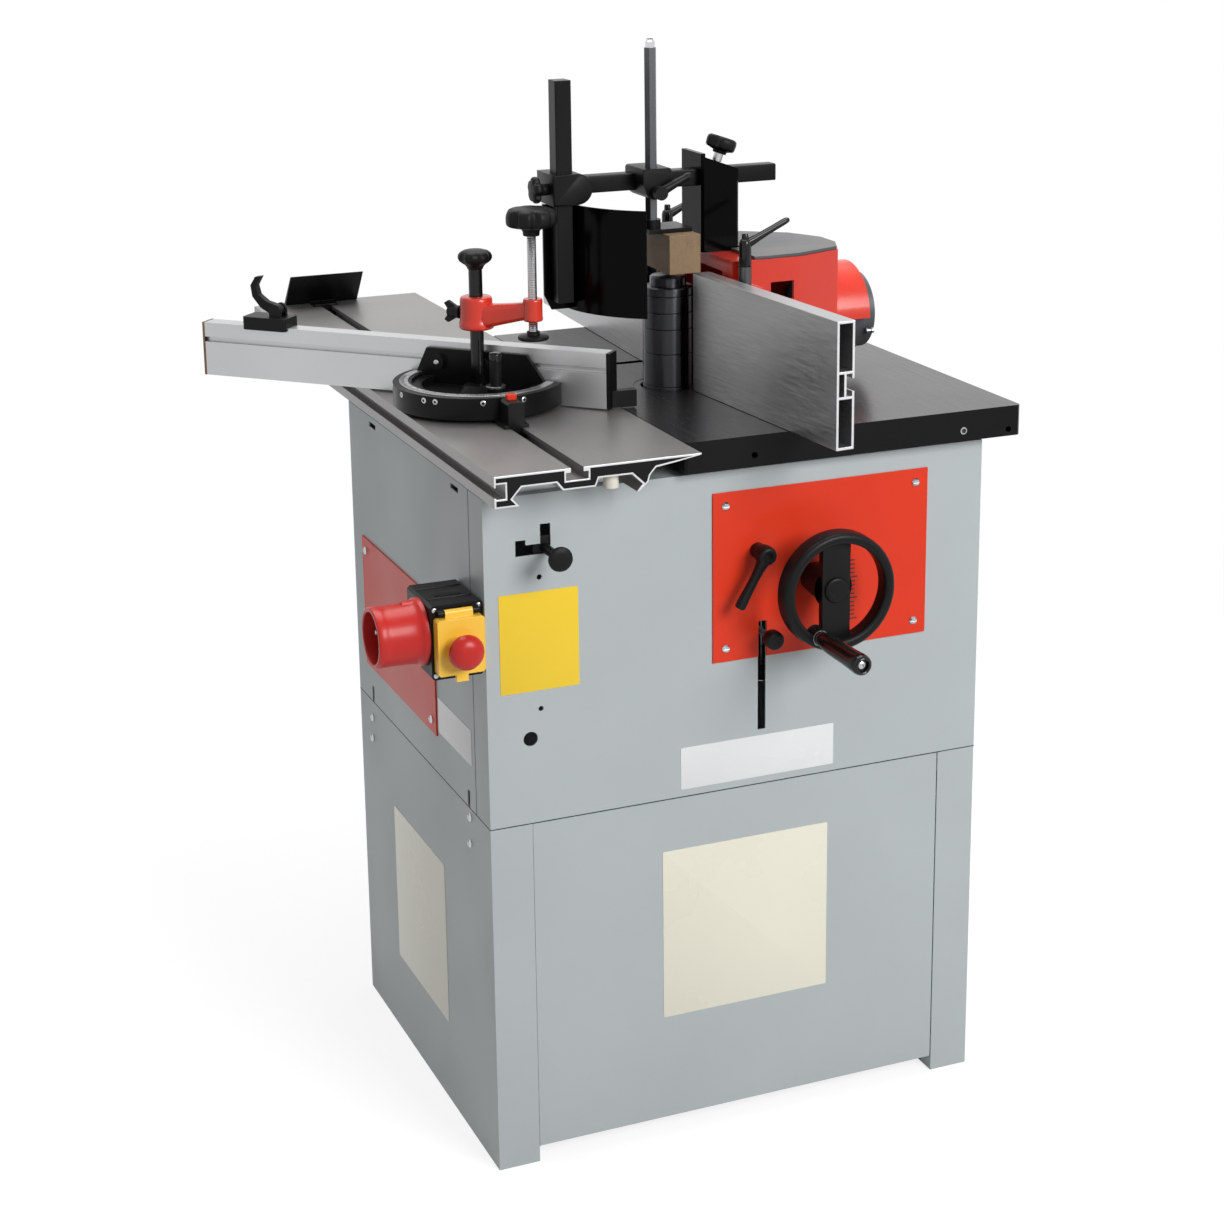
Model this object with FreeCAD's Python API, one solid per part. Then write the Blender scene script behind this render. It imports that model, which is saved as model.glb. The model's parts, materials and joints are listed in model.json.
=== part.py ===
import FreeCAD, Part
import math
import os

# Spindle moulder with a sliding table. All sizes are in millimetres.
# The origin lies on the floor, in the middle of the cabinet footprint.
# X points right as seen from the handwheel, Y points to the back and Z up.

os.makedirs("parts", exist_ok=True)
V = FreeCAD.Vector
ORIGIN = V(0, 0, 0)
X_WAY = V(1, 0, 0)
Y_WAY = V(0, 1, 0)
Z_WAY = V(0, 0, 1)

# Clearances used all over the machine
SEAT_GAP = 0.3
RUNNING_GAP = 0.06
SLIDE_GAP = 0.4

# Cabinet
CABINET_WIDTH = 620.0
CABINET_DEPTH = 506.0
HALF_W = CABINET_WIDTH / 2
HALF_D = CABINET_DEPTH / 2
SEAM_HEIGHT = 425.0
TABLE_TOP = SEAM_HEIGHT + 425.0
SLIDE_LEFT = -HALF_W - 7.5
TABLE_LEFT = SLIDE_LEFT + 239.5
SPINDLE_X = TABLE_LEFT + 98.0
CABINET_TOP = TABLE_TOP - 42.0
SHEET = 2.0
POST_WIDTH = 50.0
POST_RETURN = 25.0
HOUSING_FLANGE = 60.0
FLOOR_BOLT_X = HALF_W - 25.0
FLOOR_BOLT_Y = HALF_D - 53.0
FLOOR_HOLE_RADIUS = 6.0
PANEL_LIFT = 19.0
PANEL_RECESS = 1.0
CORNER_RETURN_Y = -HALF_D + 46.0
HOOK_SLOT_LENGTH = 26.0
HOOK_SLOT_HEIGHT = 6.0
HOOK_SLOT_Z = TABLE_TOP - 49.0
HOOK_SLOTS_Y = (152.0, -160.0)
CATCH_SLOT_Z = SEAM_HEIGHT + 11.0
CATCH_SLOT_HEIGHT = 20.0
CATCH_SLOT_LENGTH = 8.0
CATCH_SLOTS_Y = (193.0, -180.0)

# Openings in the front sheet
LIFT_SLOT_X = SPINDLE_X + 4.5
LIFT_SLOT_WIDTH = 10.0
LIFT_SLOT_BOTTOM = TABLE_TOP - 358.0
LIFT_SLOT_TOP = TABLE_TOP - 225.0
LOCK_SLOT_RIGHT = -HALF_W + 72.0
LOCK_SLOT_LEFT = -HALF_W + 43.0
LOCK_SLOT_Z = TABLE_TOP - 105.0
LOCK_SLOT_WIDTH = 12.0
LOCK_SLOT_RIGHT_TOP = TABLE_TOP - 77.0
LOCK_SLOT_LEFT_TOP = TABLE_TOP - 93.0
SMALL_HOLE_RADIUS = 3.0
SMALL_HOLES = ((-HALF_W + 64.0, TABLE_TOP - 137.0), (-HALF_W + 63.0, TABLE_TOP - 290.0))
CABLE_HOLE_RADIUS = 8.5
CABLE_HOLE = (-HALF_W + 50.0, TABLE_TOP - 324.0)

# Red cover plates and their screws
PLATE_THICKNESS = 2.0
CONTROL_LEFT = SPINDLE_X - 58.0
CONTROL_RIGHT = HALF_W - 73.0
CONTROL_BOTTOM = TABLE_TOP - 268.0
CONTROL_TOP = TABLE_TOP - 67.0
SIDE_PLATE_FRONT = -72.0
SIDE_PLATE_BACK = 211.0
SIDE_PLATE_BOTTOM = TABLE_TOP - 377.0
SIDE_PLATE_TOP = TABLE_TOP - 207.0
PLATE_SCREW_INSET = 16.0
SCREW_HEAD_RADIUS = 5.0
SCREW_HEAD_HEIGHT = 3.0
SCREW_SLOT = 1.4
BASE_SCREWS = ((199.0, SEAM_HEIGHT - 23.0), (-184.0, SEAM_HEIGHT - 11.0), (202.0, SEAM_HEIGHT - 52.0), (-182.0, SEAM_HEIGHT - 44.0))

# Handwheel, lock lever and knobs on the front
WHEEL_X = SPINDLE_X + 68.0
WHEEL_Z = TABLE_TOP - 179.0
WHEEL_RADIUS = 70.0
WHEEL_RIM_DEPTH = 26.0
WHEEL_RIM_WIDTH = 14.0
WHEEL_FRONT_Y = -HALF_D - 75.0
WHEEL_HUB_RADIUS = 21.0
WHEEL_HUB_BACK_Y = -HALF_D - 5.0
WHEEL_CAP_RADIUS = 15.0
WHEEL_SPOKE_WIDTH = 38.0
WHEEL_SPOKE_THICKNESS = 9.0
WHEEL_SHAFT_RADIUS = 7.0
SHAFT_HOLE_RADIUS = 12.0
CRANK_X = WHEEL_X - 27.0
CRANK_Z = TABLE_TOP - 228.0
CRANK_BOSS_RADIUS = 9.0
CRANK_PIN_LENGTH = 92.0
CRANK_LENGTH = 104.0
CRANK_RADIUS = 12.0
CRANK_NECK_RADIUS = 8.0
CRANK_PIN_RADIUS = 4.0
LEVER_X = SPINDLE_X - 3.0
LEVER_Z = TABLE_TOP - 139.0
LEVER_HUB_RADIUS = 11.0
LEVER_FRONT_Y = -HALF_D - 34.0
LEVER_STUD_RADIUS = 5.0
LEVER_ARM_LENGTH = 62.0
LEVER_ARM_ANGLE = 60.0
LEVER_ARM_ROOT = 7.5
LEVER_ARM_TIP = 5.5
TENSION_Z = TABLE_TOP - 239.0
TENSION_ROD_RADIUS = 4.0
TENSION_KNOB_FRONT_Y = -HALF_D - 39.0
TENSION_KNOB_RADIUS = 11.0
TENSION_KNOB_DEPTH = 18.0
LOCK_KNOB_RADIUS = 14.0
LOCK_KNOB_FRONT_Y = -HALF_D - 50.0
LOCK_KNOB_DEPTH = 16.0
LOCK_ROD_RADIUS = 5.5
LOCK_SHOE_HALF = 14.0
LOCK_SHOE_DEPTH = 4.0

# Cast table
TABLE_THICKNESS = 36.0
TABLE_RIGHT = HALF_W + 40.0
TABLE_FRONT = -271.0
TABLE_BACK = 360.0
TABLE_CHAMFER = 3.0
TABLE_RIM = 14.0
TABLE_POCKET_DEPTH = 22.0
POCKETS_X = (TABLE_RIGHT - 200.0, TABLE_RIGHT - 114.0, TABLE_RIGHT - 102.0, TABLE_RIGHT - TABLE_RIM)
POCKETS_Y = (-257.0, -100.0, -88.0, 70.0, 82.0, 220.0, 232.0, 346.0)
LEFT_POCKET_X = (TABLE_LEFT + TABLE_RIM, SPINDLE_X + 118.0)
LEFT_POCKETS_Y = ((-257.0, -190.0), (232.0, 346.0))
FOOT_RADIUS = 17.0
FEET_X = (SPINDLE_X - 40.0, TABLE_RIGHT - 69.0)
FEET_Y = (-225.0, 225.0)
EDGE_HOLE_RADIUS = 4.0
EDGE_HOLE_DEPTH = 20.0
EDGE_HOLES = ((SPINDLE_X - 14.0, TABLE_TOP - 23.0), (TABLE_RIGHT - 16.0, TABLE_TOP - 28.0))
HOOD_SLOT_WIDTH = 12.0
HOOD_SLOT_RIGHT = SPINDLE_X + 98.0
FRONT_SLOT_LEFT = SPINDLE_X + 32.0
REAR_SLOT_LEFT = SPINDLE_X - 17.0
RING_RADIUS = 43.0
RING_BORE_RADIUS = 33.5
RING_THICKNESS = 6.0
RING_LEDGE = 5.0

# Spindle and its drive inside the cabinet
SPINDLE_Y = 0.0
ARBOR_RADIUS = 15.0
ARBOR_BOTTOM = TABLE_TOP - 315.0
ARBOR_TOP = TABLE_TOP + 135.0
ARBOR_FLANGE_RADIUS = 31.0
ARBOR_FLANGE_HEIGHT = 12.0
COLLAR_RADIUS = 30.0
COLLAR_HEIGHTS = (40.0, 30.0, 20.0, 20.0, 10.0)
COLLAR_START = TABLE_TOP + 2.0
COLLAR_CHAMFER = 0.8
NUT_RADIUS = 22.0
CARRIAGE_RADIUS = 42.0
CARRIAGE_BOTTOM = TABLE_TOP - 262.0
CARRIAGE_TOP = TABLE_TOP - 55.0
BEARING_SEAT_RADIUS = 31.0
BEARING_HEIGHT = 19.0
COLUMN_X = SPINDLE_X - 80.0
COLUMN_Y = 45.0
COLUMN_RADIUS = 15.0
COLUMN_BOTTOM = TABLE_TOP - 380.0
COLUMN_BOSS_RADIUS = 25.0
BOSS_LOW = (TABLE_TOP - 250.0, TABLE_TOP - 190.0)
BOSS_HIGH = (TABLE_TOP - 115.0, TABLE_TOP - 55.0)
ARM_THICKNESS = 18.0
FRAME_BOTTOM = TABLE_TOP - 48.0
FRAME_LEFT = SPINDLE_X - 115.0
FRAME_RIGHT = SPINDLE_X + 125.0
FRAME_FRONT = -165.0
FRAME_BACK = 95.0
FRAME_BORE_RADIUS = 46.0
MOTOR_X = HALF_W - 120.0
MOTOR_Y = 110.0
MOTOR_RADIUS = 75.0
MOTOR_BOTTOM = TABLE_TOP - 249.7
MOTOR_TOP = TABLE_TOP - 64.0
MOTOR_FIN_COUNT = 16
MOTOR_FIN_WIDTH = 5.0
MOTOR_FIN_HEIGHT = 7.0
MOTOR_SHAFT_RADIUS = 12.0
MOTOR_PLATE_THICKNESS = 12.0
MOTOR_PLATE_RADIUS = 62.0
PULLEY_TOP = TABLE_TOP - 270.0
PULLEY_BOTTOM = TABLE_TOP - 305.0
SPINDLE_PULLEY_RADIUS = 32.0
MOTOR_PULLEY_RADIUS = 64.0
PULLEY_RIM = 4.0
BELT_THICKNESS = 5.0
SCREW_X = WHEEL_X
SCREW_Y = -120.0
LEAD_RADIUS = 8.0
LEAD_BOTTOM = TABLE_TOP - 350.0
NUT_ARM_BOTTOM = TABLE_TOP - 232.0
NUT_ARM_TOP = TABLE_TOP - 210.0
NUT_ARM_RADIUS = 18.0
BRACKET_SHELF_BOTTOM = TABLE_TOP - 200.0
BRACKET_SHELF_TOP = TABLE_TOP - 191.0
BRACKET_LEFT = SCREW_X - 18.0
BRACKET_WALL_TOP = TABLE_TOP - 158.0
BRACKET_COLUMN = (SCREW_X + 28.0, SCREW_X + 50.0)
BRACKET_DEPTH = (-160.0, -98.0)
BRACKET_WALL = 10.0
BEVEL_RADIUS = 11.0
BEVEL_LENGTH = 5.5
BEVEL_GAP = 0.5
LOCK_WASHER_RADIUS = 9.0

# Sliding table, measured from its left edge and down from its top
SLIDE_FRONT = -316.0
SLIDE_BACK = 694.0
SLIDE_PROFILE = (
    (0.0, 0.0), (238.5, 0.0), (238.5, 2.0), (209.0, 6.9), (185.0, 10.2), (178.0, 18.0),
    (176.0, 25.0), (165.5, 34.6), (162.0, 34.6), (169.0, 26.7), (156.6, 14.7), (118.6, 14.5),
    (115.0, 23.5), (77.0, 23.5), (70.0, 14.5), (31.0, 14.5), (20.4, 26.2), (28.3, 35.0), (0.0, 35.0),
)
RAIL_PROFILE = (
    (20.9, 26.2), (30.0, 16.0), (68.0, 16.0), (74.5, 25.0), (118.0, 25.0), (121.5, 16.0),
    (157.4, 16.0), (168.5, 26.7), (160.3, 36.0), (160.3, 42.0), (29.3, 42.0), (29.3, 36.0),
)
SLIDE_CHAMBERS = (
    (34.0, 78.5, 3.0, 12.0), (110.0, 150.0, 3.0, 12.0), (153.0, 180.0, 3.0, 9.0), (80.5, 111.5, 15.5, 21.3),
)
GROOVE_MOUTH = (12.3, 23.7)
GROOVE_CHAMBER = (9.0, 25.0)
GROOVE_LIP = 2.0
GROOVE_DEPTH = 12.6
T_SLOT_CENTRE = 93.85
T_SLOT_HALF = 7.15
T_SLOT_LIP = 5.0
T_CHAMBER_HALF = 12.8
T_CHAMBER_DEPTH = 13.5
T_SLOT_X = SLIDE_LEFT + T_SLOT_CENTRE
RAIL_FRONT = -240.0
RAIL_BACK = 240.0
PEG_X = SLIDE_LEFT + 138.5
PEG_RADIUS = 8.3
PEG_BOTTOM = TABLE_TOP - 31.0
PEG_FRONT_Y = -300.0
PEG_BACK_Y = 678.0
SLIDE_UNDERSIDE = 14.6
RAIL_NUT_X = SLIDE_LEFT + 101.5
RAIL_NUT_Z = TABLE_TOP - 33.0
RAIL_WASHER_RADIUS = 8.5
RAIL_WASHER_THICKNESS = 2.0
RAIL_NUT_RADIUS = 7.0
RAIL_NUT_LENGTH = 9.0

# Edging shoe in the slot of the sliding table
SHOE_WIDTH = 105.0
SHOE_BACK_Y = 685.0
SHOE_LEAN = 43.0
SHOE_TOP = TABLE_TOP + 47.0
SHOE_PLATE = 3.0
SHOE_FOOT_LENGTH = 34.0
KEY_HALF = 6.8
KEY_HEAD_HALF = 12.2
KEY_HEAD_TOP = 5.4
KEY_HEAD_BOTTOM = 12.8

# Mitre gauge, in its own frame: s runs along the fence, n towards the fence
MITRE_ANGLE = -45.0
FOOT_HALF = 15.0
FOOT_FRONT_Y = -130.0
FOOT_BACK_Y = 9.0
FOOT_PLATE_TOP = TABLE_TOP + 4.0
FOOT_BLOCK_HALF = 10.0
FOOT_BLOCK_BACK_Y = -101.5
FOOT_BLOCK_TOP = TABLE_TOP + 30.0
DIAL_RADIUS = 100.0
DIAL_TOP = TABLE_TOP + 30.0
DIAL_HUB_RADIUS = 22.0
DIAL_HUB_TOP = TABLE_TOP + 24.0
DIAL_STEP_RADIUS = 78.0
DIAL_STEP_DEPTH = 4.0
DIAL_BOWL_RADIUS = 66.0
DIAL_BOWL_DEPTH = 13.0
DIAL_GRIP_S = 38.3
DIAL_GRIP_N = -32.1
DIAL_GRIP_RADIUS = 7.0
DIAL_GRIP_TOP = TABLE_TOP + 71.0
DIAL_BOSS_RADIUS = 11.0
DIAL_WASHER = 2.5
SCALE_RING = (82.0, 92.0)
SCALE_THICKNESS = 1.2
WALL_THICKNESS = 5.0
WALL_TOP = TABLE_TOP + 60.0
WALL_BOTTOM_ENDS = (-100.0, 97.0)
WALL_TOP_ENDS = (-74.0, 56.0)
WALL_BOSS_RADIUS = 9.0
WALL_BOSS_DEPTH = 6.0
WALL_BOSSES_S = (-58.0, 0.0)
WALL_BOSS_Z = TABLE_TOP + 44.0
MITRE_FENCE_LEFT = -382.0
MITRE_FENCE_RIGHT = 155.0
MITRE_FENCE_N = 19.0
MITRE_FENCE_THICKNESS = 22.0
MITRE_FENCE_BOTTOM = TABLE_TOP + 2.0
MITRE_FENCE_TOP = TABLE_TOP + 68.0
MITRE_GROOVE = (TABLE_TOP + 44.0, TABLE_TOP + 50.0)
MITRE_GROOVE_DEPTH = 5.0
MITRE_CHAMBERS = ((TABLE_TOP + 4.5, TABLE_TOP + 41.0), (TABLE_TOP + 53.0, TABLE_TOP + 65.5))
MITRE_WALL = 2.5
CAP_THICKNESS = 3.0
WING_TOP = TABLE_TOP + 22.0
WING_POINTS = ((158.3, 26.0), (182.0, 46.0), (174.0, 56.0), (158.3, 41.0))
POST_RADIUS = 8.0
POST_TOP = TABLE_TOP + 161.0
POST_KNOB_RADIUS = 20.0
POST_KNOB_TOP = TABLE_TOP + 184.0
ARM_HUB_RADIUS = 20.0
ARM_HUB_BOTTOM = TABLE_TOP + 88.0
ARM_HUB_TOP = TABLE_TOP + 129.0
ARM_REACH = 75.0
ARM_ANGLE = -49.0
ARM_END_RADIUS = 11.5
ARM_END_BOTTOM = TABLE_TOP + 106.0
ARM_END_TOP = TABLE_TOP + 132.0
ARM_WEB_ROOT_Z = (TABLE_TOP + 91.0, TABLE_TOP + 125.0)
ARM_WEB_TIP_Z = (TABLE_TOP + 108.0, TABLE_TOP + 126.0)
ARM_WEB_RIM = 4.5
ARM_WEB_CORE = 4.0
ARM_WEB_ROOT = 13.0
ARM_WEB_TIP = 8.0
CLAMP_SCREW_RADIUS = 5.5
CLAMP_SCREW_BOTTOM = TABLE_TOP + 87.3
CLAMP_KNOB_BOTTOM = TABLE_TOP + 205.0
CLAMP_KNOB_TOP = TABLE_TOP + 237.0
CLAMP_KNOB_RADIUS = 29.5
CLAMP_KNOB_FLUTES = 7
PAD_RADIUS = 18.0
PAD_BOTTOM = TABLE_TOP + 84.0
PAD_TOP = TABLE_TOP + 90.0
PAD_BOSS_RADIUS = 7.5
PAD_BOSS_TOP = TABLE_TOP + 94.0
WING_STUD_RADIUS = 4.0
WING_KNOB_RADIUS = 8.0
WING_KNOB_LENGTH = 16.0
WING_SPAN = 13.0
WING_THICKNESS = 5.0
ARM_STUD_LENGTH = 1.0
ARM_STUD_SINK = 9.0
STOP_S = (-325.0, -265.0)
STOP_TOP = TABLE_TOP + 80.0
STOP_SKIRT = 5.0
STOP_SKIRT_BOTTOM = TABLE_TOP + 64.0
STOP_PIVOT_S = -283.0
STOP_PIVOT_Z = TABLE_TOP + 88.0
STOP_PIN_RADIUS = 4.0
STOP_LUG_RADIUS = 8.0
STOP_LEVER_N = (25.3, 34.7)
STOP_LUGS_N = ((21.0, 25.0), (35.0, 39.0))
STOP_LEVER_EYE = 6.8
STOP_HOOK_POINTS = (
    (-283.0, TABLE_TOP + 82.0), (-281.0, TABLE_TOP + 94.5), (-296.0, TABLE_TOP + 98.0), (-307.0, TABLE_TOP + 106.0),
    (-310.0, TABLE_TOP + 117.0), (-303.0, TABLE_TOP + 129.0), (-311.0, TABLE_TOP + 128.0), (-318.0, TABLE_TOP + 117.0),
    (-316.0, TABLE_TOP + 103.0), (-305.0, TABLE_TOP + 90.0), (-292.0, TABLE_TOP + 83.0),
)

# Fences left and right of the cutter
FENCE_THICKNESS = 22.4
FENCE_TOP = TABLE_TOP + 143.0
FENCE_BOTTOM = TABLE_TOP + 0.3
FENCE_WALL = 3.0
FENCE_SLOT = 14.0
FENCE_WEBS_Z = (TABLE_TOP + 86.0, TABLE_TOP + 58.0)
FENCE_WEB = 3.0
FENCE_SLOT_DEPTH = 10.0
FRONT_FENCE_START = (SPINDLE_X + 12.7, -44.5)
FRONT_FENCE_LENGTH = 329.0
FRONT_FENCE_SKEW = 3.9
REAR_FENCE_START = (SPINDLE_X + 19.9, 127.0)
REAR_FENCE_LENGTH = 413.0
REAR_FENCE_SKEW = 3.0

# Hood behind the cutter
HOOD_LEFT = SPINDLE_X + 43.0
HOOD_FRONT_Y = -95.0
HOOD_REAR_Y = 90.0
HOOD_NOSE_X = SPINDLE_X + 206.0
HOOD_POINTS = (
    (HOOD_LEFT, HOOD_FRONT_Y + 5.0), (HOOD_LEFT + 45.0, HOOD_FRONT_Y), (HOOD_LEFT + 89.0, HOOD_FRONT_Y + 2.0),
    (HOOD_NOSE_X - 14.0, -71.0), (HOOD_NOSE_X, -40.0), (HOOD_NOSE_X, 0.0), (HOOD_NOSE_X - 23.0, 45.0),
    (HOOD_LEFT + 87.0, HOOD_REAR_Y - 6.0), (HOOD_LEFT, HOOD_REAR_Y))
HOOD_TOP = TABLE_TOP + 162.0
HOOD_BOTTOM = TABLE_TOP + 0.3
HOOD_WALL = 5.0
HOOD_MOUTH_HALF = 62.0
HOOD_MOUTH_TOP = TABLE_TOP + 146.0
HOOD_WINDOW_X = (HOOD_LEFT + 48.0, HOOD_LEFT + 79.0)
HOOD_WINDOW_Z = (TABLE_TOP + 112.0, TABLE_TOP + 134.0)
LID_LEFT = HOOD_LEFT + 28.0
LID_OVERHANG = 1.5
LID_THICKNESS = 4.0
LID_NOTCH_RIGHT = LID_LEFT + 15.0
LID_NOTCH_Y = (-26.0, 44.0)
TUBE_Z = TABLE_TOP + 72.0
TUBE_RADIUS = 62.0
TUBE_WALL = 5.0
TUBE_START_X = HOOD_NOSE_X - 54.0
TUBE_END_X = HOOD_NOSE_X + 36.0
SPIGOT_RADIUS = 50.0
SPIGOT_WALL = 3.0
SPIGOT_END_X = TUBE_END_X + 15.0
SPIGOT_START_X = TUBE_END_X - 62.0
SPIGOT_STEP_X = TUBE_END_X
SPIGOT_STUB_RADIUS = 47.0
LUG_THICKNESS = 24.0
LUG_TOP = TABLE_TOP + 135.0
FRONT_LUG_Y = (-125.0, -88.0)
REAR_LUG_Y = (88.0, 160.0)
FRONT_STUD = (SPINDLE_X + 52.0, -106.0)
REAR_STUD = (SPINDLE_X + 57.0, 132.0)
STUD_RADIUS = 5.0
STUD_BOTTOM = TABLE_TOP - 20.0
STUD_HOLE_RADIUS = 5.5
STUD_SLEEVE_RADIUS = 7.5
HOOD_LEVER_HUB_RADIUS = 8.5
HOOD_LEVER_HUB_BOTTOM = TABLE_TOP + 158.0
HOOD_LEVER_HUB_TOP = TABLE_TOP + 190.0
HOOD_LEVER_TIP_RISE = 25.0
HOOD_LEVER_LENGTH = 53.0
HOOD_LEVER_ROOT = 6.5
HOOD_LEVER_END = 4.5

# Cutter guard above the hood
POST_LEFT = SPINDLE_X + 35.0
POST_RIGHT = POST_LEFT + 49.0
POST_Y = (-22.0, 40.0)
GUARD_POST_TOP = TABLE_TOP + 267.0
GUARD_POST_EAR_TOP = TABLE_TOP + 280.0
GUARD_POST_EAR = 6.0
GUARD_POST_CHAMFER = 3.0
BAR_HALF = 10.0
BAR_Z = TABLE_TOP + 251.0
BAR_LEFT = SPINDLE_X - 155.0
BAR_RIGHT = SPINDLE_X + 138.0
GUARD_KNOB_X = POST_LEFT + 29.0
GUARD_KNOB_TILT = 20.0
GUARD_KNOB_RADIUS = 17.0
GUARD_KNOB_HEIGHT = 18.0
GUARD_KNOB_STUD = 12.0
GUARD_KNOB_LOBES = 5
HEX_X = SPINDLE_X - 31.4
HEX_Y = -24.0
HEX_FLATS = 13.0
HEX_BOTTOM = TABLE_TOP + 193.0
HEX_TOP = TABLE_TOP + 408.0
HEX_STUD_RADIUS = 4.0
HEX_STUD_TOP = TABLE_TOP + 418.0
CLAMP_BODY_Z = (TABLE_TOP + 233.0, TABLE_TOP + 269.0)
PRESSER_CLAMP_X = (SPINDLE_X - 48.0, SPINDLE_X - 12.0)
CLAMP_FRONT_Y = -40.0
CLAMP_BACK_Y = 15.0
END_CLAMP_X = (BAR_LEFT - 5.0, BAR_LEFT + 48.0)
BLOCK_X = (SPINDLE_X - 24.0, SPINDLE_X + 16.0)
BLOCK_Y = (-60.0, 21.0)
BLOCK_Z = (TABLE_TOP + 146.0, TABLE_TOP + 192.0)
BRACKET_X = (SPINDLE_X - 41.0, SPINDLE_X + 14.0)
BRACKET_Y = (-40.0, 8.0)
BRACKET_PLATE = 5.0
BRACKET_BOSS_RADIUS = 11.0
BRACKET_BOSS_TOP = TABLE_TOP + 208.0
PRESSER_LEVER_LENGTH = 40.0
PRESSER_LEVER_HUB = 8.0
PRESSER_LEVER_ANGLE = 25.0
PRESSER_LEVER_TIP = 4.5
PRESSER_LEVER_DROP = 9.0
UPRIGHT_X = (BAR_LEFT + 1.5, BAR_LEFT + 21.5)
UPRIGHT_Y = (-33.0, -11.0)
UPRIGHT_Z = (TABLE_TOP + 118.0, TABLE_TOP + 376.0)
SHIELD_RADIUS = 133.5
SHIELD_THICKNESS = 3.0
SHIELD_ANGLES = (160.0, 236.0)
SHIELD_Z = (TABLE_TOP + 107.0, TABLE_TOP + 232.0)
SHIELD_FLANGE = 9.0

# Switch and power inlet on the left side
SWITCH_X = (-HALF_W - 60.0, -HALF_W)
SWITCH_Y = (-HALF_D + 6.0, -HALF_D + 88.0)
SWITCH_Z = (TABLE_TOP - 241.0, TABLE_TOP - 156.0)
SWITCH_CHAMFER = 3.0
FLAP_X = (SWITCH_X[0] + 3.0, SWITCH_X[1] - 3.0)
FLAP_Z = (TABLE_TOP - 233.0, TABLE_TOP - 169.0)
FLAP_FRONT_Y = SWITCH_Y[0] - 15.0
FLAP_WALL = 2.5
FLAP_BOSS_RADIUS = 14.0
FLAP_BOSS_DEPTH = 5.0
FLAP_TAB = (14.0, 8.0)
HINGE_Y = SWITCH_Y[0] - 5.0
HINGE_Z = TABLE_TOP - 164.0
HINGE_RADIUS = 4.0
HINGE_BARREL = (SWITCH_X[0] + 14.0, SWITCH_X[1] - 14.0)
HINGE_LUG = 7.0
HINGE_PIN_RADIUS = 2.0
BUTTON_X = sum(SWITCH_X) / 2
BUTTON_Z = TABLE_TOP - 203.0
BUTTON_RADIUS = 20.0
BUTTON_STEM_RADIUS = 8.0
BUTTON_BACK_Y = FLAP_FRONT_Y + 8.0
BUTTON_COLLAR_RADIUS = 10.0
BUTTON_BASE_Y = FLAP_FRONT_Y - 12.0
BUTTON_FRONT_Y = FLAP_FRONT_Y - 27.0
INLET_Y = SWITCH_Y[0] + 36.0
INLET_Z = TABLE_TOP - 195.0
INLET_RADIUS = 34.0
INLET_FLANGE_RADIUS = 38.0
INLET_FLANGE = 8.0
INLET_END_X = SWITCH_X[0] - 57.0
INLET_CAVITY_RADIUS = 29.0
INLET_CAVITY_DEPTH = 38.0
PIN_CIRCLE_RADIUS = 17.0
PIN_RADIUS = 3.2
PIN_LENGTH = 28.0
PIN_COUNT = 5


# Small tools for making solids

def block(x_range, y_range, z_range):
    """Box between three pairs of limits."""
    size = [limits[1] - limits[0] for limits in (x_range, y_range, z_range)]
    return Part.makeBox(size[0], size[1], size[2], V(x_range[0], y_range[0], z_range[0]))


def rod_x(y, z, radius, start, end):
    """Round bar along X."""
    return Part.makeCylinder(radius, end - start, V(start, y, z), X_WAY)


def rod_y(x, z, radius, start, end):
    """Round bar along Y."""
    return Part.makeCylinder(radius, end - start, V(x, start, z), Y_WAY)


def rod_z(x, y, radius, start, end):
    """Round bar along Z."""
    return Part.makeCylinder(radius, end - start, V(x, y, start), Z_WAY)


def prism(vectors, way):
    """Closed outline of points, drawn out along a vector."""
    wire = Part.makePolygon(list(vectors) + [vectors[0]])
    return Part.Face(wire).extrude(way)


def prism_x(points, start, end):
    """Outline of (y, z) points drawn out along X."""
    return prism([V(start, y, z) for y, z in points], V(end - start, 0, 0))


def prism_y(points, start, end):
    """Outline of (x, z) points drawn out along Y."""
    return prism([V(x, start, z) for x, z in points], V(0, end - start, 0))


def prism_z(points, start, end):
    """Outline of (x, y) points drawn out along Z."""
    return prism([V(x, y, start) for x, y in points], V(0, 0, end - start))


def turned(points, base, axis):
    """Outline of (radius, height) points turned round an axis through the base point."""
    wire = Part.makePolygon([V(r, 0, h) for r, h in points] + [V(points[0][0], 0, points[0][1])])
    solid = Part.Face(wire).revolve(ORIGIN, Z_WAY, 360)
    solid.Placement = FreeCAD.Placement(base, FreeCAD.Rotation(Z_WAY, axis))
    return solid


def joined(shapes):
    """One solid from overlapping shapes, without the seams between them."""
    result = shapes[0]
    for shape in shapes[1:]:
        result = result.fuse(shape)
    return result.removeSplitter()


def without(shape, cutters):
    """A shape with others taken away."""
    result = shape
    for cutter in cutters:
        result = result.cut(cutter)
    return result


def chamfered(shape, size, way):
    """A shape with the straight edges along one direction chamfered."""
    edges = []
    for edge in shape.Edges:
        if edge.Curve.TypeId != "Part::GeomLine":
            continue
        run = edge.Vertexes[1].Point - edge.Vertexes[0].Point
        if abs(run.normalize().dot(way)) > 1 - 1e-6:
            edges.append(edge)
    return shape.makeChamfer(size, edges)


def mirrored(shape, normal):
    """The mirror image of a shape about a plane through the origin."""
    return shape.mirror(ORIGIN, normal)


def slot_z(centre_y, width, left, right, bottom, top):
    """Upright round-ended slot running along X."""
    half = width / 2
    middle = block((left + half, right - half), (centre_y - half, centre_y + half), (bottom, top))
    ends = [rod_z(x, centre_y, half, bottom, top) for x in (left + half, right - half)]
    return joined([middle] + ends)


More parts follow.
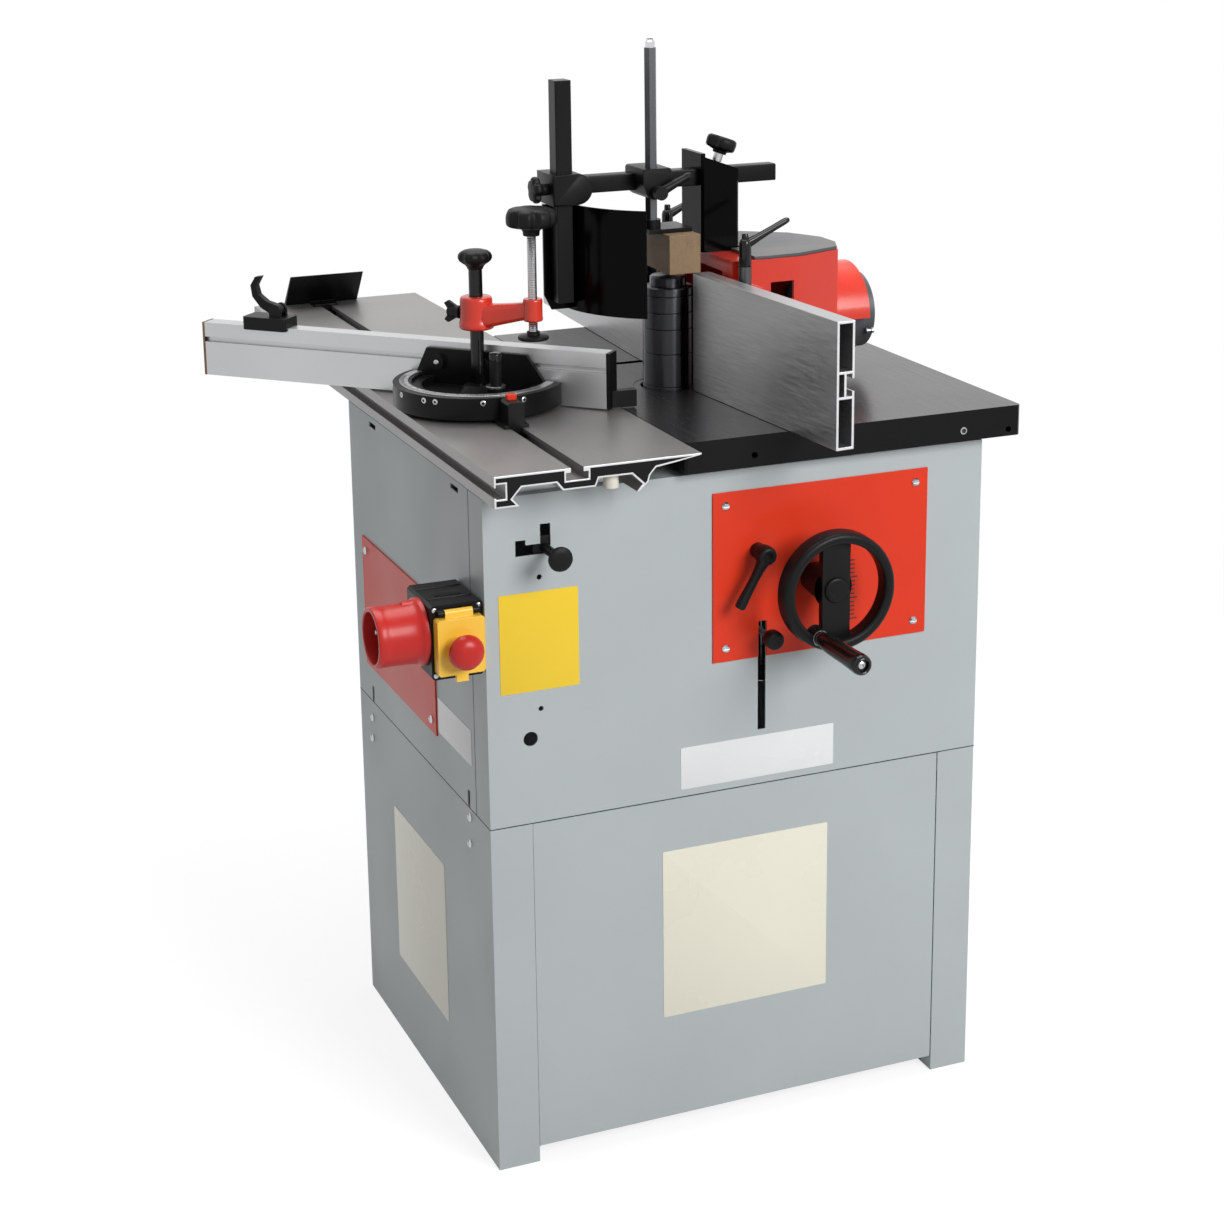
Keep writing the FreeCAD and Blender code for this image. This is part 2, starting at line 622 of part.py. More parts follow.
def lobed_knob(radius, height, lobes, base, axis):
    """Turned grip with rounded edges and hollows round its side."""
    edge = radius / 6
    grip = turned(
        ((0, 0), (radius * 2 / 3, 0), (radius, edge), (radius, height - edge), (radius - edge, height), (0, height)),
        ORIGIN, Z_WAY)
    hollow = radius * 3 / 8
    reach = radius + hollow * 2 / 3
    for number in range(lobes):
        angle = 2 * math.pi * number / lobes
        grip = grip.cut(rod_z(reach * math.cos(angle), reach * math.sin(angle), hollow, -height, 2 * height))
    grip.Placement = FreeCAD.Placement(base, FreeCAD.Rotation(Z_WAY, axis))
    return grip


def wing_knob(base, axis, stud, sink):
    """Knob with two wings on a threaded stud; the stud starts inside its seat."""
    shank = rod_z(0, 0, WING_STUD_RADIUS, -sink, stud + 1)
    end = stud + WING_KNOB_LENGTH
    hub = turned(((0, stud), (WING_KNOB_RADIUS, stud), (WING_KNOB_RADIUS * 3 / 4, end), (0, end)), ORIGIN, Z_WAY)
    wing = prism_y(
        ((-WING_SPAN / 3, stud + 1), (WING_SPAN / 3, stud + 1), (WING_SPAN, end), (WING_SPAN * 3 / 4, end + 5),
         (0, end - 2), (-WING_SPAN * 3 / 4, end + 5), (-WING_SPAN, end)),
        -WING_THICKNESS / 2, WING_THICKNESS / 2)
    knob = joined([shank, hub, wing])
    knob.Placement = FreeCAD.Placement(base, FreeCAD.Rotation(Z_WAY, axis))
    return knob


def save(name, shape):
    """Write one node."""
    shape.exportStep("parts/" + name + ".step")


# Cabinet

def base_side():
    """Left base sheet with wrapped posts, foot flange and top flange."""
    inside = -HALF_W + POST_WIDTH
    outer = block((-HALF_W, inside), (-HALF_D, HALF_D), (0, SEAM_HEIGHT))
    web = block((-HALF_W + SHEET, inside - SHEET), (-HALF_D + SHEET, HALF_D - SHEET), (SHEET, SEAM_HEIGHT - SHEET))
    mouth_y = HALF_D - POST_RETURN
    mouth = block((inside - SHEET, inside), (-mouth_y, mouth_y), (SHEET, SEAM_HEIGHT - SHEET))
    holes = [rod_z(-FLOOR_BOLT_X, y, FLOOR_HOLE_RADIUS, -1, SHEET + 1) for y in (-FLOOR_BOLT_Y, FLOOR_BOLT_Y)]
    return without(outer, [web, mouth] + holes)


def base_panels():
    """Front and back tray panels between the posts, as a pair."""
    half = HALF_W - POST_WIDTH - SEAT_GAP
    front = -HALF_D + PANEL_RECESS
    back = -HALF_D + POST_RETURN
    top = SEAM_HEIGHT - SEAT_GAP
    outer = block((-half, half), (front, back), (PANEL_LIFT, top))
    inner = block((-half + SHEET, half - SHEET), (front + SHEET, back + 1), (PANEL_LIFT + SHEET, top - SHEET))
    panel = outer.cut(inner)
    return Part.makeCompound([panel, mirrored(panel, Y_WAY)])


def front_openings(start, end):
    """Cutters for the slots and holes of the front sheet between two depths."""
    half = LIFT_SLOT_WIDTH / 2
    lift = block((LIFT_SLOT_X - half, LIFT_SLOT_X + half), (start, end), (LIFT_SLOT_BOTTOM, LIFT_SLOT_TOP))
    half = LOCK_SLOT_WIDTH / 2
    low = LOCK_SLOT_Z - half
    level = block((LOCK_SLOT_LEFT - half, LOCK_SLOT_RIGHT + half), (start, end), (low, LOCK_SLOT_Z + half))
    right = block((LOCK_SLOT_RIGHT - half, LOCK_SLOT_RIGHT + half), (start, end), (low, LOCK_SLOT_RIGHT_TOP))
    left = block((LOCK_SLOT_LEFT - half, LOCK_SLOT_LEFT + half), (start, end), (low, LOCK_SLOT_LEFT_TOP))
    holes = [rod_y(x, z, SMALL_HOLE_RADIUS, start, end) for x, z in SMALL_HOLES]
    holes.append(rod_y(CABLE_HOLE[0], CABLE_HOLE[1], CABLE_HOLE_RADIUS, start, end))
    holes.append(rod_y(WHEEL_X, WHEEL_Z, SHAFT_HOLE_RADIUS, start, end))
    holes.append(rod_y(LEVER_X, LEVER_Z, LEVER_STUD_RADIUS + RUNNING_GAP, start, end))
    return [lift, level, right, left] + holes


def upper_housing():
    """Upper sheet box, open at its left where the access panel goes."""
    outer = block((-HALF_W, HALF_W), (-HALF_D, HALF_D), (SEAM_HEIGHT, CABINET_TOP))
    hollow = block((-HALF_W + SHEET, HALF_W - SHEET), (-HALF_D + SHEET, HALF_D - SHEET),
                   (SEAM_HEIGHT + SHEET, CABINET_TOP - SHEET))
    inner_x = HALF_W - HOUSING_FLANGE
    inner_y = HALF_D - HOUSING_FLANGE
    well = block((-inner_x, inner_x), (-inner_y, inner_y), (SEAM_HEIGHT - 1, CABINET_TOP + 1))
    side = block((-HALF_W - 1, -HALF_W + SHEET), (CORNER_RETURN_Y, HALF_D + 1), (SEAM_HEIGHT - 1, CABINET_TOP + 1))
    cutters = [hollow, well, side] + front_openings(-HALF_D - 1, -HALF_D + SHEET + 1)
    return without(outer, cutters)


def access_panel():
    """Left sheet that lifts off, with hook slots at the top and catch slots at the seam."""
    sheet = block((-HALF_W, -HALF_W + SHEET - SEAT_GAP), (CORNER_RETURN_Y + SEAT_GAP, HALF_D),
                  (SEAM_HEIGHT + SEAT_GAP, CABINET_TOP))
    cutters = []
    x_range = (-HALF_W - 1, -HALF_W + SHEET + 1)
    for y in HOOK_SLOTS_Y:
        cutters.append(block(x_range, (y - HOOK_SLOT_LENGTH / 2, y + HOOK_SLOT_LENGTH / 2),
                             (HOOK_SLOT_Z - HOOK_SLOT_HEIGHT, HOOK_SLOT_Z)))
    for y in CATCH_SLOTS_Y:
        cutters.append(block(x_range, (y - CATCH_SLOT_LENGTH / 2, y + CATCH_SLOT_LENGTH / 2),
                             (CATCH_SLOT_Z - CATCH_SLOT_HEIGHT / 2, CATCH_SLOT_Z + CATCH_SLOT_HEIGHT / 2)))
    return without(sheet, cutters)


def control_plate():
    """Red plate on the front with the slot and holes for the controls."""
    back = -HALF_D
    front = back - PLATE_THICKNESS
    plate = block((CONTROL_LEFT, CONTROL_RIGHT), (front, back), (CONTROL_BOTTOM, CONTROL_TOP))
    return without(plate, front_openings(front - 1, back + 1))


def side_plate():
    """Red plate on the left access panel."""
    return block((-HALF_W - PLATE_THICKNESS, -HALF_W), (SIDE_PLATE_FRONT, SIDE_PLATE_BACK),
                 (SIDE_PLATE_BOTTOM, SIDE_PLATE_TOP))


def screw_head(base, axis):
    """Domed screw head with a driver slot."""
    head = turned(
        ((0, 0), (SCREW_HEAD_RADIUS, 0), (SCREW_HEAD_RADIUS, SCREW_HEAD_HEIGHT / 3),
         (SCREW_HEAD_RADIUS * 2 / 3, SCREW_HEAD_HEIGHT), (0, SCREW_HEAD_HEIGHT)), ORIGIN, Z_WAY)
    half = SCREW_SLOT / 2
    wide = SCREW_HEAD_RADIUS
    head = head.cut(block((-wide, wide), (-half, half), (SCREW_HEAD_HEIGHT * 2 / 3, SCREW_HEAD_HEIGHT + 1)))
    head.Placement = FreeCAD.Placement(base, FreeCAD.Rotation(Z_WAY, axis))
    return head


def cover_screws():
    """Screw heads of the plates and base, and the dome nut on the rail end, as a group."""
    heads = []
    plate_y = -HALF_D - PLATE_THICKNESS
    for x in (CONTROL_LEFT + PLATE_SCREW_INSET, CONTROL_RIGHT - PLATE_SCREW_INSET):
        for z in (CONTROL_BOTTOM + PLATE_SCREW_INSET, CONTROL_TOP - PLATE_SCREW_INSET):
            heads.append(screw_head(V(x, plate_y, z), -Y_WAY))
    plate_x = -HALF_W - PLATE_THICKNESS
    for y in (SIDE_PLATE_FRONT + PLATE_SCREW_INSET, SIDE_PLATE_BACK - PLATE_SCREW_INSET):
        for z in (SIDE_PLATE_BOTTOM + PLATE_SCREW_INSET, SIDE_PLATE_TOP - PLATE_SCREW_INSET):
            heads.append(screw_head(V(plate_x, y, z), -X_WAY))
    for y, z in BASE_SCREWS:
        heads.append(screw_head(V(-HALF_W, y, z), -X_WAY))
    length = RAIL_WASHER_THICKNESS + RAIL_NUT_LENGTH
    nut = turned(
        ((0, 0), (RAIL_WASHER_RADIUS, 0), (RAIL_WASHER_RADIUS, RAIL_WASHER_THICKNESS),
         (RAIL_NUT_RADIUS, RAIL_WASHER_THICKNESS), (RAIL_NUT_RADIUS, length * 2 / 3),
         (RAIL_NUT_RADIUS * 2 / 3, length * 8 / 9), (0, length)),
        V(RAIL_NUT_X, RAIL_FRONT, RAIL_NUT_Z), -Y_WAY)
    return Part.makeCompound(heads + [nut])


# Table

def main_table():
    """Cast table with ribs below, feet, the spindle opening and the hood slots."""
    bottom = TABLE_TOP - TABLE_THICKNESS
    slab = block((TABLE_LEFT, TABLE_RIGHT), (TABLE_FRONT, TABLE_BACK), (bottom, TABLE_TOP))
    slab = chamfered(slab, TABLE_CHAMFER, Z_WAY)
    roof = bottom + TABLE_POCKET_DEPTH
    cutters = []
    for left, right in (POCKETS_X[0:2], POCKETS_X[2:4]):
        for number in range(0, len(POCKETS_Y), 2):
            cutters.append(block((left, right), POCKETS_Y[number:number + 2], (bottom - 1, roof)))
    for limits in LEFT_POCKETS_Y:
        cutters.append(block(LEFT_POCKET_X, limits, (bottom - 1, roof)))
    slab = without(slab, cutters)
    feet = [rod_z(x, y, FOOT_RADIUS, CABINET_TOP, roof + 1) for x in FEET_X for y in FEET_Y]
    slab = joined([slab] + feet)
    holes = [rod_y(x, z, EDGE_HOLE_RADIUS, TABLE_FRONT - 1, TABLE_FRONT + EDGE_HOLE_DEPTH) for x, z in EDGE_HOLES]
    holes.append(rod_z(SPINDLE_X, SPINDLE_Y, RING_RADIUS, TABLE_TOP - RING_THICKNESS, TABLE_TOP + 1))
    holes.append(rod_z(SPINDLE_X, SPINDLE_Y, RING_RADIUS - RING_LEDGE, bottom - 1, TABLE_TOP))
    holes.append(slot_z(FRONT_STUD[1], HOOD_SLOT_WIDTH, FRONT_SLOT_LEFT, HOOD_SLOT_RIGHT, bottom - 1, TABLE_TOP + 1))
    holes.append(slot_z(REAR_STUD[1], HOOD_SLOT_WIDTH, REAR_SLOT_LEFT, HOOD_SLOT_RIGHT, bottom - 1, TABLE_TOP + 1))
    return without(slab, holes)


def table_ring():
    """Loose ring that narrows the spindle opening."""
    top = RING_THICKNESS - SEAT_GAP
    outer = RING_RADIUS - SEAT_GAP
    return turned(
        ((RING_BORE_RADIUS, 0), (outer, 0), (outer, top), (RING_BORE_RADIUS + 1, top), (RING_BORE_RADIUS, top - 1)),
        V(SPINDLE_X, SPINDLE_Y, TABLE_TOP - RING_THICKNESS), Z_WAY)


# Spindle, lift and drive

def bar_between(start, end, width, bottom, top):
    """Straight flat bar between two upright axes."""
    run = V(end[0] - start[0], end[1] - start[1], 0)
    side = V(-run.y, run.x, 0).normalize() * (width / 2)
    corners = []
    for point, sign in ((start, 1), (end, 1), (end, -1), (start, -1)):
        corners.append((point[0] + sign * side.x, point[1] + sign * side.y))
    return prism_z(corners, bottom, top)


def lift_frame():
    """Plate under the table with the two guide columns and the gear bracket."""
    top = TABLE_TOP - TABLE_THICKNESS
    plate = block((FRAME_LEFT, FRAME_RIGHT), (FRAME_FRONT, FRAME_BACK), (FRAME_BOTTOM, top))
    columns = [rod_z(COLUMN_X, y, COLUMN_RADIUS, COLUMN_BOTTOM, top) for y in (-COLUMN_Y, COLUMN_Y)]
    column = block(BRACKET_COLUMN, BRACKET_DEPTH, (BRACKET_SHELF_BOTTOM, top))
    across = (BRACKET_LEFT, BRACKET_COLUMN[1])
    shelf = block(across, BRACKET_DEPTH, (BRACKET_SHELF_BOTTOM, BRACKET_SHELF_TOP))
    wall_depth = (BRACKET_DEPTH[0], BRACKET_DEPTH[0] + BRACKET_WALL)
    wall = block(across, wall_depth, (BRACKET_SHELF_BOTTOM, BRACKET_WALL_TOP))
    body = joined([plate] + columns + [column, shelf, wall])
    bore = rod_z(SPINDLE_X, SPINDLE_Y, FRAME_BORE_RADIUS, FRAME_BOTTOM - 1, top + 1)
    screw = rod_z(SCREW_X, SCREW_Y, LEAD_RADIUS + RUNNING_GAP, BRACKET_SHELF_BOTTOM - 1, BRACKET_SHELF_TOP + 1)
    shaft = rod_y(WHEEL_X, WHEEL_Z, WHEEL_SHAFT_RADIUS + RUNNING_GAP, wall_depth[0] - 1, wall_depth[1] + 1)
    return without(body, [bore, screw, shaft])


def spindle_carriage():
    """Casting that carries the spindle, with column guides, nut arm, motor plate and tension rod."""
    spindle = (SPINDLE_X, SPINDLE_Y)
    motor = (MOTOR_X, MOTOR_Y)
    shapes = [rod_z(SPINDLE_X, SPINDLE_Y, CARRIAGE_RADIUS, CARRIAGE_BOTTOM, CARRIAGE_TOP)]
    holes = [rod_z(SPINDLE_X, SPINDLE_Y, ARBOR_RADIUS + RUNNING_GAP, CARRIAGE_BOTTOM - 1, CARRIAGE_TOP + 1)]
    relief = (CARRIAGE_BOTTOM + BEARING_HEIGHT, CARRIAGE_TOP - BEARING_HEIGHT)
    holes.append(rod_z(SPINDLE_X, SPINDLE_Y, BEARING_SEAT_RADIUS, relief[0], relief[1]))
    for y in (-COLUMN_Y, COLUMN_Y):
        for bottom, top in (BOSS_LOW, BOSS_HIGH):
            shapes.append(rod_z(COLUMN_X, y, COLUMN_BOSS_RADIUS, bottom, top))
            shapes.append(bar_between(spindle, (COLUMN_X, y), ARM_THICKNESS, bottom, top))
        holes.append(rod_z(COLUMN_X, y, COLUMN_RADIUS + RUNNING_GAP, CARRIAGE_BOTTOM, CARRIAGE_TOP + 1))
    shapes.append(rod_z(SCREW_X, SCREW_Y, NUT_ARM_RADIUS, NUT_ARM_BOTTOM, NUT_ARM_TOP))
    shapes.append(bar_between(spindle, (SCREW_X, SCREW_Y), NUT_ARM_RADIUS * 2, NUT_ARM_BOTTOM, NUT_ARM_TOP))
    holes.append(rod_z(SCREW_X, SCREW_Y, LEAD_RADIUS + SEAT_GAP, NUT_ARM_BOTTOM - 1, NUT_ARM_TOP + 1))
    plate_top = CARRIAGE_BOTTOM + MOTOR_PLATE_THICKNESS
    shapes.append(rod_z(MOTOR_X, MOTOR_Y, MOTOR_PLATE_RADIUS, CARRIAGE_BOTTOM, plate_top))
    shapes.append(bar_between(spindle, motor, CARRIAGE_RADIUS * 2, CARRIAGE_BOTTOM, plate_top))
    holes.append(rod_z(MOTOR_X, MOTOR_Y, MOTOR_SHAFT_RADIUS + 1, CARRIAGE_BOTTOM - 1, plate_top + 1))
    rod_front = TENSION_KNOB_FRONT_Y + TENSION_KNOB_DEPTH / 2
    shapes.append(rod_y(LIFT_SLOT_X, TENSION_Z, TENSION_ROD_RADIUS, rod_front, SPINDLE_Y - BEARING_SEAT_RADIUS - 1))
    return without(joined(shapes), holes)


def spindle_arbor():
    """Arbor with flange, top nut and driven pulley."""
    rim = SPINDLE_PULLEY_RADIUS + PULLEY_RIM
    collar_top = COLLAR_START + sum(COLLAR_HEIGHTS)
    flange_bottom = COLLAR_START - ARBOR_FLANGE_HEIGHT
    return turned(
        ((0, ARBOR_BOTTOM), (ARBOR_RADIUS, ARBOR_BOTTOM), (ARBOR_RADIUS, PULLEY_BOTTOM), (rim, PULLEY_BOTTOM),
         (rim, PULLEY_BOTTOM + PULLEY_RIM), (SPINDLE_PULLEY_RADIUS, PULLEY_BOTTOM + PULLEY_RIM),
         (SPINDLE_PULLEY_RADIUS, PULLEY_TOP - PULLEY_RIM), (rim, PULLEY_TOP - PULLEY_RIM), (rim, PULLEY_TOP),
         (ARBOR_RADIUS, PULLEY_TOP), (ARBOR_RADIUS, CARRIAGE_TOP + SEAT_GAP),
         (ARBOR_RADIUS * 3 / 2, CARRIAGE_TOP + SEAT_GAP), (ARBOR_RADIUS * 3 / 2, flange_bottom),
         (ARBOR_FLANGE_RADIUS, flange_bottom), (ARBOR_FLANGE_RADIUS, COLLAR_START), (ARBOR_RADIUS, COLLAR_START),
         (ARBOR_RADIUS, collar_top + SEAT_GAP), (NUT_RADIUS, collar_top + SEAT_GAP), (NUT_RADIUS, ARBOR_TOP - 2),
         (NUT_RADIUS - 2, ARBOR_TOP), (0, ARBOR_TOP)),
        V(SPINDLE_X, SPINDLE_Y, 0), Z_WAY)


def spacer_collars():
    """Stack of ground collars on the arbor, as a group."""
    collars = []
    bottom = COLLAR_START + SEAT_GAP / 2
    bore = ARBOR_RADIUS + RUNNING_GAP
    for height in COLLAR_HEIGHTS:
        top = height - SEAT_GAP / 2
        collars.append(turned(
            ((bore, 0), (COLLAR_RADIUS - COLLAR_CHAMFER, 0), (COLLAR_RADIUS, COLLAR_CHAMFER),
             (COLLAR_RADIUS, top - COLLAR_CHAMFER), (COLLAR_RADIUS - COLLAR_CHAMFER, top), (bore, top)),
            V(SPINDLE_X, SPINDLE_Y, bottom), Z_WAY))
        bottom = bottom + height
    return Part.makeCompound(collars)


def motor():
    """Motor with cooling fins, hung on the carriage."""
    fan_bottom = MOTOR_TOP - MOTOR_RADIUS / 2
    core = MOTOR_RADIUS - MOTOR_FIN_HEIGHT
    body = turned(
        ((0, MOTOR_BOTTOM), (MOTOR_RADIUS, MOTOR_BOTTOM), (MOTOR_RADIUS, MOTOR_BOTTOM + MOTOR_FIN_HEIGHT),
         (core, MOTOR_BOTTOM + MOTOR_FIN_HEIGHT), (core, fan_bottom), (MOTOR_RADIUS, fan_bottom),
         (MOTOR_RADIUS, MOTOR_TOP - MOTOR_FIN_HEIGHT), (core, MOTOR_TOP), (0, MOTOR_TOP)),
        V(MOTOR_X, MOTOR_Y, 0), Z_WAY)
    half = MOTOR_FIN_WIDTH / 2
    fins = []
    for number in range(MOTOR_FIN_COUNT):
        fin = block((core - 1, MOTOR_RADIUS - 1), (-half, half), (MOTOR_BOTTOM + 1, fan_bottom + 1))
        fin.rotate(ORIGIN, Z_WAY, 360 * number / MOTOR_FIN_COUNT)
        fin.translate(V(MOTOR_X, MOTOR_Y, 0))
        fins.append(fin)
    bore = rod_z(MOTOR_X, MOTOR_Y, MOTOR_SHAFT_RADIUS + RUNNING_GAP, MOTOR_BOTTOM - 1, fan_bottom)
    return joined([body] + fins).cut(bore)


def motor_shaft():
    """Motor shaft with the driving pulley."""
    rim = MOTOR_PULLEY_RADIUS + PULLEY_RIM
    top = MOTOR_TOP - MOTOR_RADIUS / 2 - 1
    return turned(
        ((0, PULLEY_BOTTOM), (rim, PULLEY_BOTTOM), (rim, PULLEY_BOTTOM + PULLEY_RIM),
         (MOTOR_PULLEY_RADIUS, PULLEY_BOTTOM + PULLEY_RIM), (MOTOR_PULLEY_RADIUS, PULLEY_TOP - PULLEY_RIM),
         (rim, PULLEY_TOP - PULLEY_RIM), (rim, PULLEY_TOP), (MOTOR_SHAFT_RADIUS, PULLEY_TOP),
         (MOTOR_SHAFT_RADIUS, top), (0, top)),
        V(MOTOR_X, MOTOR_Y, 0), Z_WAY)


def belt_outline(extra, bottom, top):
    """Solid bounded by the two pulleys and their outer tangents, grown by a margin."""
    small = SPINDLE_PULLEY_RADIUS + extra
    large = MOTOR_PULLEY_RADIUS + extra
    run = V(MOTOR_X - SPINDLE_X, MOTOR_Y - SPINDLE_Y, 0)
    along = (small - large) / run.Length
    across = math.sqrt(1 - along * along)
    way = V(run).normalize()
    side = V(-way.y, way.x, 0)
    corners = []
    for sign, order in ((1, (0, 1)), (-1, (1, 0))):
        normal = way * along + side * (sign * across)
        pair = ((SPINDLE_X + normal.x * small, SPINDLE_Y + normal.y * small),
                (MOTOR_X + normal.x * large, MOTOR_Y + normal.y * large))
        corners.extend(pair[index] for index in order)
    shapes = [prism_z(corners, bottom, top)]
    shapes.append(rod_z(SPINDLE_X, SPINDLE_Y, small, bottom, top))
    shapes.append(rod_z(MOTOR_X, MOTOR_Y, large, bottom, top))
    return joined(shapes)


def drive_belt():
    """Flat belt round both pulleys."""
    bottom = PULLEY_BOTTOM + PULLEY_RIM + 1
    top = PULLEY_TOP - PULLEY_RIM - 1
    outer = belt_outline(SEAT_GAP + BELT_THICKNESS, bottom, top)
    return outer.cut(belt_outline(SEAT_GAP, bottom - 1, top + 1))


def lead_screw():
    """Lifting screw with its bevel gear on top."""
    base = WHEEL_Z - BEVEL_RADIUS - BEVEL_GAP
    tip = BEVEL_RADIUS - BEVEL_LENGTH
    return turned(
        ((0, LEAD_BOTTOM), (LEAD_RADIUS - 1, LEAD_BOTTOM), (LEAD_RADIUS, LEAD_BOTTOM + 1), (LEAD_RADIUS, base),
         (BEVEL_RADIUS, base), (tip, base + BEVEL_LENGTH), (0, base + BEVEL_LENGTH)),
        V(SCREW_X, SCREW_Y, 0), Z_WAY)


def handwheel():
    """Dished handwheel with a flat spoke, its shaft, bevel pinion and crank pin."""
    edge = WHEEL_RIM_WIDTH / 4
    inner = WHEEL_RADIUS - WHEEL_RIM_WIDTH
    rim = turned(
        ((inner + edge, 0), (WHEEL_RADIUS - edge, 0), (WHEEL_RADIUS, edge), (WHEEL_RADIUS, WHEEL_RIM_DEPTH - edge),
         (WHEEL_RADIUS - edge, WHEEL_RIM_DEPTH), (inner + edge, WHEEL_RIM_DEPTH), (inner, WHEEL_RIM_DEPTH - edge),
         (inner, edge)),
        V(WHEEL_X, WHEEL_FRONT_Y, WHEEL_Z), Y_WAY)
    reach = inner + WHEEL_RIM_WIDTH / 2
    spoke_back = WHEEL_FRONT_Y + WHEEL_RIM_DEPTH - edge
    spoke = block((WHEEL_X - WHEEL_SPOKE_WIDTH / 2, WHEEL_X + WHEEL_SPOKE_WIDTH / 2),
                  (spoke_back - WHEEL_SPOKE_THICKNESS, spoke_back), (WHEEL_Z - reach, WHEEL_Z + reach))
    spoke = chamfered(spoke, edge, Z_WAY)
    pinion_base = SCREW_Y - BEVEL_RADIUS - BEVEL_GAP
    tip = BEVEL_RADIUS - BEVEL_LENGTH
    cap = spoke_back - WHEEL_SPOKE_THICKNESS - edge
    hub = turned(
        ((0, cap), (WHEEL_CAP_RADIUS - edge, cap), (WHEEL_CAP_RADIUS, cap + edge), (WHEEL_CAP_RADIUS, spoke_back),
         (WHEEL_HUB_RADIUS, spoke_back), (WHEEL_HUB_RADIUS - edge, WHEEL_HUB_BACK_Y),
         (WHEEL_SHAFT_RADIUS, WHEEL_HUB_BACK_Y), (WHEEL_SHAFT_RADIUS, pinion_base), (BEVEL_RADIUS, pinion_base),
         (tip, pinion_base + BEVEL_LENGTH), (0, pinion_base + BEVEL_LENGTH)),
        V(WHEEL_X, 0, WHEEL_Z), Y_WAY)
    boss = rod_y(CRANK_X, CRANK_Z, CRANK_BOSS_RADIUS, WHEEL_FRONT_Y, WHEEL_FRONT_Y + WHEEL_RIM_DEPTH / 2)
    pin = rod_y(CRANK_X, CRANK_Z, CRANK_PIN_RADIUS, WHEEL_FRONT_Y - CRANK_PIN_LENGTH, WHEEL_FRONT_Y + 1)
    return joined([rim, spoke, hub, boss, pin])


def crank_handle():
    """Revolving grip on the crank pin."""
    bore = CRANK_PIN_RADIUS + RUNNING_GAP
    depth = CRANK_PIN_LENGTH + 1
    length = CRANK_LENGTH
    slim = (CRANK_RADIUS + CRANK_NECK_RADIUS) / 2
    return turned(
        ((bore, 0), (CRANK_NECK_RADIUS, 0), (CRANK_NECK_RADIUS, length / 20), (slim, length / 8),
         (CRANK_RADIUS - 1, length / 3), (CRANK_RADIUS - 1, length * 2 / 3), (CRANK_RADIUS, length * 7 / 8),
         (CRANK_RADIUS - 2, length * 24 / 25), (slim - 2, length), (0, length), (0, depth), (bore, depth)),
        V(CRANK_X, WHEEL_FRONT_Y - SEAT_GAP, CRANK_Z), -Y_WAY)


def lift_lock_lever():
    """Clamping lever that locks the spindle height."""
    back = -HALF_D - PLATE_THICKNESS - SEAT_GAP
    inside = -HALF_D + SHEET + SEAT_GAP
    length = back - LEVER_FRONT_Y
    hub = turned(
        ((0, 0), (LEVER_HUB_RADIUS, 0), (LEVER_HUB_RADIUS, length * 3 / 4), (LEVER_HUB_RADIUS * 3 / 4, length),
         (0, length)),
        V(LEVER_X, back, LEVER_Z), -Y_WAY)
    stud = rod_y(LEVER_X, LEVER_Z, LEVER_STUD_RADIUS, LEVER_FRONT_Y + 1, inside + 1)
    washer = rod_y(LEVER_X, LEVER_Z, LOCK_WASHER_RADIUS, inside, inside + LOCK_SHOE_DEPTH)
    angle = math.radians(LEVER_ARM_ANGLE)
    start = V(LEVER_X, LEVER_FRONT_Y + LEVER_ARM_ROOT, LEVER_Z)
    way = V(-math.cos(angle), 0, -math.sin(angle))
    arm = Part.makeCone(LEVER_ARM_ROOT, LEVER_ARM_TIP, LEVER_ARM_LENGTH, start, way)
    tip = Part.makeSphere(LEVER_ARM_TIP, start + way * LEVER_ARM_LENGTH)
    return joined([hub, stud, washer, arm, tip])


def tension_knob():
    """Knob on the end of the tension rod."""
    radius = TENSION_KNOB_RADIUS
    depth = TENSION_KNOB_DEPTH
    bore = TENSION_ROD_RADIUS + RUNNING_GAP
    floor = depth / 2 - SEAT_GAP
    return turned(
        ((0, 0), (radius * 2 / 3, 0), (radius, depth / 5), (radius, depth * 3 / 4), (radius * 2 / 3, depth),
         (bore, depth), (bore, floor), (0, floor)),
        V(LIFT_SLOT_X, TENSION_KNOB_FRONT_Y, TENSION_Z), Y_WAY)


def spindle_lock_knob():
    """Knob on a pin in the angled slot, with a sliding shoe behind the sheet."""
    radius = LOCK_KNOB_RADIUS
    depth = LOCK_KNOB_DEPTH
    inside = -HALF_D + SHEET + SEAT_GAP
    knob = turned(
        ((0, 0), (radius * 3 / 5, 0), (radius, depth / 4), (radius, depth * 3 / 4), (radius * 3 / 5, depth), (0, depth)),
        V(LOCK_SLOT_RIGHT, LOCK_KNOB_FRONT_Y, LOCK_SLOT_Z), Y_WAY)
    pin = rod_y(LOCK_SLOT_RIGHT, LOCK_SLOT_Z, LOCK_ROD_RADIUS, LOCK_KNOB_FRONT_Y + 1, inside + 1)
    shoe = block((LOCK_SLOT_RIGHT - LOCK_SHOE_HALF, LOCK_SLOT_RIGHT + LOCK_SHOE_HALF),
                 (inside, inside + LOCK_SHOE_DEPTH), (LOCK_SLOT_Z - LOCK_SHOE_HALF, LOCK_SLOT_Z + LOCK_SHOE_HALF))
    return joined([knob, pin, shoe])


# Sliding table and edging shoe

def slide_points(profile):
    """Profile points turned from edge distance and depth into X and Z."""
    return [(SLIDE_LEFT + across, TABLE_TOP - down) for across, down in profile]


def slide_channel(left, right, top, bottom):
    """Cutter through the whole sliding table, between two edge distances and two depths."""
    return block((SLIDE_LEFT + left, SLIDE_LEFT + right), (SLIDE_FRONT - 1, SLIDE_BACK + 1),
                 (TABLE_TOP - bottom, TABLE_TOP - top))


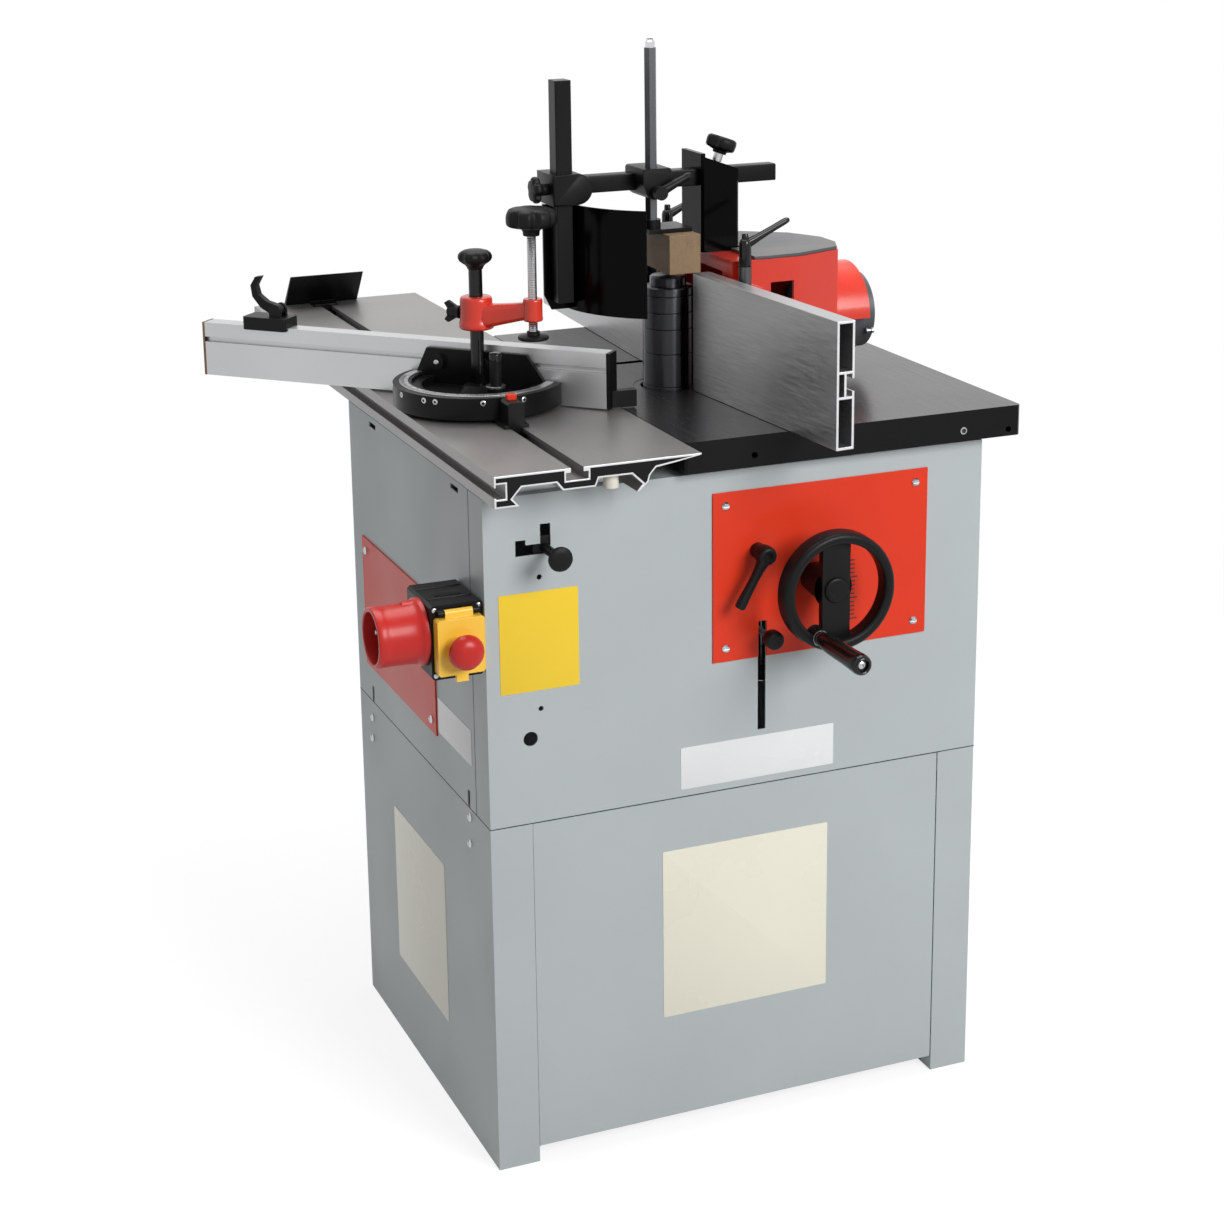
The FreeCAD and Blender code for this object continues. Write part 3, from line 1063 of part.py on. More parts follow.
def slide_table():
    """Hollow aluminium profile with a slot on top, a side groove and two vee ways below."""
    body = prism_y(slide_points(SLIDE_PROFILE), SLIDE_FRONT, SLIDE_BACK)
    cutters = [slide_channel(left, right, top, bottom) for left, right, top, bottom in SLIDE_CHAMBERS]
    cutters.append(slide_channel(-1, GROOVE_LIP + 1, GROOVE_MOUTH[0], GROOVE_MOUTH[1]))
    cutters.append(slide_channel(GROOVE_LIP, GROOVE_DEPTH, GROOVE_CHAMBER[0], GROOVE_CHAMBER[1]))
    cutters.append(slide_channel(T_SLOT_CENTRE - T_SLOT_HALF, T_SLOT_CENTRE + T_SLOT_HALF, -1, T_SLOT_LIP + 1))
    cutters.append(slide_channel(T_SLOT_CENTRE - T_CHAMBER_HALF, T_SLOT_CENTRE + T_CHAMBER_HALF,
                                 T_SLOT_LIP, T_CHAMBER_DEPTH))
    return without(body, cutters)


def slide_rail():
    """Rail with two vee edges on top of the cabinet."""
    return prism_y(slide_points(RAIL_PROFILE), RAIL_FRONT, RAIL_BACK)


def slide_pegs():
    """Two stop pegs under the ends of the sliding table, as a group."""
    top = TABLE_TOP - SLIDE_UNDERSIDE - SEAT_GAP
    return Part.makeCompound([rod_z(PEG_X, y, PEG_RADIUS, PEG_BOTTOM, top) for y in (PEG_FRONT_Y, PEG_BACK_Y)])


def slot_key(front, back, top):
    """Key that runs in the slot of the sliding table, up to a given height."""
    neck = block((T_SLOT_X - KEY_HALF, T_SLOT_X + KEY_HALF), (front, back), (TABLE_TOP - KEY_HEAD_TOP - 1, top))
    head = block((T_SLOT_X - KEY_HEAD_HALF, T_SLOT_X + KEY_HEAD_HALF), (front, back),
                 (TABLE_TOP - KEY_HEAD_BOTTOM, TABLE_TOP - KEY_HEAD_TOP))
    return joined([neck, head])


def edging_shoe():
    """Leaning plate on a foot, with its key in the slot."""
    bottom = TABLE_TOP + SEAT_GAP
    top_y = SHOE_BACK_Y - SHOE_LEAN
    limits = (T_SLOT_X - SHOE_WIDTH / 2, T_SLOT_X + SHOE_WIDTH / 2)
    plate = prism_x(
        ((SHOE_BACK_Y, bottom), (SHOE_BACK_Y, bottom + SHOE_PLATE), (top_y + SHOE_PLATE, SHOE_TOP), (top_y, SHOE_TOP),
         (SHOE_BACK_Y - SHOE_PLATE * 2, bottom)), limits[0], limits[1])
    front = SHOE_BACK_Y - SHOE_FOOT_LENGTH
    foot = block((T_SLOT_X - SHOE_FOOT_LENGTH / 2, T_SLOT_X + SHOE_FOOT_LENGTH / 2), (front, SHOE_BACK_Y),
                 (bottom, bottom + SHOE_PLATE))
    return joined([plate, foot, slot_key(front, SHOE_BACK_Y, bottom + 1)])


# Mitre gauge

def in_mitre_frame(shape):
    """Move a shape from the frame of the mitre gauge to its place."""
    shape.rotate(ORIGIN, Z_WAY, MITRE_ANGLE)
    shape.translate(V(T_SLOT_X, 0, 0))
    return shape


def in_arm_frame(shape):
    """Move a shape from the frame of the clamp arm to its place."""
    shape.rotate(ORIGIN, Z_WAY, ARM_ANGLE)
    shape.translate(V(T_SLOT_X, 0, 0))
    return shape


def mitre_foot():
    """Foot in the slot with the pointer block in front of the dial."""
    bottom = TABLE_TOP + SEAT_GAP
    limits = (T_SLOT_X - FOOT_HALF, T_SLOT_X + FOOT_HALF)
    plate = block(limits, (FOOT_FRONT_Y, FOOT_BACK_Y), (bottom, FOOT_PLATE_TOP))
    across = (T_SLOT_X - FOOT_BLOCK_HALF, T_SLOT_X + FOOT_BLOCK_HALF)
    front = block(across, (FOOT_FRONT_Y, FOOT_BLOCK_BACK_Y), (bottom, FOOT_BLOCK_TOP))
    front = chamfered(front, SHOE_PLATE, Y_WAY)
    return joined([plate, front, slot_key(FOOT_FRONT_Y, FOOT_BACK_Y, bottom + 1)])


def mitre_post():
    """Post that the dial and the clamp arm turn on."""
    return rod_z(T_SLOT_X, 0, POST_RADIUS, FOOT_PLATE_TOP, POST_TOP)


def mitre_dial():
    """Half-round dial with a stepped bowl, its clamping grip and the wall that holds the fence."""
    bottom = FOOT_PLATE_TOP + SEAT_GAP
    wall_back = MITRE_FENCE_N - SEAT_GAP
    wall_front = wall_back - WALL_THICKNESS
    disc = rod_z(0, 0, DIAL_RADIUS, bottom, DIAL_TOP)
    disc = disc.common(block((-DIAL_RADIUS, DIAL_RADIUS), (-DIAL_RADIUS, wall_back), (bottom, DIAL_TOP)))
    floor = DIAL_TOP - DIAL_BOWL_DEPTH
    step = rod_z(0, 0, DIAL_STEP_RADIUS, DIAL_TOP - DIAL_STEP_DEPTH, DIAL_TOP + 1)
    bowl = rod_z(0, 0, DIAL_BOWL_RADIUS, floor, DIAL_TOP + 1)
    hub = turned(((0, bottom), (DIAL_HUB_RADIUS, bottom), (DIAL_HUB_RADIUS, floor),
                  (DIAL_HUB_RADIUS * 3 / 4, DIAL_HUB_TOP), (0, DIAL_HUB_TOP)), ORIGIN, Z_WAY)
    hub = hub.common(block((-DIAL_RADIUS, DIAL_RADIUS), (-DIAL_RADIUS, wall_back), (bottom, WALL_TOP)))
    washer = DIAL_TOP + DIAL_WASHER
    grip = turned(((0, bottom), (DIAL_BOSS_RADIUS, bottom), (DIAL_BOSS_RADIUS, washer), (DIAL_GRIP_RADIUS, washer),
                   (DIAL_GRIP_RADIUS, DIAL_GRIP_TOP), (0, DIAL_GRIP_TOP)), V(DIAL_GRIP_S, DIAL_GRIP_N, 0), Z_WAY)
    wall = prism_y(((WALL_BOTTOM_ENDS[0], bottom), (WALL_BOTTOM_ENDS[1], bottom), (WALL_TOP_ENDS[1], WALL_TOP),
                    (WALL_TOP_ENDS[0], WALL_TOP)), wall_front, wall_back)
    bosses = [rod_y(s, WALL_BOSS_Z, WALL_BOSS_RADIUS, wall_front - WALL_BOSS_DEPTH, wall_back) for s in WALL_BOSSES_S]
    body = joined([without(disc, [step, bowl]), hub, grip, wall] + bosses)
    return in_mitre_frame(body.cut(rod_z(0, 0, POST_RADIUS + RUNNING_GAP, bottom - 1, WALL_TOP)))


def dial_scale():
    """Bright scale ring on the dial."""
    top = DIAL_TOP + SCALE_THICKNESS
    ring = turned(((SCALE_RING[0], DIAL_TOP), (SCALE_RING[1], DIAL_TOP), (SCALE_RING[1], top), (SCALE_RING[0], top)),
                  ORIGIN, Z_WAY)
    limit = MITRE_FENCE_N - WALL_THICKNESS - 3 * SEAT_GAP
    keep = block((-DIAL_RADIUS, DIAL_RADIUS), (-DIAL_RADIUS, limit), (DIAL_TOP - 1, top + 1))
    return in_mitre_frame(ring.common(keep))


def mitre_fence():
    """Hollow fence profile with a groove along its face."""
    back = MITRE_FENCE_N + MITRE_FENCE_THICKNESS
    run = (MITRE_FENCE_LEFT, MITRE_FENCE_RIGHT)
    through = (MITRE_FENCE_LEFT - 1, MITRE_FENCE_RIGHT + 1)
    body = block(run, (MITRE_FENCE_N, back), (MITRE_FENCE_BOTTOM, MITRE_FENCE_TOP))
    cutters = [block(through, (MITRE_FENCE_N - 1, MITRE_FENCE_N + MITRE_GROOVE_DEPTH), MITRE_GROOVE)]
    for limits in MITRE_CHAMBERS:
        cutters.append(block(through, (MITRE_FENCE_N + MITRE_WALL, back - MITRE_WALL), limits))
    return in_mitre_frame(without(body, cutters))


def fence_caps():
    """End cap and end plate with its wing on the mitre fence, as a group."""
    across = (MITRE_FENCE_N, MITRE_FENCE_N + MITRE_FENCE_THICKNESS)
    height = (MITRE_FENCE_BOTTOM, MITRE_FENCE_TOP)
    left = block((MITRE_FENCE_LEFT - CAP_THICKNESS, MITRE_FENCE_LEFT), across, height)
    right = block((MITRE_FENCE_RIGHT, WING_POINTS[0][0] + 1), across, height)
    wing = prism_z(WING_POINTS, MITRE_FENCE_BOTTOM, WING_TOP)
    return in_mitre_frame(Part.makeCompound([left, joined([right, wing])]))


def post_knob():
    """Round locking knob on top of the post."""
    base = POST_TOP + SEAT_GAP
    height = POST_KNOB_TOP - base
    radius = POST_KNOB_RADIUS
    return turned(((0, 0), (radius / 2, 0), (radius / 2, height / 4), (radius, height / 2), (radius, height * 4 / 5),
                   (radius * 3 / 4, height), (0, height)), V(T_SLOT_X, 0, base), Z_WAY)


def clamp_arm():
    """Red arm with a split hub on the post and an end hub for the screw."""
    hub = rod_z(0, 0, ARM_HUB_RADIUS, ARM_HUB_BOTTOM, ARM_HUB_TOP)
    end = rod_z(ARM_REACH, 0, ARM_END_RADIUS, ARM_END_BOTTOM, ARM_END_TOP)
    plan = prism_z(((0, -ARM_WEB_ROOT), (ARM_REACH, -ARM_WEB_TIP), (ARM_REACH, ARM_WEB_TIP), (0, ARM_WEB_ROOT)),
                   ARM_WEB_ROOT_Z[0], ARM_WEB_TIP_Z[1])
    side = ((0, ARM_WEB_ROOT_Z[0]), (ARM_REACH, ARM_WEB_TIP_Z[0]), (ARM_REACH, ARM_WEB_TIP_Z[1]), (0, ARM_WEB_ROOT_Z[1]))
    web = plan.common(prism_y(side, -ARM_WEB_ROOT, ARM_WEB_ROOT))
    rim = ARM_WEB_RIM
    panel = ((0, side[0][1] + rim), (ARM_REACH, side[1][1] + rim), (ARM_REACH, side[2][1] - rim), (0, side[3][1] - rim))
    web = without(web, [prism_y(panel, ARM_WEB_CORE, ARM_WEB_ROOT + 1), prism_y(panel, -ARM_WEB_ROOT - 1, -ARM_WEB_CORE)])
    stud_z = (ARM_HUB_BOTTOM + ARM_HUB_TOP) / 2
    holes = [rod_z(0, 0, POST_RADIUS + RUNNING_GAP, ARM_HUB_BOTTOM - 1, ARM_HUB_TOP + 1),
             rod_z(ARM_REACH, 0, CLAMP_SCREW_RADIUS + RUNNING_GAP, ARM_END_BOTTOM - 1, ARM_END_TOP + 1),
             rod_x(0, stud_z, WING_STUD_RADIUS + RUNNING_GAP, -ARM_HUB_RADIUS - 1, 0)]
    return in_arm_frame(without(joined([hub, end, web]), holes))


def arm_lock_knob():
    """Wing knob that locks the arm on the post."""
    base = V(-ARM_HUB_RADIUS, 0, (ARM_HUB_BOTTOM + ARM_HUB_TOP) / 2)
    return in_arm_frame(wing_knob(base, -X_WAY, ARM_STUD_LENGTH, ARM_STUD_SINK))


def clamp_screw():
    """Clamp screw with its large lobed knob."""
    shank = rod_z(ARM_REACH, 0, CLAMP_SCREW_RADIUS, CLAMP_SCREW_BOTTOM, CLAMP_KNOB_BOTTOM + 1)
    grip = lobed_knob(CLAMP_KNOB_RADIUS, CLAMP_KNOB_TOP - CLAMP_KNOB_BOTTOM, CLAMP_KNOB_FLUTES,
                      V(ARM_REACH, 0, CLAMP_KNOB_BOTTOM), Z_WAY)
    return in_arm_frame(joined([shank, grip]))


def clamp_pad():
    """Pressure pad with a socket for the end of the screw."""
    bore = CLAMP_SCREW_RADIUS + RUNNING_GAP
    floor = CLAMP_SCREW_BOTTOM - SEAT_GAP
    return in_arm_frame(turned(
        ((0, PAD_BOTTOM), (PAD_RADIUS - 1, PAD_BOTTOM), (PAD_RADIUS, PAD_BOTTOM + 1), (PAD_RADIUS, PAD_TOP - 2),
         (PAD_BOSS_RADIUS, PAD_TOP), (PAD_BOSS_RADIUS, PAD_BOSS_TOP), (bore, PAD_BOSS_TOP), (bore, floor), (0, floor)),
        V(ARM_REACH, 0, 0), Z_WAY))


def stop_block():
    """Saddle that slides along the fence, with the lugs and pin of the stop lever."""
    inner = (MITRE_FENCE_N - SEAT_GAP, MITRE_FENCE_N + MITRE_FENCE_THICKNESS + SEAT_GAP)
    outer = (inner[0] - STOP_SKIRT, inner[1] + STOP_SKIRT)
    saddle = block(STOP_S, outer, (STOP_SKIRT_BOTTOM, STOP_TOP))
    saddle = chamfered(saddle, SHOE_PLATE, Z_WAY)
    gap = block((STOP_S[0] - 1, STOP_S[1] + 1), inner, (STOP_SKIRT_BOTTOM - 1, MITRE_FENCE_TOP + SEAT_GAP))
    shapes = [saddle.cut(gap)]
    for limits in STOP_LUGS_N:
        shapes.append(rod_y(STOP_PIVOT_S, STOP_PIVOT_Z, STOP_LUG_RADIUS, limits[0], limits[1]))
        shapes.append(block((STOP_PIVOT_S - STOP_LUG_RADIUS, STOP_PIVOT_S + STOP_LUG_RADIUS), limits,
                            (STOP_TOP - 1, STOP_PIVOT_Z)))
    shapes.append(rod_y(STOP_PIVOT_S, STOP_PIVOT_Z, STOP_PIN_RADIUS, STOP_LUGS_N[0][0], STOP_LUGS_N[1][1]))
    return in_mitre_frame(joined(shapes))


def stop_lever():
    """Hooked flip lever on the stop."""
    eye = rod_y(STOP_PIVOT_S, STOP_PIVOT_Z, STOP_LEVER_EYE, STOP_LEVER_N[0], STOP_LEVER_N[1])
    hook = prism_y(STOP_HOOK_POINTS, STOP_LEVER_N[0], STOP_LEVER_N[1])
    bore = rod_y(STOP_PIVOT_S, STOP_PIVOT_Z, STOP_PIN_RADIUS + RUNNING_GAP, STOP_LEVER_N[0] - 1, STOP_LEVER_N[1] + 1)
    return in_mitre_frame(joined([eye, hook]).cut(bore))


# Fences, hood and spigot

def fence(length):
    """Hollow fence profile with a slot in its back, drawn out along Y from the origin."""
    wall = FENCE_WALL
    right = FENCE_THICKNESS
    half = FENCE_WEB / 2
    through = (-1, length + 1)
    body = block((0, right), (0, length), (FENCE_BOTTOM, FENCE_TOP))
    bay = (FENCE_WEBS_Z[1] + half, FENCE_WEBS_Z[0] - half)
    middle = sum(bay) / 2
    slot_floor = right - FENCE_SLOT_DEPTH
    cutters = [block((wall, right - wall), through, (FENCE_WEBS_Z[0] + half, FENCE_TOP - wall)),
               block((wall, right - wall), through, (FENCE_BOTTOM + wall, FENCE_WEBS_Z[1] - half)),
               block((wall, slot_floor - wall), through, bay),
               block((slot_floor, right - wall), through, bay),
               block((slot_floor, right + 1), through, (middle - FENCE_SLOT / 2, middle + FENCE_SLOT / 2))]
    return without(body, cutters)


def front_fence():
    """Fence towards the operator, slightly skewed."""
    shape = fence(FRONT_FENCE_LENGTH)
    shape.translate(V(0, -FRONT_FENCE_LENGTH, 0))
    shape.rotate(ORIGIN, Z_WAY, FRONT_FENCE_SKEW)
    shape.translate(V(FRONT_FENCE_START[0], FRONT_FENCE_START[1], 0))
    return shape


def rear_fence():
    """Fence towards the back, skewed the other way."""
    shape = fence(REAR_FENCE_LENGTH)
    shape.rotate(ORIGIN, Z_WAY, -REAR_FENCE_SKEW)
    shape.translate(V(REAR_FENCE_START[0], REAR_FENCE_START[1], 0))
    return shape


def fence_back_x(start, skew, distance):
    """X of a fence's back face, at a distance along Y from its start."""
    angle = math.radians(skew)
    return start[0] + FENCE_THICKNESS / math.cos(angle) + distance * math.tan(angle)


def hood_face(offset):
    """Plan outline of the hood, moved outwards by an offset."""
    face = Part.Face(Part.makePolygon([V(x, y, 0) for x, y in HOOD_POINTS + HOOD_POINTS[:1]]))
    if offset == 0:
        return face
    return face.makeOffset2D(offset, 2)


def hood_prism(offset, bottom, top):
    """Upright solid on the hood outline."""
    solid = hood_face(offset).extrude(V(0, 0, top - bottom))
    solid.translate(V(0, 0, bottom))
    return solid


def hood_shell():
    """Red hood with half-tube outlet and the two lugs that hold the fences."""
    outer = hood_prism(0, HOOD_BOTTOM, HOOD_TOP)
    half_tube = rod_x(0, TUBE_Z, TUBE_RADIUS, TUBE_START_X, TUBE_END_X)
    half_tube = half_tube.common(block((TUBE_START_X, TUBE_END_X), (-TUBE_RADIUS, TUBE_RADIUS),
                                       (TUBE_Z, TUBE_Z + TUBE_RADIUS)))
    lugs = []
    for start, skew, sign, limits in ((FRONT_FENCE_START, FRONT_FENCE_SKEW, -1, FRONT_LUG_Y),
                                      (REAR_FENCE_START, REAR_FENCE_SKEW, 1, REAR_LUG_Y)):
        near = [fence_back_x(start, skew, sign * (y - start[1])) + SEAT_GAP for y in limits]
        right = HOOD_LEFT + LUG_THICKNESS
        lugs.append(prism_z(((near[0], limits[0]), (right, limits[0]), (right, limits[1]), (near[1], limits[1])),
                            HOOD_BOTTOM, LUG_TOP))
    body = joined([outer, half_tube] + lugs)
    cutters = [hood_prism(-HOOD_WALL, HOOD_BOTTOM - 1, HOOD_TOP - HOOD_WALL)]
    cutters.append(block((HOOD_LEFT - 1, HOOD_LEFT + HOOD_WALL + 1), (-HOOD_MOUTH_HALF, HOOD_MOUTH_HALF),
                         (HOOD_BOTTOM - 1, HOOD_MOUTH_TOP)))
    cutters.append(block(HOOD_WINDOW_X, (HOOD_FRONT_Y - 1, HOOD_FRONT_Y + 2 * HOOD_WALL), HOOD_WINDOW_Z))
    cutters.append(rod_x(0, TUBE_Z, TUBE_RADIUS - TUBE_WALL, HOOD_NOSE_X, TUBE_END_X + 1))
    cutters.append(rod_x(0, TUBE_Z, SPIGOT_RADIUS + SEAT_GAP, TUBE_START_X, TUBE_END_X + 1))
    for x, y in (FRONT_STUD, REAR_STUD):
        cutters.append(rod_z(x, y, STUD_HOLE_RADIUS, HOOD_BOTTOM - 1, LUG_TOP + 1))
    return without(body, cutters)


def hood_lid():
    """Dark lid on the hood, notched round the guard post."""
    lid = hood_prism(-LID_OVERHANG, HOOD_TOP, HOOD_TOP + LID_THICKNESS)
    left = block((HOOD_LEFT - 1, LID_LEFT), (-CABINET_DEPTH, CABINET_DEPTH), (HOOD_TOP - 1, HOOD_TOP + LID_THICKNESS + 1))
    notch = block((LID_LEFT - 1, LID_NOTCH_RIGHT), LID_NOTCH_Y,
                  (HOOD_TOP - 1, HOOD_TOP + LID_THICKNESS + 1))
    return without(lid, [left, notch])


def extraction_spigot():
    """Round spigot for the dust hose, with a slimmer end."""
    outer = SPIGOT_RADIUS
    stub = SPIGOT_STUB_RADIUS
    bore = stub - SPIGOT_WALL
    return turned(((bore, SPIGOT_START_X), (outer, SPIGOT_START_X), (outer, SPIGOT_STEP_X), (stub, SPIGOT_STEP_X),
                   (stub, SPIGOT_END_X), (bore, SPIGOT_END_X)), V(0, 0, TUBE_Z), X_WAY)


def hood_lever(stud):
    """Clamping lever of the hood with its stud and sleeve."""
    spot = V(stud[0], stud[1], 0)
    low = LUG_TOP + SEAT_GAP
    hub_top = HOOD_LEVER_HUB_TOP
    body = turned(
        ((0, STUD_BOTTOM), (STUD_RADIUS, STUD_BOTTOM), (STUD_RADIUS, low), (STUD_SLEEVE_RADIUS, low),
         (STUD_SLEEVE_RADIUS, HOOD_LEVER_HUB_BOTTOM), (HOOD_LEVER_HUB_RADIUS, HOOD_LEVER_HUB_BOTTOM),
         (HOOD_LEVER_HUB_RADIUS, hub_top - 4), (HOOD_LEVER_HUB_RADIUS - 4, hub_top), (0, hub_top)), spot, Z_WAY)
    start = spot + V(0, 0, hub_top - HOOD_LEVER_ROOT)
    way = V(HOOD_LEVER_LENGTH, 0, HOOD_LEVER_TIP_RISE)
    arm = Part.makeCone(HOOD_LEVER_ROOT, HOOD_LEVER_END, way.Length, start, way)
    tip = Part.makeSphere(HOOD_LEVER_END, start + way)
    return joined([body, arm, tip])


# Cutter guard

def guard_post():
    """Post on the hood that holds the guard bar."""
    slope = math.tan(math.radians(GUARD_KNOB_TILT))
    left_top = GUARD_POST_TOP + slope * (GUARD_KNOB_X - POST_LEFT)
    right_top = GUARD_POST_TOP - slope * (POST_RIGHT - GUARD_KNOB_X)
    body = chamfered(block((POST_LEFT, POST_RIGHT), POST_Y, (HOOD_TOP, left_top)), GUARD_POST_CHAMFER, Z_WAY)
    body = body.common(prism_y(((POST_LEFT, HOOD_TOP), (POST_RIGHT, HOOD_TOP), (POST_RIGHT, right_top), (POST_LEFT, left_top)),
                               POST_Y[0], POST_Y[1]))
    ear = block((POST_LEFT, POST_LEFT + GUARD_POST_EAR), (POST_Y[0] + GUARD_POST_CHAMFER, POST_Y[1] - GUARD_POST_CHAMFER),
                (BAR_Z + 2 * BAR_HALF, GUARD_POST_EAR_TOP))
    half = BAR_HALF + SEAT_GAP
    passage = block((POST_LEFT - 1, POST_RIGHT + 1), (-half, half), (BAR_Z - half, BAR_Z + half))
    axis = guard_knob_axis()
    start = V(GUARD_KNOB_X, 0, GUARD_POST_TOP) + axis * WING_STUD_RADIUS
    hole = Part.makeCylinder(WING_STUD_RADIUS + RUNNING_GAP, 2 * WING_STUD_RADIUS + 1, start, -axis)
    return without(joined([body, ear]), [passage, hole])


def guard_knob_axis():
    """Direction of the tilted guard knob."""
    tilt = math.radians(GUARD_KNOB_TILT)
    return V(math.sin(tilt), 0, math.cos(tilt))


def guard_post_knob():
    """Tilted lobed knob that locks the guard bar."""
    axis = guard_knob_axis()
    seat = V(GUARD_KNOB_X, 0, GUARD_POST_TOP)
    stud = Part.makeCylinder(WING_STUD_RADIUS, GUARD_KNOB_STUD + WING_STUD_RADIUS + 1, seat - axis * WING_STUD_RADIUS, axis)
    grip = lobed_knob(GUARD_KNOB_RADIUS, GUARD_KNOB_HEIGHT, GUARD_KNOB_LOBES, seat + axis * GUARD_KNOB_STUD, axis)
    return joined([stud, grip])


def hexagon(flats, bottom, top):
    """Upright hexagon bar at the place of the presser rod."""
    radius = flats / math.sqrt(3)
    angles = [math.radians(60 * number) for number in range(6)]
    return prism_z([(HEX_X + radius * math.cos(a), HEX_Y + radius * math.sin(a)) for a in angles], bottom, top)


def guard_bar():
    """Square bar with the two clamp castings for the presser rod and the upright."""
    bar = block((BAR_LEFT, BAR_RIGHT), (-BAR_HALF, BAR_HALF), (BAR_Z - BAR_HALF, BAR_Z + BAR_HALF))
    across = (CLAMP_FRONT_Y, CLAMP_BACK_Y)
    presser = chamfered(block(PRESSER_CLAMP_X, across, CLAMP_BODY_Z), GUARD_POST_CHAMFER, Z_WAY)
    end = chamfered(block(END_CLAMP_X, across, CLAMP_BODY_Z), GUARD_POST_CHAMFER, Z_WAY)
    rod_hole = hexagon(HEX_FLATS + 2 * SEAT_GAP, CLAMP_BODY_Z[0] - 1, CLAMP_BODY_Z[1] + 1)
    gap = SEAT_GAP
    upright_hole = block((UPRIGHT_X[0] - gap, UPRIGHT_X[1] + gap), (UPRIGHT_Y[0] - gap, UPRIGHT_Y[1] + gap),
                         (CLAMP_BODY_Z[0] - 1, CLAMP_BODY_Z[1] + 1))
    bore = WING_STUD_RADIUS + RUNNING_GAP
    lever_hole = rod_y(HEX_X, BAR_Z - PRESSER_LEVER_DROP, bore, CLAMP_FRONT_Y - 1, HEX_Y)
    knob_hole = rod_x(sum(UPRIGHT_Y) / 2, BAR_Z, bore, END_CLAMP_X[0] - 1, UPRIGHT_X[0])
    return without(joined([bar, presser, end]), [rod_hole, upright_hole, lever_hole, knob_hole])


def hex_rod():
    """Hexagon presser rod with its foot bracket."""
    rod = hexagon(HEX_FLATS, HEX_BOTTOM, HEX_TOP)
    stud = rod_z(HEX_X, HEX_Y, HEX_STUD_RADIUS, HEX_TOP - 1, HEX_STUD_TOP)
    base = BLOCK_Z[1] + SEAT_GAP
    plate = block(BRACKET_X, BRACKET_Y, (base, base + BRACKET_PLATE))
    boss = rod_z(HEX_X, HEX_Y, BRACKET_BOSS_RADIUS, base, BRACKET_BOSS_TOP)
    return joined([rod, stud, plate, boss])


def presser_block():
    """Wooden pressure block."""
    return chamfered(block(BLOCK_X, BLOCK_Y, BLOCK_Z), COLLAR_CHAMFER, Y_WAY)


def presser_lever():
    """Small lever that locks the presser rod."""
    sink = WING_STUD_RADIUS + SEAT_GAP
    height = BAR_Z - PRESSER_LEVER_DROP
    stud = rod_y(HEX_X, height, WING_STUD_RADIUS, CLAMP_FRONT_Y - 1, CLAMP_FRONT_Y + sink)
    hub_front = CLAMP_FRONT_Y - SEAT_GAP - 2 * PRESSER_LEVER_HUB
    hub = rod_y(HEX_X, height, PRESSER_LEVER_HUB, hub_front, CLAMP_FRONT_Y - SEAT_GAP)
    angle = math.radians(PRESSER_LEVER_ANGLE)
    way = V(math.cos(angle), 0, math.sin(angle))
    start = V(HEX_X, hub_front + PRESSER_LEVER_HUB, height)
    length = PRESSER_LEVER_LENGTH
    tip = PRESSER_LEVER_TIP
    arm = turned(((0, 0), (PRESSER_LEVER_HUB * 3 / 4, 0), (PRESSER_LEVER_HUB / 2, length - tip), (tip, length),
                  (tip * 2 / 3, length + tip), (0, length + tip)), start, way)
    return joined([stud, hub, arm])


def end_clamp_knob():
    """Wing knob that locks the upright."""
    base = V(END_CLAMP_X[0], sum(UPRIGHT_Y) / 2, BAR_Z)
    return wing_knob(base, -X_WAY, SEAT_GAP, UPRIGHT_X[0] - SEAT_GAP - END_CLAMP_X[0])


def guard_upright():
    """Square upright that carries the shield."""
    return chamfered(block(UPRIGHT_X, UPRIGHT_Y, UPRIGHT_Z), COLLAR_CHAMFER, Z_WAY)


def shield():
    """Curved guard plate in front of the cutter, with a flange behind the upright."""
    height = SHIELD_Z[1] - SHIELD_Z[0]
    outer = Part.makeCylinder(SHIELD_RADIUS, height, V(SPINDLE_X, SPINDLE_Y, SHIELD_Z[0]), Z_WAY)
    inner = Part.makeCylinder(SHIELD_RADIUS - SHIELD_THICKNESS, height, V(SPINDLE_X, SPINDLE_Y, SHIELD_Z[0]), Z_WAY)
    reach = 2 * SHIELD_RADIUS
    corners = [(SPINDLE_X, SPINDLE_Y)]
    for angle in SHIELD_ANGLES:
        turn = math.radians(angle)
        corners.append((SPINDLE_X + reach * math.cos(turn), SPINDLE_Y + reach * math.sin(turn)))
    wall = outer.cut(inner).common(prism_z(corners, SHIELD_Z[0], SHIELD_Z[1]))
    left = UPRIGHT_X[0] - SHIELD_FLANGE
    right = UPRIGHT_X[1] + SHIELD_THICKNESS / 2
    rise = SHIELD_Z[0] + 2 * SHIELD_FLANGE
    back = UPRIGHT_Y[1] + SEAT_GAP
    outline = (
        (UPRIGHT_X[0], SHIELD_Z[0]),
        (right, SHIELD_Z[0]),
        (right, SHIELD_Z[1]),
        (left, SHIELD_Z[1]),
        (left, rise),
    )
    flange = prism_y(outline, back, back + SHIELD_THICKNESS)
    return wall.fuse(flange)


# Switch and inlet

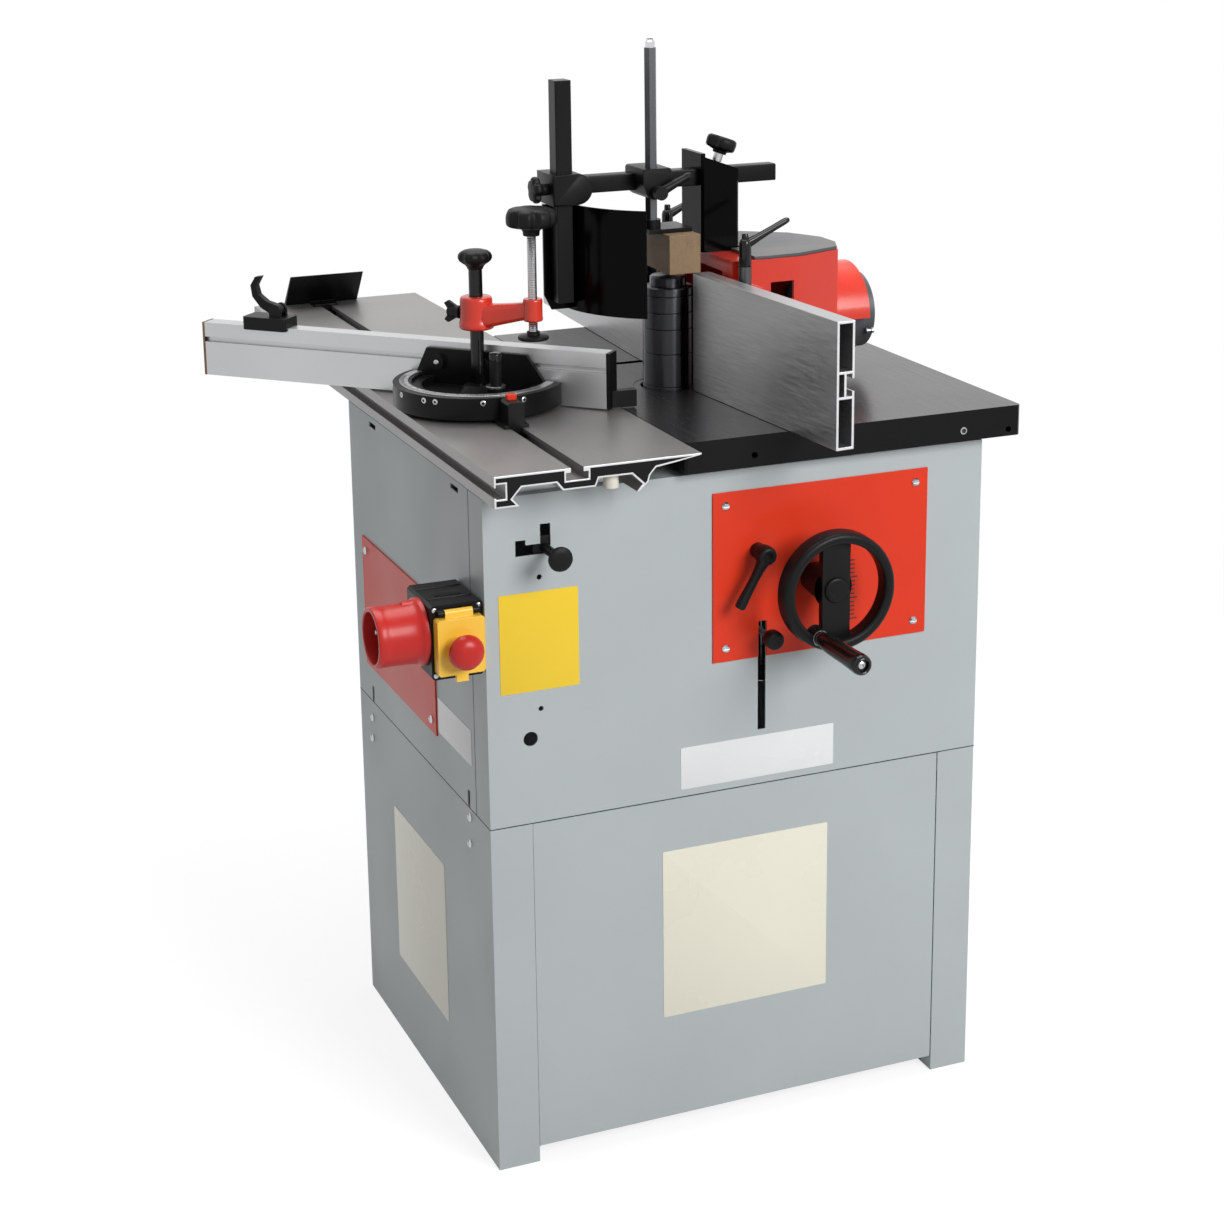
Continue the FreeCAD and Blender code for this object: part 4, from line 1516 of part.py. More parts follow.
def switch_box():
    """Switch housing with hinge lugs and the pin of the flap."""
    body = chamfered(block(SWITCH_X, SWITCH_Y, SWITCH_Z), SWITCH_CHAMFER, Y_WAY)
    front = SWITCH_Y[0]
    heights = (HINGE_Z - HINGE_RADIUS, HINGE_Z + HINGE_RADIUS)
    left = (HINGE_BARREL[0] - SEAT_GAP - HINGE_LUG, HINGE_BARREL[0] - SEAT_GAP)
    right = (HINGE_BARREL[1] + SEAT_GAP, HINGE_BARREL[1] + SEAT_GAP + HINGE_LUG)
    lugs = []
    for limits in (left, right):
        lugs.append(block(limits, (HINGE_Y, front + 1), heights))
        lugs.append(rod_x(HINGE_Y, HINGE_Z, HINGE_RADIUS, limits[0], limits[1]))
    pin = rod_x(HINGE_Y, HINGE_Z, HINGE_PIN_RADIUS, HINGE_BARREL[0] - HINGE_LUG, HINGE_BARREL[1] + HINGE_LUG)
    return joined([body, pin] + lugs)


def switch_flap():
    """Yellow flap over the switch, with the hole for the stop button."""
    back = SWITCH_Y[0] - SEAT_GAP
    wall = FLAP_WALL
    tray = chamfered(block(FLAP_X, (FLAP_FRONT_Y, back), FLAP_Z), FLAP_WALL, Y_WAY)
    inner = block((FLAP_X[0] + wall, FLAP_X[1] - wall), (FLAP_FRONT_Y + wall, back + 1), (FLAP_Z[0] + wall, FLAP_Z[1] - wall))
    boss = rod_y(BUTTON_X, BUTTON_Z, FLAP_BOSS_RADIUS, FLAP_FRONT_Y - FLAP_BOSS_DEPTH, FLAP_FRONT_Y + 1)
    barrel = rod_x(HINGE_Y, HINGE_Z, HINGE_RADIUS, HINGE_BARREL[0], HINGE_BARREL[1])
    web = block(HINGE_BARREL, (HINGE_Y - HINGE_RADIUS, HINGE_Y), (FLAP_Z[1] - 1, HINGE_Z))
    tab = block((BUTTON_X - FLAP_TAB[0] / 2, BUTTON_X + FLAP_TAB[0] / 2), (FLAP_FRONT_Y, FLAP_FRONT_Y + 2 * wall),
                (FLAP_Z[0] - FLAP_TAB[1], FLAP_Z[0] + 1))
    body = joined([tray.cut(inner), boss, barrel, web, tab])
    holes = [rod_y(BUTTON_X, BUTTON_Z, BUTTON_STEM_RADIUS + SEAT_GAP, FLAP_FRONT_Y - FLAP_BOSS_DEPTH - 1, back),
             rod_x(HINGE_Y, HINGE_Z, HINGE_PIN_RADIUS + RUNNING_GAP, HINGE_BARREL[0] - 1, HINGE_BARREL[1] + 1)]
    return without(body, holes)


def stop_button():
    """Red mushroom button with its stem and collar."""
    stem_back = 0
    collar = FLAP_FRONT_Y + FLAP_WALL + SEAT_GAP
    collar_depth = BUTTON_BACK_Y - collar
    base = BUTTON_BACK_Y - BUTTON_BASE_Y
    front = BUTTON_BACK_Y - BUTTON_FRONT_Y
    radius = BUTTON_RADIUS
    return turned(
        ((0, stem_back), (BUTTON_COLLAR_RADIUS, stem_back), (BUTTON_COLLAR_RADIUS, collar_depth),
         (BUTTON_STEM_RADIUS, collar_depth), (BUTTON_STEM_RADIUS, base), (radius - 1, base), (radius, base + 2),
         (radius * 9 / 10, base + (front - base) / 2), (radius * 3 / 5, front - 2), (radius / 4, front), (0, front)),
        V(BUTTON_X, BUTTON_BACK_Y, BUTTON_Z), -Y_WAY)


def inlet():
    """Round power inlet with its contact pins."""
    length = SWITCH_X[0] - INLET_END_X
    floor = length - INLET_CAVITY_DEPTH
    body = turned(
        ((0, 0), (INLET_FLANGE_RADIUS, 0), (INLET_FLANGE_RADIUS, INLET_FLANGE - 2), (INLET_RADIUS, INLET_FLANGE * 2),
         (INLET_RADIUS, length), (INLET_CAVITY_RADIUS, length), (INLET_CAVITY_RADIUS, floor), (0, floor)),
        V(SWITCH_X[0], INLET_Y, INLET_Z), -X_WAY)
    pins = []
    start = SWITCH_X[0] - floor - PIN_LENGTH
    for number in range(PIN_COUNT):
        angle = 2 * math.pi * number / PIN_COUNT
        pins.append(rod_x(INLET_Y + PIN_CIRCLE_RADIUS * math.cos(angle), INLET_Z + PIN_CIRCLE_RADIUS * math.sin(angle),
                          PIN_RADIUS, start, SWITCH_X[0] - floor + 1))
    return joined([body] + pins)


# Every node of the machine

NODES = {
    "base_left_side": base_side(),
    "base_right_side": mirrored(base_side(), X_WAY),
    "base_panels": base_panels(),
    "upper_housing": upper_housing(),
    "access_panel": access_panel(),
    "control_plate": control_plate(),
    "side_plate": side_plate(),
    "cover_screws": cover_screws(),
    "main_table": main_table(),
    "table_ring": table_ring(),
    "slide_rail": slide_rail(),
    "switch_box": switch_box(),
    "switch_flap": switch_flap(),
    "stop_button": stop_button(),
    "inlet": inlet(),
    "lift_frame": lift_frame(),
    "spindle_carriage": spindle_carriage(),
    "spindle_arbor": spindle_arbor(),
    "spacer_collars": spacer_collars(),
    "motor": motor(),
    "motor_shaft": motor_shaft(),
    "drive_belt": drive_belt(),
    "lead_screw": lead_screw(),
    "handwheel": handwheel(),
    "crank_handle": crank_handle(),
    "lift_lock_lever": lift_lock_lever(),
    "tension_knob": tension_knob(),
    "spindle_lock_knob": spindle_lock_knob(),
    "slide_table": slide_table(),
    "slide_pegs": slide_pegs(),
    "edging_shoe": edging_shoe(),
    "mitre_foot": mitre_foot(),
    "mitre_post": mitre_post(),
    "mitre_dial": mitre_dial(),
    "dial_scale": dial_scale(),
    "mitre_fence": mitre_fence(),
    "fence_caps": fence_caps(),
    "post_knob": post_knob(),
    "clamp_arm": clamp_arm(),
    "arm_lock_knob": arm_lock_knob(),
    "clamp_screw": clamp_screw(),
    "clamp_pad": clamp_pad(),
    "stop_block": stop_block(),
    "stop_lever": stop_lever(),
    "hood_shell": hood_shell(),
    "hood_lid": hood_lid(),
    "extraction_spigot": extraction_spigot(),
    "hood_lever_front": hood_lever(FRONT_STUD),
    "hood_lever_rear": hood_lever(REAR_STUD),
    "front_fence": front_fence(),
    "rear_fence": rear_fence(),
    "guard_post": guard_post(),
    "guard_post_knob": guard_post_knob(),
    "guard_bar": guard_bar(),
    "hex_rod": hex_rod(),
    "presser_block": presser_block(),
    "presser_lever": presser_lever(),
    "end_clamp_knob": end_clamp_knob(),
    "guard_upright": guard_upright(),
    "shield": shield(),
}

for name, shape in NODES.items():
    save(name, shape)
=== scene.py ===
"""Looks of the spindle moulder: meshes, finishes, floor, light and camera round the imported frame.

Sizes of the pieces are in millimetres and become metres when a mesh is made. Sizes in the finishes, the
lamps and the stage are in metres.
"""

import json
import logging
import math
from dataclasses import dataclass
from enum import Enum
from typing import Callable, Dict, List, Sequence, Tuple

import bmesh
import bpy
from mathutils import Matrix, Vector

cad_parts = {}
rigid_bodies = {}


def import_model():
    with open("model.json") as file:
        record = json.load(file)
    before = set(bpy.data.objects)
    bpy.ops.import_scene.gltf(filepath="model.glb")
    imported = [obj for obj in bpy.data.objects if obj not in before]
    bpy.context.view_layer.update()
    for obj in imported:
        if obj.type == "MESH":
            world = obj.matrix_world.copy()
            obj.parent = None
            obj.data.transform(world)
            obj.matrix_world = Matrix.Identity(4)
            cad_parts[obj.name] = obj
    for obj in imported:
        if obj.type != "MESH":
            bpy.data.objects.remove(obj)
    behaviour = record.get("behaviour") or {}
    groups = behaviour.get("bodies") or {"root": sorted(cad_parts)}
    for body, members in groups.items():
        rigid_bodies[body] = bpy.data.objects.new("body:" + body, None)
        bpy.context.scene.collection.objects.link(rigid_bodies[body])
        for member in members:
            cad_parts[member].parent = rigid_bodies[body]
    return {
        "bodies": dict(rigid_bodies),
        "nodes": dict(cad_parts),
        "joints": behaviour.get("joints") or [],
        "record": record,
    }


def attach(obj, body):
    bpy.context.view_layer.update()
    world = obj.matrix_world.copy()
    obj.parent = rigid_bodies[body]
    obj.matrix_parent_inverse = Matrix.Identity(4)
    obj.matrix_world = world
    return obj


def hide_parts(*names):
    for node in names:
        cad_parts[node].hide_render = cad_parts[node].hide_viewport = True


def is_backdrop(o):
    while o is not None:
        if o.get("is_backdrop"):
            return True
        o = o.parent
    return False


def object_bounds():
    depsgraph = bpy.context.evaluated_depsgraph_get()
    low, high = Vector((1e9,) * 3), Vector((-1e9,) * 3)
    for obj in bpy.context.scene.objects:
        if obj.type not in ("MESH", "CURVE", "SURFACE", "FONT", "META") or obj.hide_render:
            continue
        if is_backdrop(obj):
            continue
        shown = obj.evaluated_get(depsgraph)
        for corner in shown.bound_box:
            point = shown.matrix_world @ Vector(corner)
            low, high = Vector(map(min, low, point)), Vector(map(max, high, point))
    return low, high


LOG = logging.getLogger("spindle_moulder")
MM = 0.001
# Facets round a turned piece
FACETS = 72
# Tone of the broad darker patches on metal
WIDE_SHADE = 0.94
# Radii in millimetres below which a point counts as on the axis
ON_AXIS = 1e-6
NEAR_AXIS = 1e-3
# Distances in metres at which two points become one
SAME_POINT = 1e-7
WELD_DISTANCE = 0.00001
# Degrees within which neighbouring faces count as flat
FLAT_ANGLE = 0.6
# Share of a side that a rounded corner may take
SHORT_SIDE = 0.48
# Width and steepness of the hollows of a knob, and the degrees from which its edges are sharp
LOBE_WIDTH = 0.25
LOBE_POWER = 1.4
LOBE_SHARP = 50.0
# Least part of a face's normal that points along Y or up
END_FACING = 0.95
TOP_FACING = 0.9
Point2 = Tuple[float, float]
Point3 = Tuple[float, float, float]
Colour = Tuple[float, float, float]
Thing = bpy.types.Object
Tree = bpy.types.NodeTree
Node = bpy.types.Node
Socket = bpy.types.NodeSocket
Material = bpy.types.Material


class Axis(Enum):
    """Directions that pieces are turned or drawn out along."""

    X = (1.0, 0.0, 0.0)
    Y = (0.0, 1.0, 0.0)
    Z = (0.0, 0.0, 1.0)
    LEFT = (-1.0, 0.0, 0.0)
    FRONT = (0.0, -1.0, 0.0)


class Along(Enum):
    """Object direction that brushed and sawn lines follow."""

    X = 0
    Y = 1
    Z = 2


def srgb(code: str) -> Colour:
    """Turn a six-digit hex colour into linear values.

    Args:
        code: Colour as it looks on a screen, such as "B4BABC".

    Returns:
        The linear red, green and blue.
    """
    parts = [int(code[start:start + 2], 16) / 255 for start in (0, 2, 4)]
    linear = [part / 12.92 if part <= 0.04045 else ((part + 0.055) / 1.055) ** 2.4 for part in parts]
    return (linear[0], linear[1], linear[2])


def wire(tree: Tree, *links: Tuple[Socket, Socket]) -> None:
    """Link pairs of node sockets.

    Args:
        tree: Node tree that they are in.
        links: Output and input socket of each link.
    """
    for source, target in links:
        tree.links.new(source, target)


def operator_node(tree: Tree, kind: str, operation: str) -> Node:
    """Add a node that calculates.

    Args:
        tree: Node tree that it goes in.
        kind: Type of the node.
        operation: What it calculates.

    Returns:
        The new node.
    """
    node = tree.nodes.new(kind)
    node.operation = operation
    return node


def ramp_node(tree: Tree, low: float, high: float) -> Node:
    """Add a map range node from two limits to zero and one.

    Args:
        tree: Node tree that it goes in.
        low: Value that becomes zero.
        high: Value that becomes one.

    Returns:
        The new node.
    """
    node = tree.nodes.new("ShaderNodeMapRange")
    node.inputs["From Min"].default_value = low
    node.inputs["From Max"].default_value = high
    return node


COAT_DUST = srgb("B8A488")
METAL_DUST = srgb("B09A7C")


class EffectGroups:
    """Shader node groups that several finishes share."""

    def __init__(self) -> None:
        """Build every group once."""
        self.grain = self._grain()
        self.lines = self._lines()
        self.edges = self._edges()
        self.dust = self._dust()

    @staticmethod
    def _group(name: str, inputs: Sequence[Tuple[str, float]], outputs: Sequence[str]) -> Tree:
        """Start a group with value sockets.

        Args:
            name: Name of the group.
            inputs: Names and starting values of its inputs.
            outputs: Names of its outputs.

        Returns:
            The group, with its input and output nodes placed.
        """
        group = bpy.data.node_groups.new(name, "ShaderNodeTree")
        for label, value in inputs:
            socket = group.interface.new_socket(label, in_out="INPUT", socket_type="NodeSocketFloat")
            socket.default_value = value
        for label in outputs:
            group.interface.new_socket(label, in_out="OUTPUT", socket_type="NodeSocketFloat")
        group.nodes.new("NodeGroupInput").name = "in"
        group.nodes.new("NodeGroupOutput").name = "out"
        return group

    @staticmethod
    def _noise(group: Tree, detail: float) -> Node:
        """Add a noise texture that reads object coordinates.

        Args:
            group: Group that it goes in.
            detail: Number of finer layers.

        Returns:
            The noise node.
        """
        coords = group.nodes.new("ShaderNodeTexCoord")
        noise = group.nodes.new("ShaderNodeTexNoise")
        noise.inputs["Detail"].default_value = detail
        group.links.new(coords.outputs["Object"], noise.inputs["Vector"])
        return noise

    def _grain(self) -> Tree:
        """Fine bumps and slow changes of tone for paint, castings and plastic.

        Returns:
            The finished group.
        """
        inputs = (("Fine Scale", 900.0), ("Broad Scale", 9.0))
        group = self._group("surface_grain", inputs, ("Height", "Tone"))
        fine = self._noise(group, detail=2.0)
        broad = self._noise(group, detail=4.0)
        tone = ramp_node(group, low=0.3, high=0.7)
        source = group.nodes["in"]
        target = group.nodes["out"]
        wire(group, (source.outputs["Fine Scale"], fine.inputs["Scale"]),
             (source.outputs["Broad Scale"], broad.inputs["Scale"]),
             (fine.outputs["Fac"], target.inputs["Height"]),
             (broad.outputs["Fac"], tone.inputs["Value"]),
             (tone.outputs["Result"], target.inputs["Tone"]))
        return group

    def _lines(self) -> Tree:
        """Long fine lines of brushing, sawing or planing; the stretch sets their direction.

        Returns:
            The finished group.
        """
        inputs = (("Across X", 1.0), ("Across Y", 1.0), ("Across Z", 1.0))
        group = self._group("tool_lines", inputs, ("Height", "Tone"))
        coords = group.nodes.new("ShaderNodeTexCoord")
        stretch = group.nodes.new("ShaderNodeCombineXYZ")
        scaled = operator_node(group, "ShaderNodeVectorMath", "MULTIPLY")
        noise = group.nodes.new("ShaderNodeTexNoise")
        noise.inputs["Scale"].default_value = 1.0
        noise.inputs["Detail"].default_value = 6.0
        noise.inputs["Roughness"].default_value = 0.7
        tone = ramp_node(group, low=0.35, high=0.65)
        source = group.nodes["in"]
        target = group.nodes["out"]
        for letter in "XYZ":
            group.links.new(source.outputs["Across " + letter], stretch.inputs[letter])
        wire(group, (coords.outputs["Object"], scaled.inputs[0]),
             (stretch.outputs["Vector"], scaled.inputs[1]),
             (scaled.outputs["Vector"], noise.inputs["Vector"]),
             (noise.outputs["Fac"], target.inputs["Height"]),
             (noise.outputs["Fac"], tone.inputs["Value"]),
             (tone.outputs["Result"], target.inputs["Tone"]))
        return group

    def _edges(self) -> Tree:
        """Mask of rubbed edges, broken up by noise; under a light edge colour it also paints highlights on
        the edges.

        Returns:
            The finished group.
        """
        group = self._group("edge_wear_and_highlight", (("Width", 0.001), ("Breakup", 60.0)), ("Mask",))
        bevel = group.nodes.new("ShaderNodeBevel")
        bevel.samples = 4
        geometry = group.nodes.new("ShaderNodeNewGeometry")
        dot = operator_node(group, "ShaderNodeVectorMath", "DOT_PRODUCT")
        turn = ramp_node(group, low=0.98, high=0.80)
        noise = self._noise(group, detail=5.0)
        patches = ramp_node(group, low=0.45, high=0.65)
        mask = operator_node(group, "ShaderNodeMath", "MULTIPLY")
        source = group.nodes["in"]
        wire(group, (source.outputs["Width"], bevel.inputs["Radius"]),
             (source.outputs["Breakup"], noise.inputs["Scale"]),
             (bevel.outputs["Normal"], dot.inputs[0]),
             (geometry.outputs["Normal"], dot.inputs[1]),
             (dot.outputs["Value"], turn.inputs["Value"]),
             (noise.outputs["Fac"], patches.inputs["Value"]),
             (turn.outputs["Result"], mask.inputs[0]),
             (patches.outputs["Result"], mask.inputs[1]),
             (mask.outputs["Value"], group.nodes["out"].inputs["Mask"]))
        return group

    def _dust(self) -> Tree:
        """Mask of fine dust on faces that look up.

        Returns:
            The finished group.
        """
        group = self._group("settled_dust", (("Amount", 0.2), ("Scale", 14.0)), ("Mask",))
        geometry = group.nodes.new("ShaderNodeNewGeometry")
        split = group.nodes.new("ShaderNodeSeparateXYZ")
        upward = ramp_node(group, low=0.6, high=1.0)
        noise = self._noise(group, detail=6.0)
        patches = ramp_node(group, low=0.4, high=0.75)
        both = operator_node(group, "ShaderNodeMath", "MULTIPLY")
        amount = operator_node(group, "ShaderNodeMath", "MULTIPLY")
        source = group.nodes["in"]
        wire(group, (geometry.outputs["Normal"], split.inputs["Vector"]),
             (split.outputs["Z"], upward.inputs["Value"]),
             (source.outputs["Scale"], noise.inputs["Scale"]),
             (noise.outputs["Fac"], patches.inputs["Value"]),
             (upward.outputs["Result"], both.inputs[0]),
             (patches.outputs["Result"], both.inputs[1]),
             (both.outputs["Value"], amount.inputs[0]),
             (source.outputs["Amount"], amount.inputs[1]),
             (amount.outputs["Value"], group.nodes["out"].inputs["Mask"]))
        return group


class MaterialSheet:
    """One material while its nodes are put together."""

    def __init__(self, name: str) -> None:
        """Start a material with a Principled shader.

        Args:
            name: Name of the material.
        """
        self.material = bpy.data.materials.new(name)
        self.material.use_nodes = True
        self.tree = self.material.node_tree
        self.shader = self.tree.nodes["Principled BSDF"]

    def effect(self, group: Tree, **values: float) -> Node:
        """Place a shared effect.

        Args:
            group: The node group.
            values: Input values, with underscores for the spaces in their names.

        Returns:
            The placed group node.
        """
        node = self.tree.nodes.new("ShaderNodeGroup")
        node.node_tree = group
        for label, value in values.items():
            node.inputs[label.replace("_", " ")].default_value = value
        return node

    def blend(self, factor: Socket, first: object, second: object) -> Socket:
        """Mix two colours, each a colour or a socket.

        Args:
            factor: Socket that runs from the first to the second.
            first: Colour or socket at zero.
            second: Colour or socket at one.

        Returns:
            The mixed colour socket.
        """
        node = self.tree.nodes.new("ShaderNodeMix")
        node.data_type = "RGBA"
        self.tree.links.new(factor, node.inputs[0])
        for index, value in ((6, first), (7, second)):
            if isinstance(value, Socket):
                self.tree.links.new(value, node.inputs[index])
            else:
                node.inputs[index].default_value = (*value, 1.0)
        return node.outputs[2]

    def spread(self, factor: Socket, low: float, high: float) -> Socket:
        """Map a value from zero and one to two limits.

        Args:
            factor: Socket with the value.
            low: Result at zero.
            high: Result at one.

        Returns:
            The socket of the result.
        """
        node = self.tree.nodes.new("ShaderNodeMapRange")
        node.inputs["To Min"].default_value = low
        node.inputs["To Max"].default_value = high
        self.tree.links.new(factor, node.inputs["Value"])
        return node.outputs["Result"]

    def bump(self, height: Socket, strength: float, distance: float) -> None:
        """Feed a height into the shader's normal.

        Args:
            height: Height socket.
            strength: Strength of the bump.
            distance: Depth of the bump in metres.
        """
        node = self.tree.nodes.new("ShaderNodeBump")
        node.inputs["Strength"].default_value = strength
        node.inputs["Distance"].default_value = distance
        wire(self.tree, (height, node.inputs["Height"]),
             (node.outputs["Normal"], self.shader.inputs["Normal"]))

    def feed(self, name: str, socket: Socket) -> None:
        """Link a socket to a shader input."""
        self.tree.links.new(socket, self.shader.inputs[name])

    def set(self, **values: object) -> None:
        """Set shader inputs to fixed values, with underscores for the spaces in their names."""
        for label, value in values.items():
            self.shader.inputs[label.replace("_", " ")].default_value = value


def shade(colour: Colour, factor: float) -> Colour:
    """A colour made darker or lighter by a factor, kept within range."""
    return (min(colour[0] * factor, 1.0), min(colour[1] * factor, 1.0), min(colour[2] * factor, 1.0))


@dataclass(frozen=True)
class CoatFinish:
    """Paint, powder coat or moulded plastic: a coloured skin with grain, wear, dust and, for black paint,
    painted edge highlights.

    Attributes:
        colour: Linear colour of the skin.
        worn_and_highlight: Linear colour that shows on rubbed edges; for black paint it is raised past wear
            to paint a bright highlight along folded edges.
        rough: Lowest and highest roughness.
        grain_scale: Fineness of the grain.
        grain_depth: Depth of the grain in metres.
        wear: Width of the rubbed edge in metres.
        dust: Amount of dust on faces that look up.
        coat: Weight of a clear gloss layer.
        change: Share by which the tone wanders.
        gloss: Strength of the mirror-like share, where 0.5 is plain plastic.
    """

    colour: Colour
    worn_and_highlight: Colour
    rough: Point2 = (0.35, 0.5)
    grain_scale: float = 900.0
    grain_depth: float = 0.00008
    wear: float = 0.0008
    dust: float = 0.1
    coat: float = 0.0
    change: float = 0.05
    gloss: float = 0.5

    def build(self, name: str, groups: EffectGroups) -> Material:
        """Make the material.

        Args:
            name: Name of the material.
            groups: The shared effects.

        Returns:
            The finished material.
        """
        sheet = MaterialSheet(name)
        grain = sheet.effect(groups.grain, Fine_Scale=self.grain_scale, Broad_Scale=7.0)
        edges = sheet.effect(groups.edges, Width=self.wear, Breakup=45.0)
        dust = sheet.effect(groups.dust, Amount=self.dust, Scale=16.0)
        low = shade(self.colour, 1 - self.change)
        tone = sheet.blend(grain.outputs["Tone"], low, shade(self.colour, 1 + self.change))
        # On rubbed edges the edge colour shows: wear, and for black paint also a painted highlight
        rubbed = sheet.blend(edges.outputs["Mask"], tone, self.worn_and_highlight)
        sheet.feed("Base Color", sheet.blend(dust.outputs["Mask"], rubbed, COAT_DUST))
        sheet.feed("Roughness", sheet.spread(grain.outputs["Tone"], self.rough[0], self.rough[1]))
        sheet.bump(grain.outputs["Height"], strength=0.5, distance=self.grain_depth)
        sheet.set(Coat_Weight=self.coat, Coat_Roughness=0.12, Specular_IOR_Level=self.gloss)
        return sheet.material


@dataclass(frozen=True)
class MetalFinish:
    """Bare metal with tool lines along one direction.

    Attributes:
        colour: Linear colour of the metal.
        along: Direction of the lines.
        rough: Lowest and highest roughness.
        fineness: Lines per metre, roughly.
        depth: Depth of the lines in metres.
        metallic: How far the surface is bare metal.
        contrast: Share by which the lines change the tone.
        dust: Amount of dust on faces that look up.
        turned: How far highlights stretch across the lathe lines of a turned piece.
        stretch: How many times longer than wide the lines are.
    """

    colour: Colour
    along: Along = Along.Y
    rough: Point2 = (0.25, 0.4)
    fineness: float = 900.0
    depth: float = 0.00004
    metallic: float = 1.0
    contrast: float = 0.12
    dust: float = 0.0
    turned: float = 0.0
    stretch: float = 60.0

    def build(self, name: str, groups: EffectGroups) -> Material:
        """Make the material.

        Args:
            name: Name of the material.
            groups: The shared effects.

        Returns:
            The finished material.
        """
        sheet = MaterialSheet(name)
        across = [self.fineness] * 3
        across[self.along.value] = self.fineness / self.stretch
        lines = sheet.effect(groups.lines, Across_X=across[0], Across_Y=across[1], Across_Z=across[2])
        grain = sheet.effect(groups.grain, Fine_Scale=400.0, Broad_Scale=6.0)
        dust = sheet.effect(groups.dust, Amount=self.dust, Scale=12.0)
        low = shade(self.colour, 1 - self.contrast)
        tone = sheet.blend(lines.outputs["Tone"], low, shade(self.colour, 1 + self.contrast))
        wide = sheet.blend(grain.outputs["Tone"], shade(self.colour, WIDE_SHADE), tone)
        sheet.feed("Base Color", sheet.blend(dust.outputs["Mask"], wide, METAL_DUST))
        sheet.feed("Roughness", sheet.spread(lines.outputs["Tone"], self.rough[0], self.rough[1]))
        sheet.bump(lines.outputs["Height"], strength=0.6, distance=self.depth)
        sheet.set(Metallic=self.metallic, Anisotropic=self.turned, Anisotropic_Rotation=0.25)
        return sheet.material


@dataclass(frozen=True)
class WoodFinish:
    """Planed wood with growth lines along one direction.

    Attributes:
        light: Linear colour of the early wood.
        dark: Linear colour of the growth lines.
    """

    light: Colour
    dark: Colour

    def build(self, name: str, groups: EffectGroups) -> Material:
        """Make the material.

        Args:
            name: Name of the material.
            groups: The shared effects.

        Returns:
            The finished material.
        """
        sheet = MaterialSheet(name)
        rings = sheet.effect(groups.lines, Across_X=260.0, Across_Y=9.0, Across_Z=170.0)
        pores = sheet.effect(groups.lines, Across_X=2600.0, Across_Y=60.0, Across_Z=2600.0)
        grain = sheet.blend(rings.outputs["Tone"], self.dark, self.light)
        wander = sheet.effect(groups.grain, Fine_Scale=300.0, Broad_Scale=20.0)
        sheet.feed("Base Color", sheet.blend(wander.outputs["Tone"], grain, self.light))
        sheet.feed("Roughness", sheet.spread(rings.outputs["Tone"], 0.55, 0.7))
        sheet.bump(pores.outputs["Height"], strength=0.5, distance=0.0001)
        return sheet.material


class Skin(Enum):
    """Every finish on the machine."""

    CABINET = "cabinet_powder_coat"
    RED_PAINT = "red_gloss_paint"
    RED_CAST = "red_cast_paint"
    TABLE_TOP = "planed_table_top"
    CASTING = "raw_casting"
    ANODISED = "grey_anodised"
    FENCE = "brushed_aluminium"
    SAWN_END = "sawn_aluminium_end"
    CHROME = "ground_chrome"
    STEEL = "bright_steel"
    BLACK_PLASTIC_AND_VOID_SHADE = "black_moulded_plastic_and_void_shade"
    BLACK_GLOSS = "black_gloss_plastic"
    BLACK_METAL = "black_semi_gloss_paint"
    LID = "dark_lid_paint"
    RED_PLASTIC = "red_moulded_plastic"
    YELLOW_PLASTIC = "yellow_moulded_plastic"
    NYLON = "white_nylon"
    MOTOR = "motor_paint"
    RUBBER_AND_GAP_SHADOW = "belt_rubber"
    WOOD = "planed_beech"
    WOOD_EDGE = "brown_wood_edge"
    COLLAR = "collar_steel_painted_dark_reflection"
    DARK_STEEL = "dark_drawn_steel"
    SMOOTH_ALLOY = "smooth_anodised_alloy"
    SHIELD = "black_shield_sheet"
    PLATE_CREAM = "bare_cream_plate"
    PLATE_YELLOW = "bare_yellow_plate"
    PLATE_WHITE = "bare_white_plate"
    SCALE = "scale_ring"
    INK_AND_SOCKET_SHADE = "black_ink_and_socket_shade"


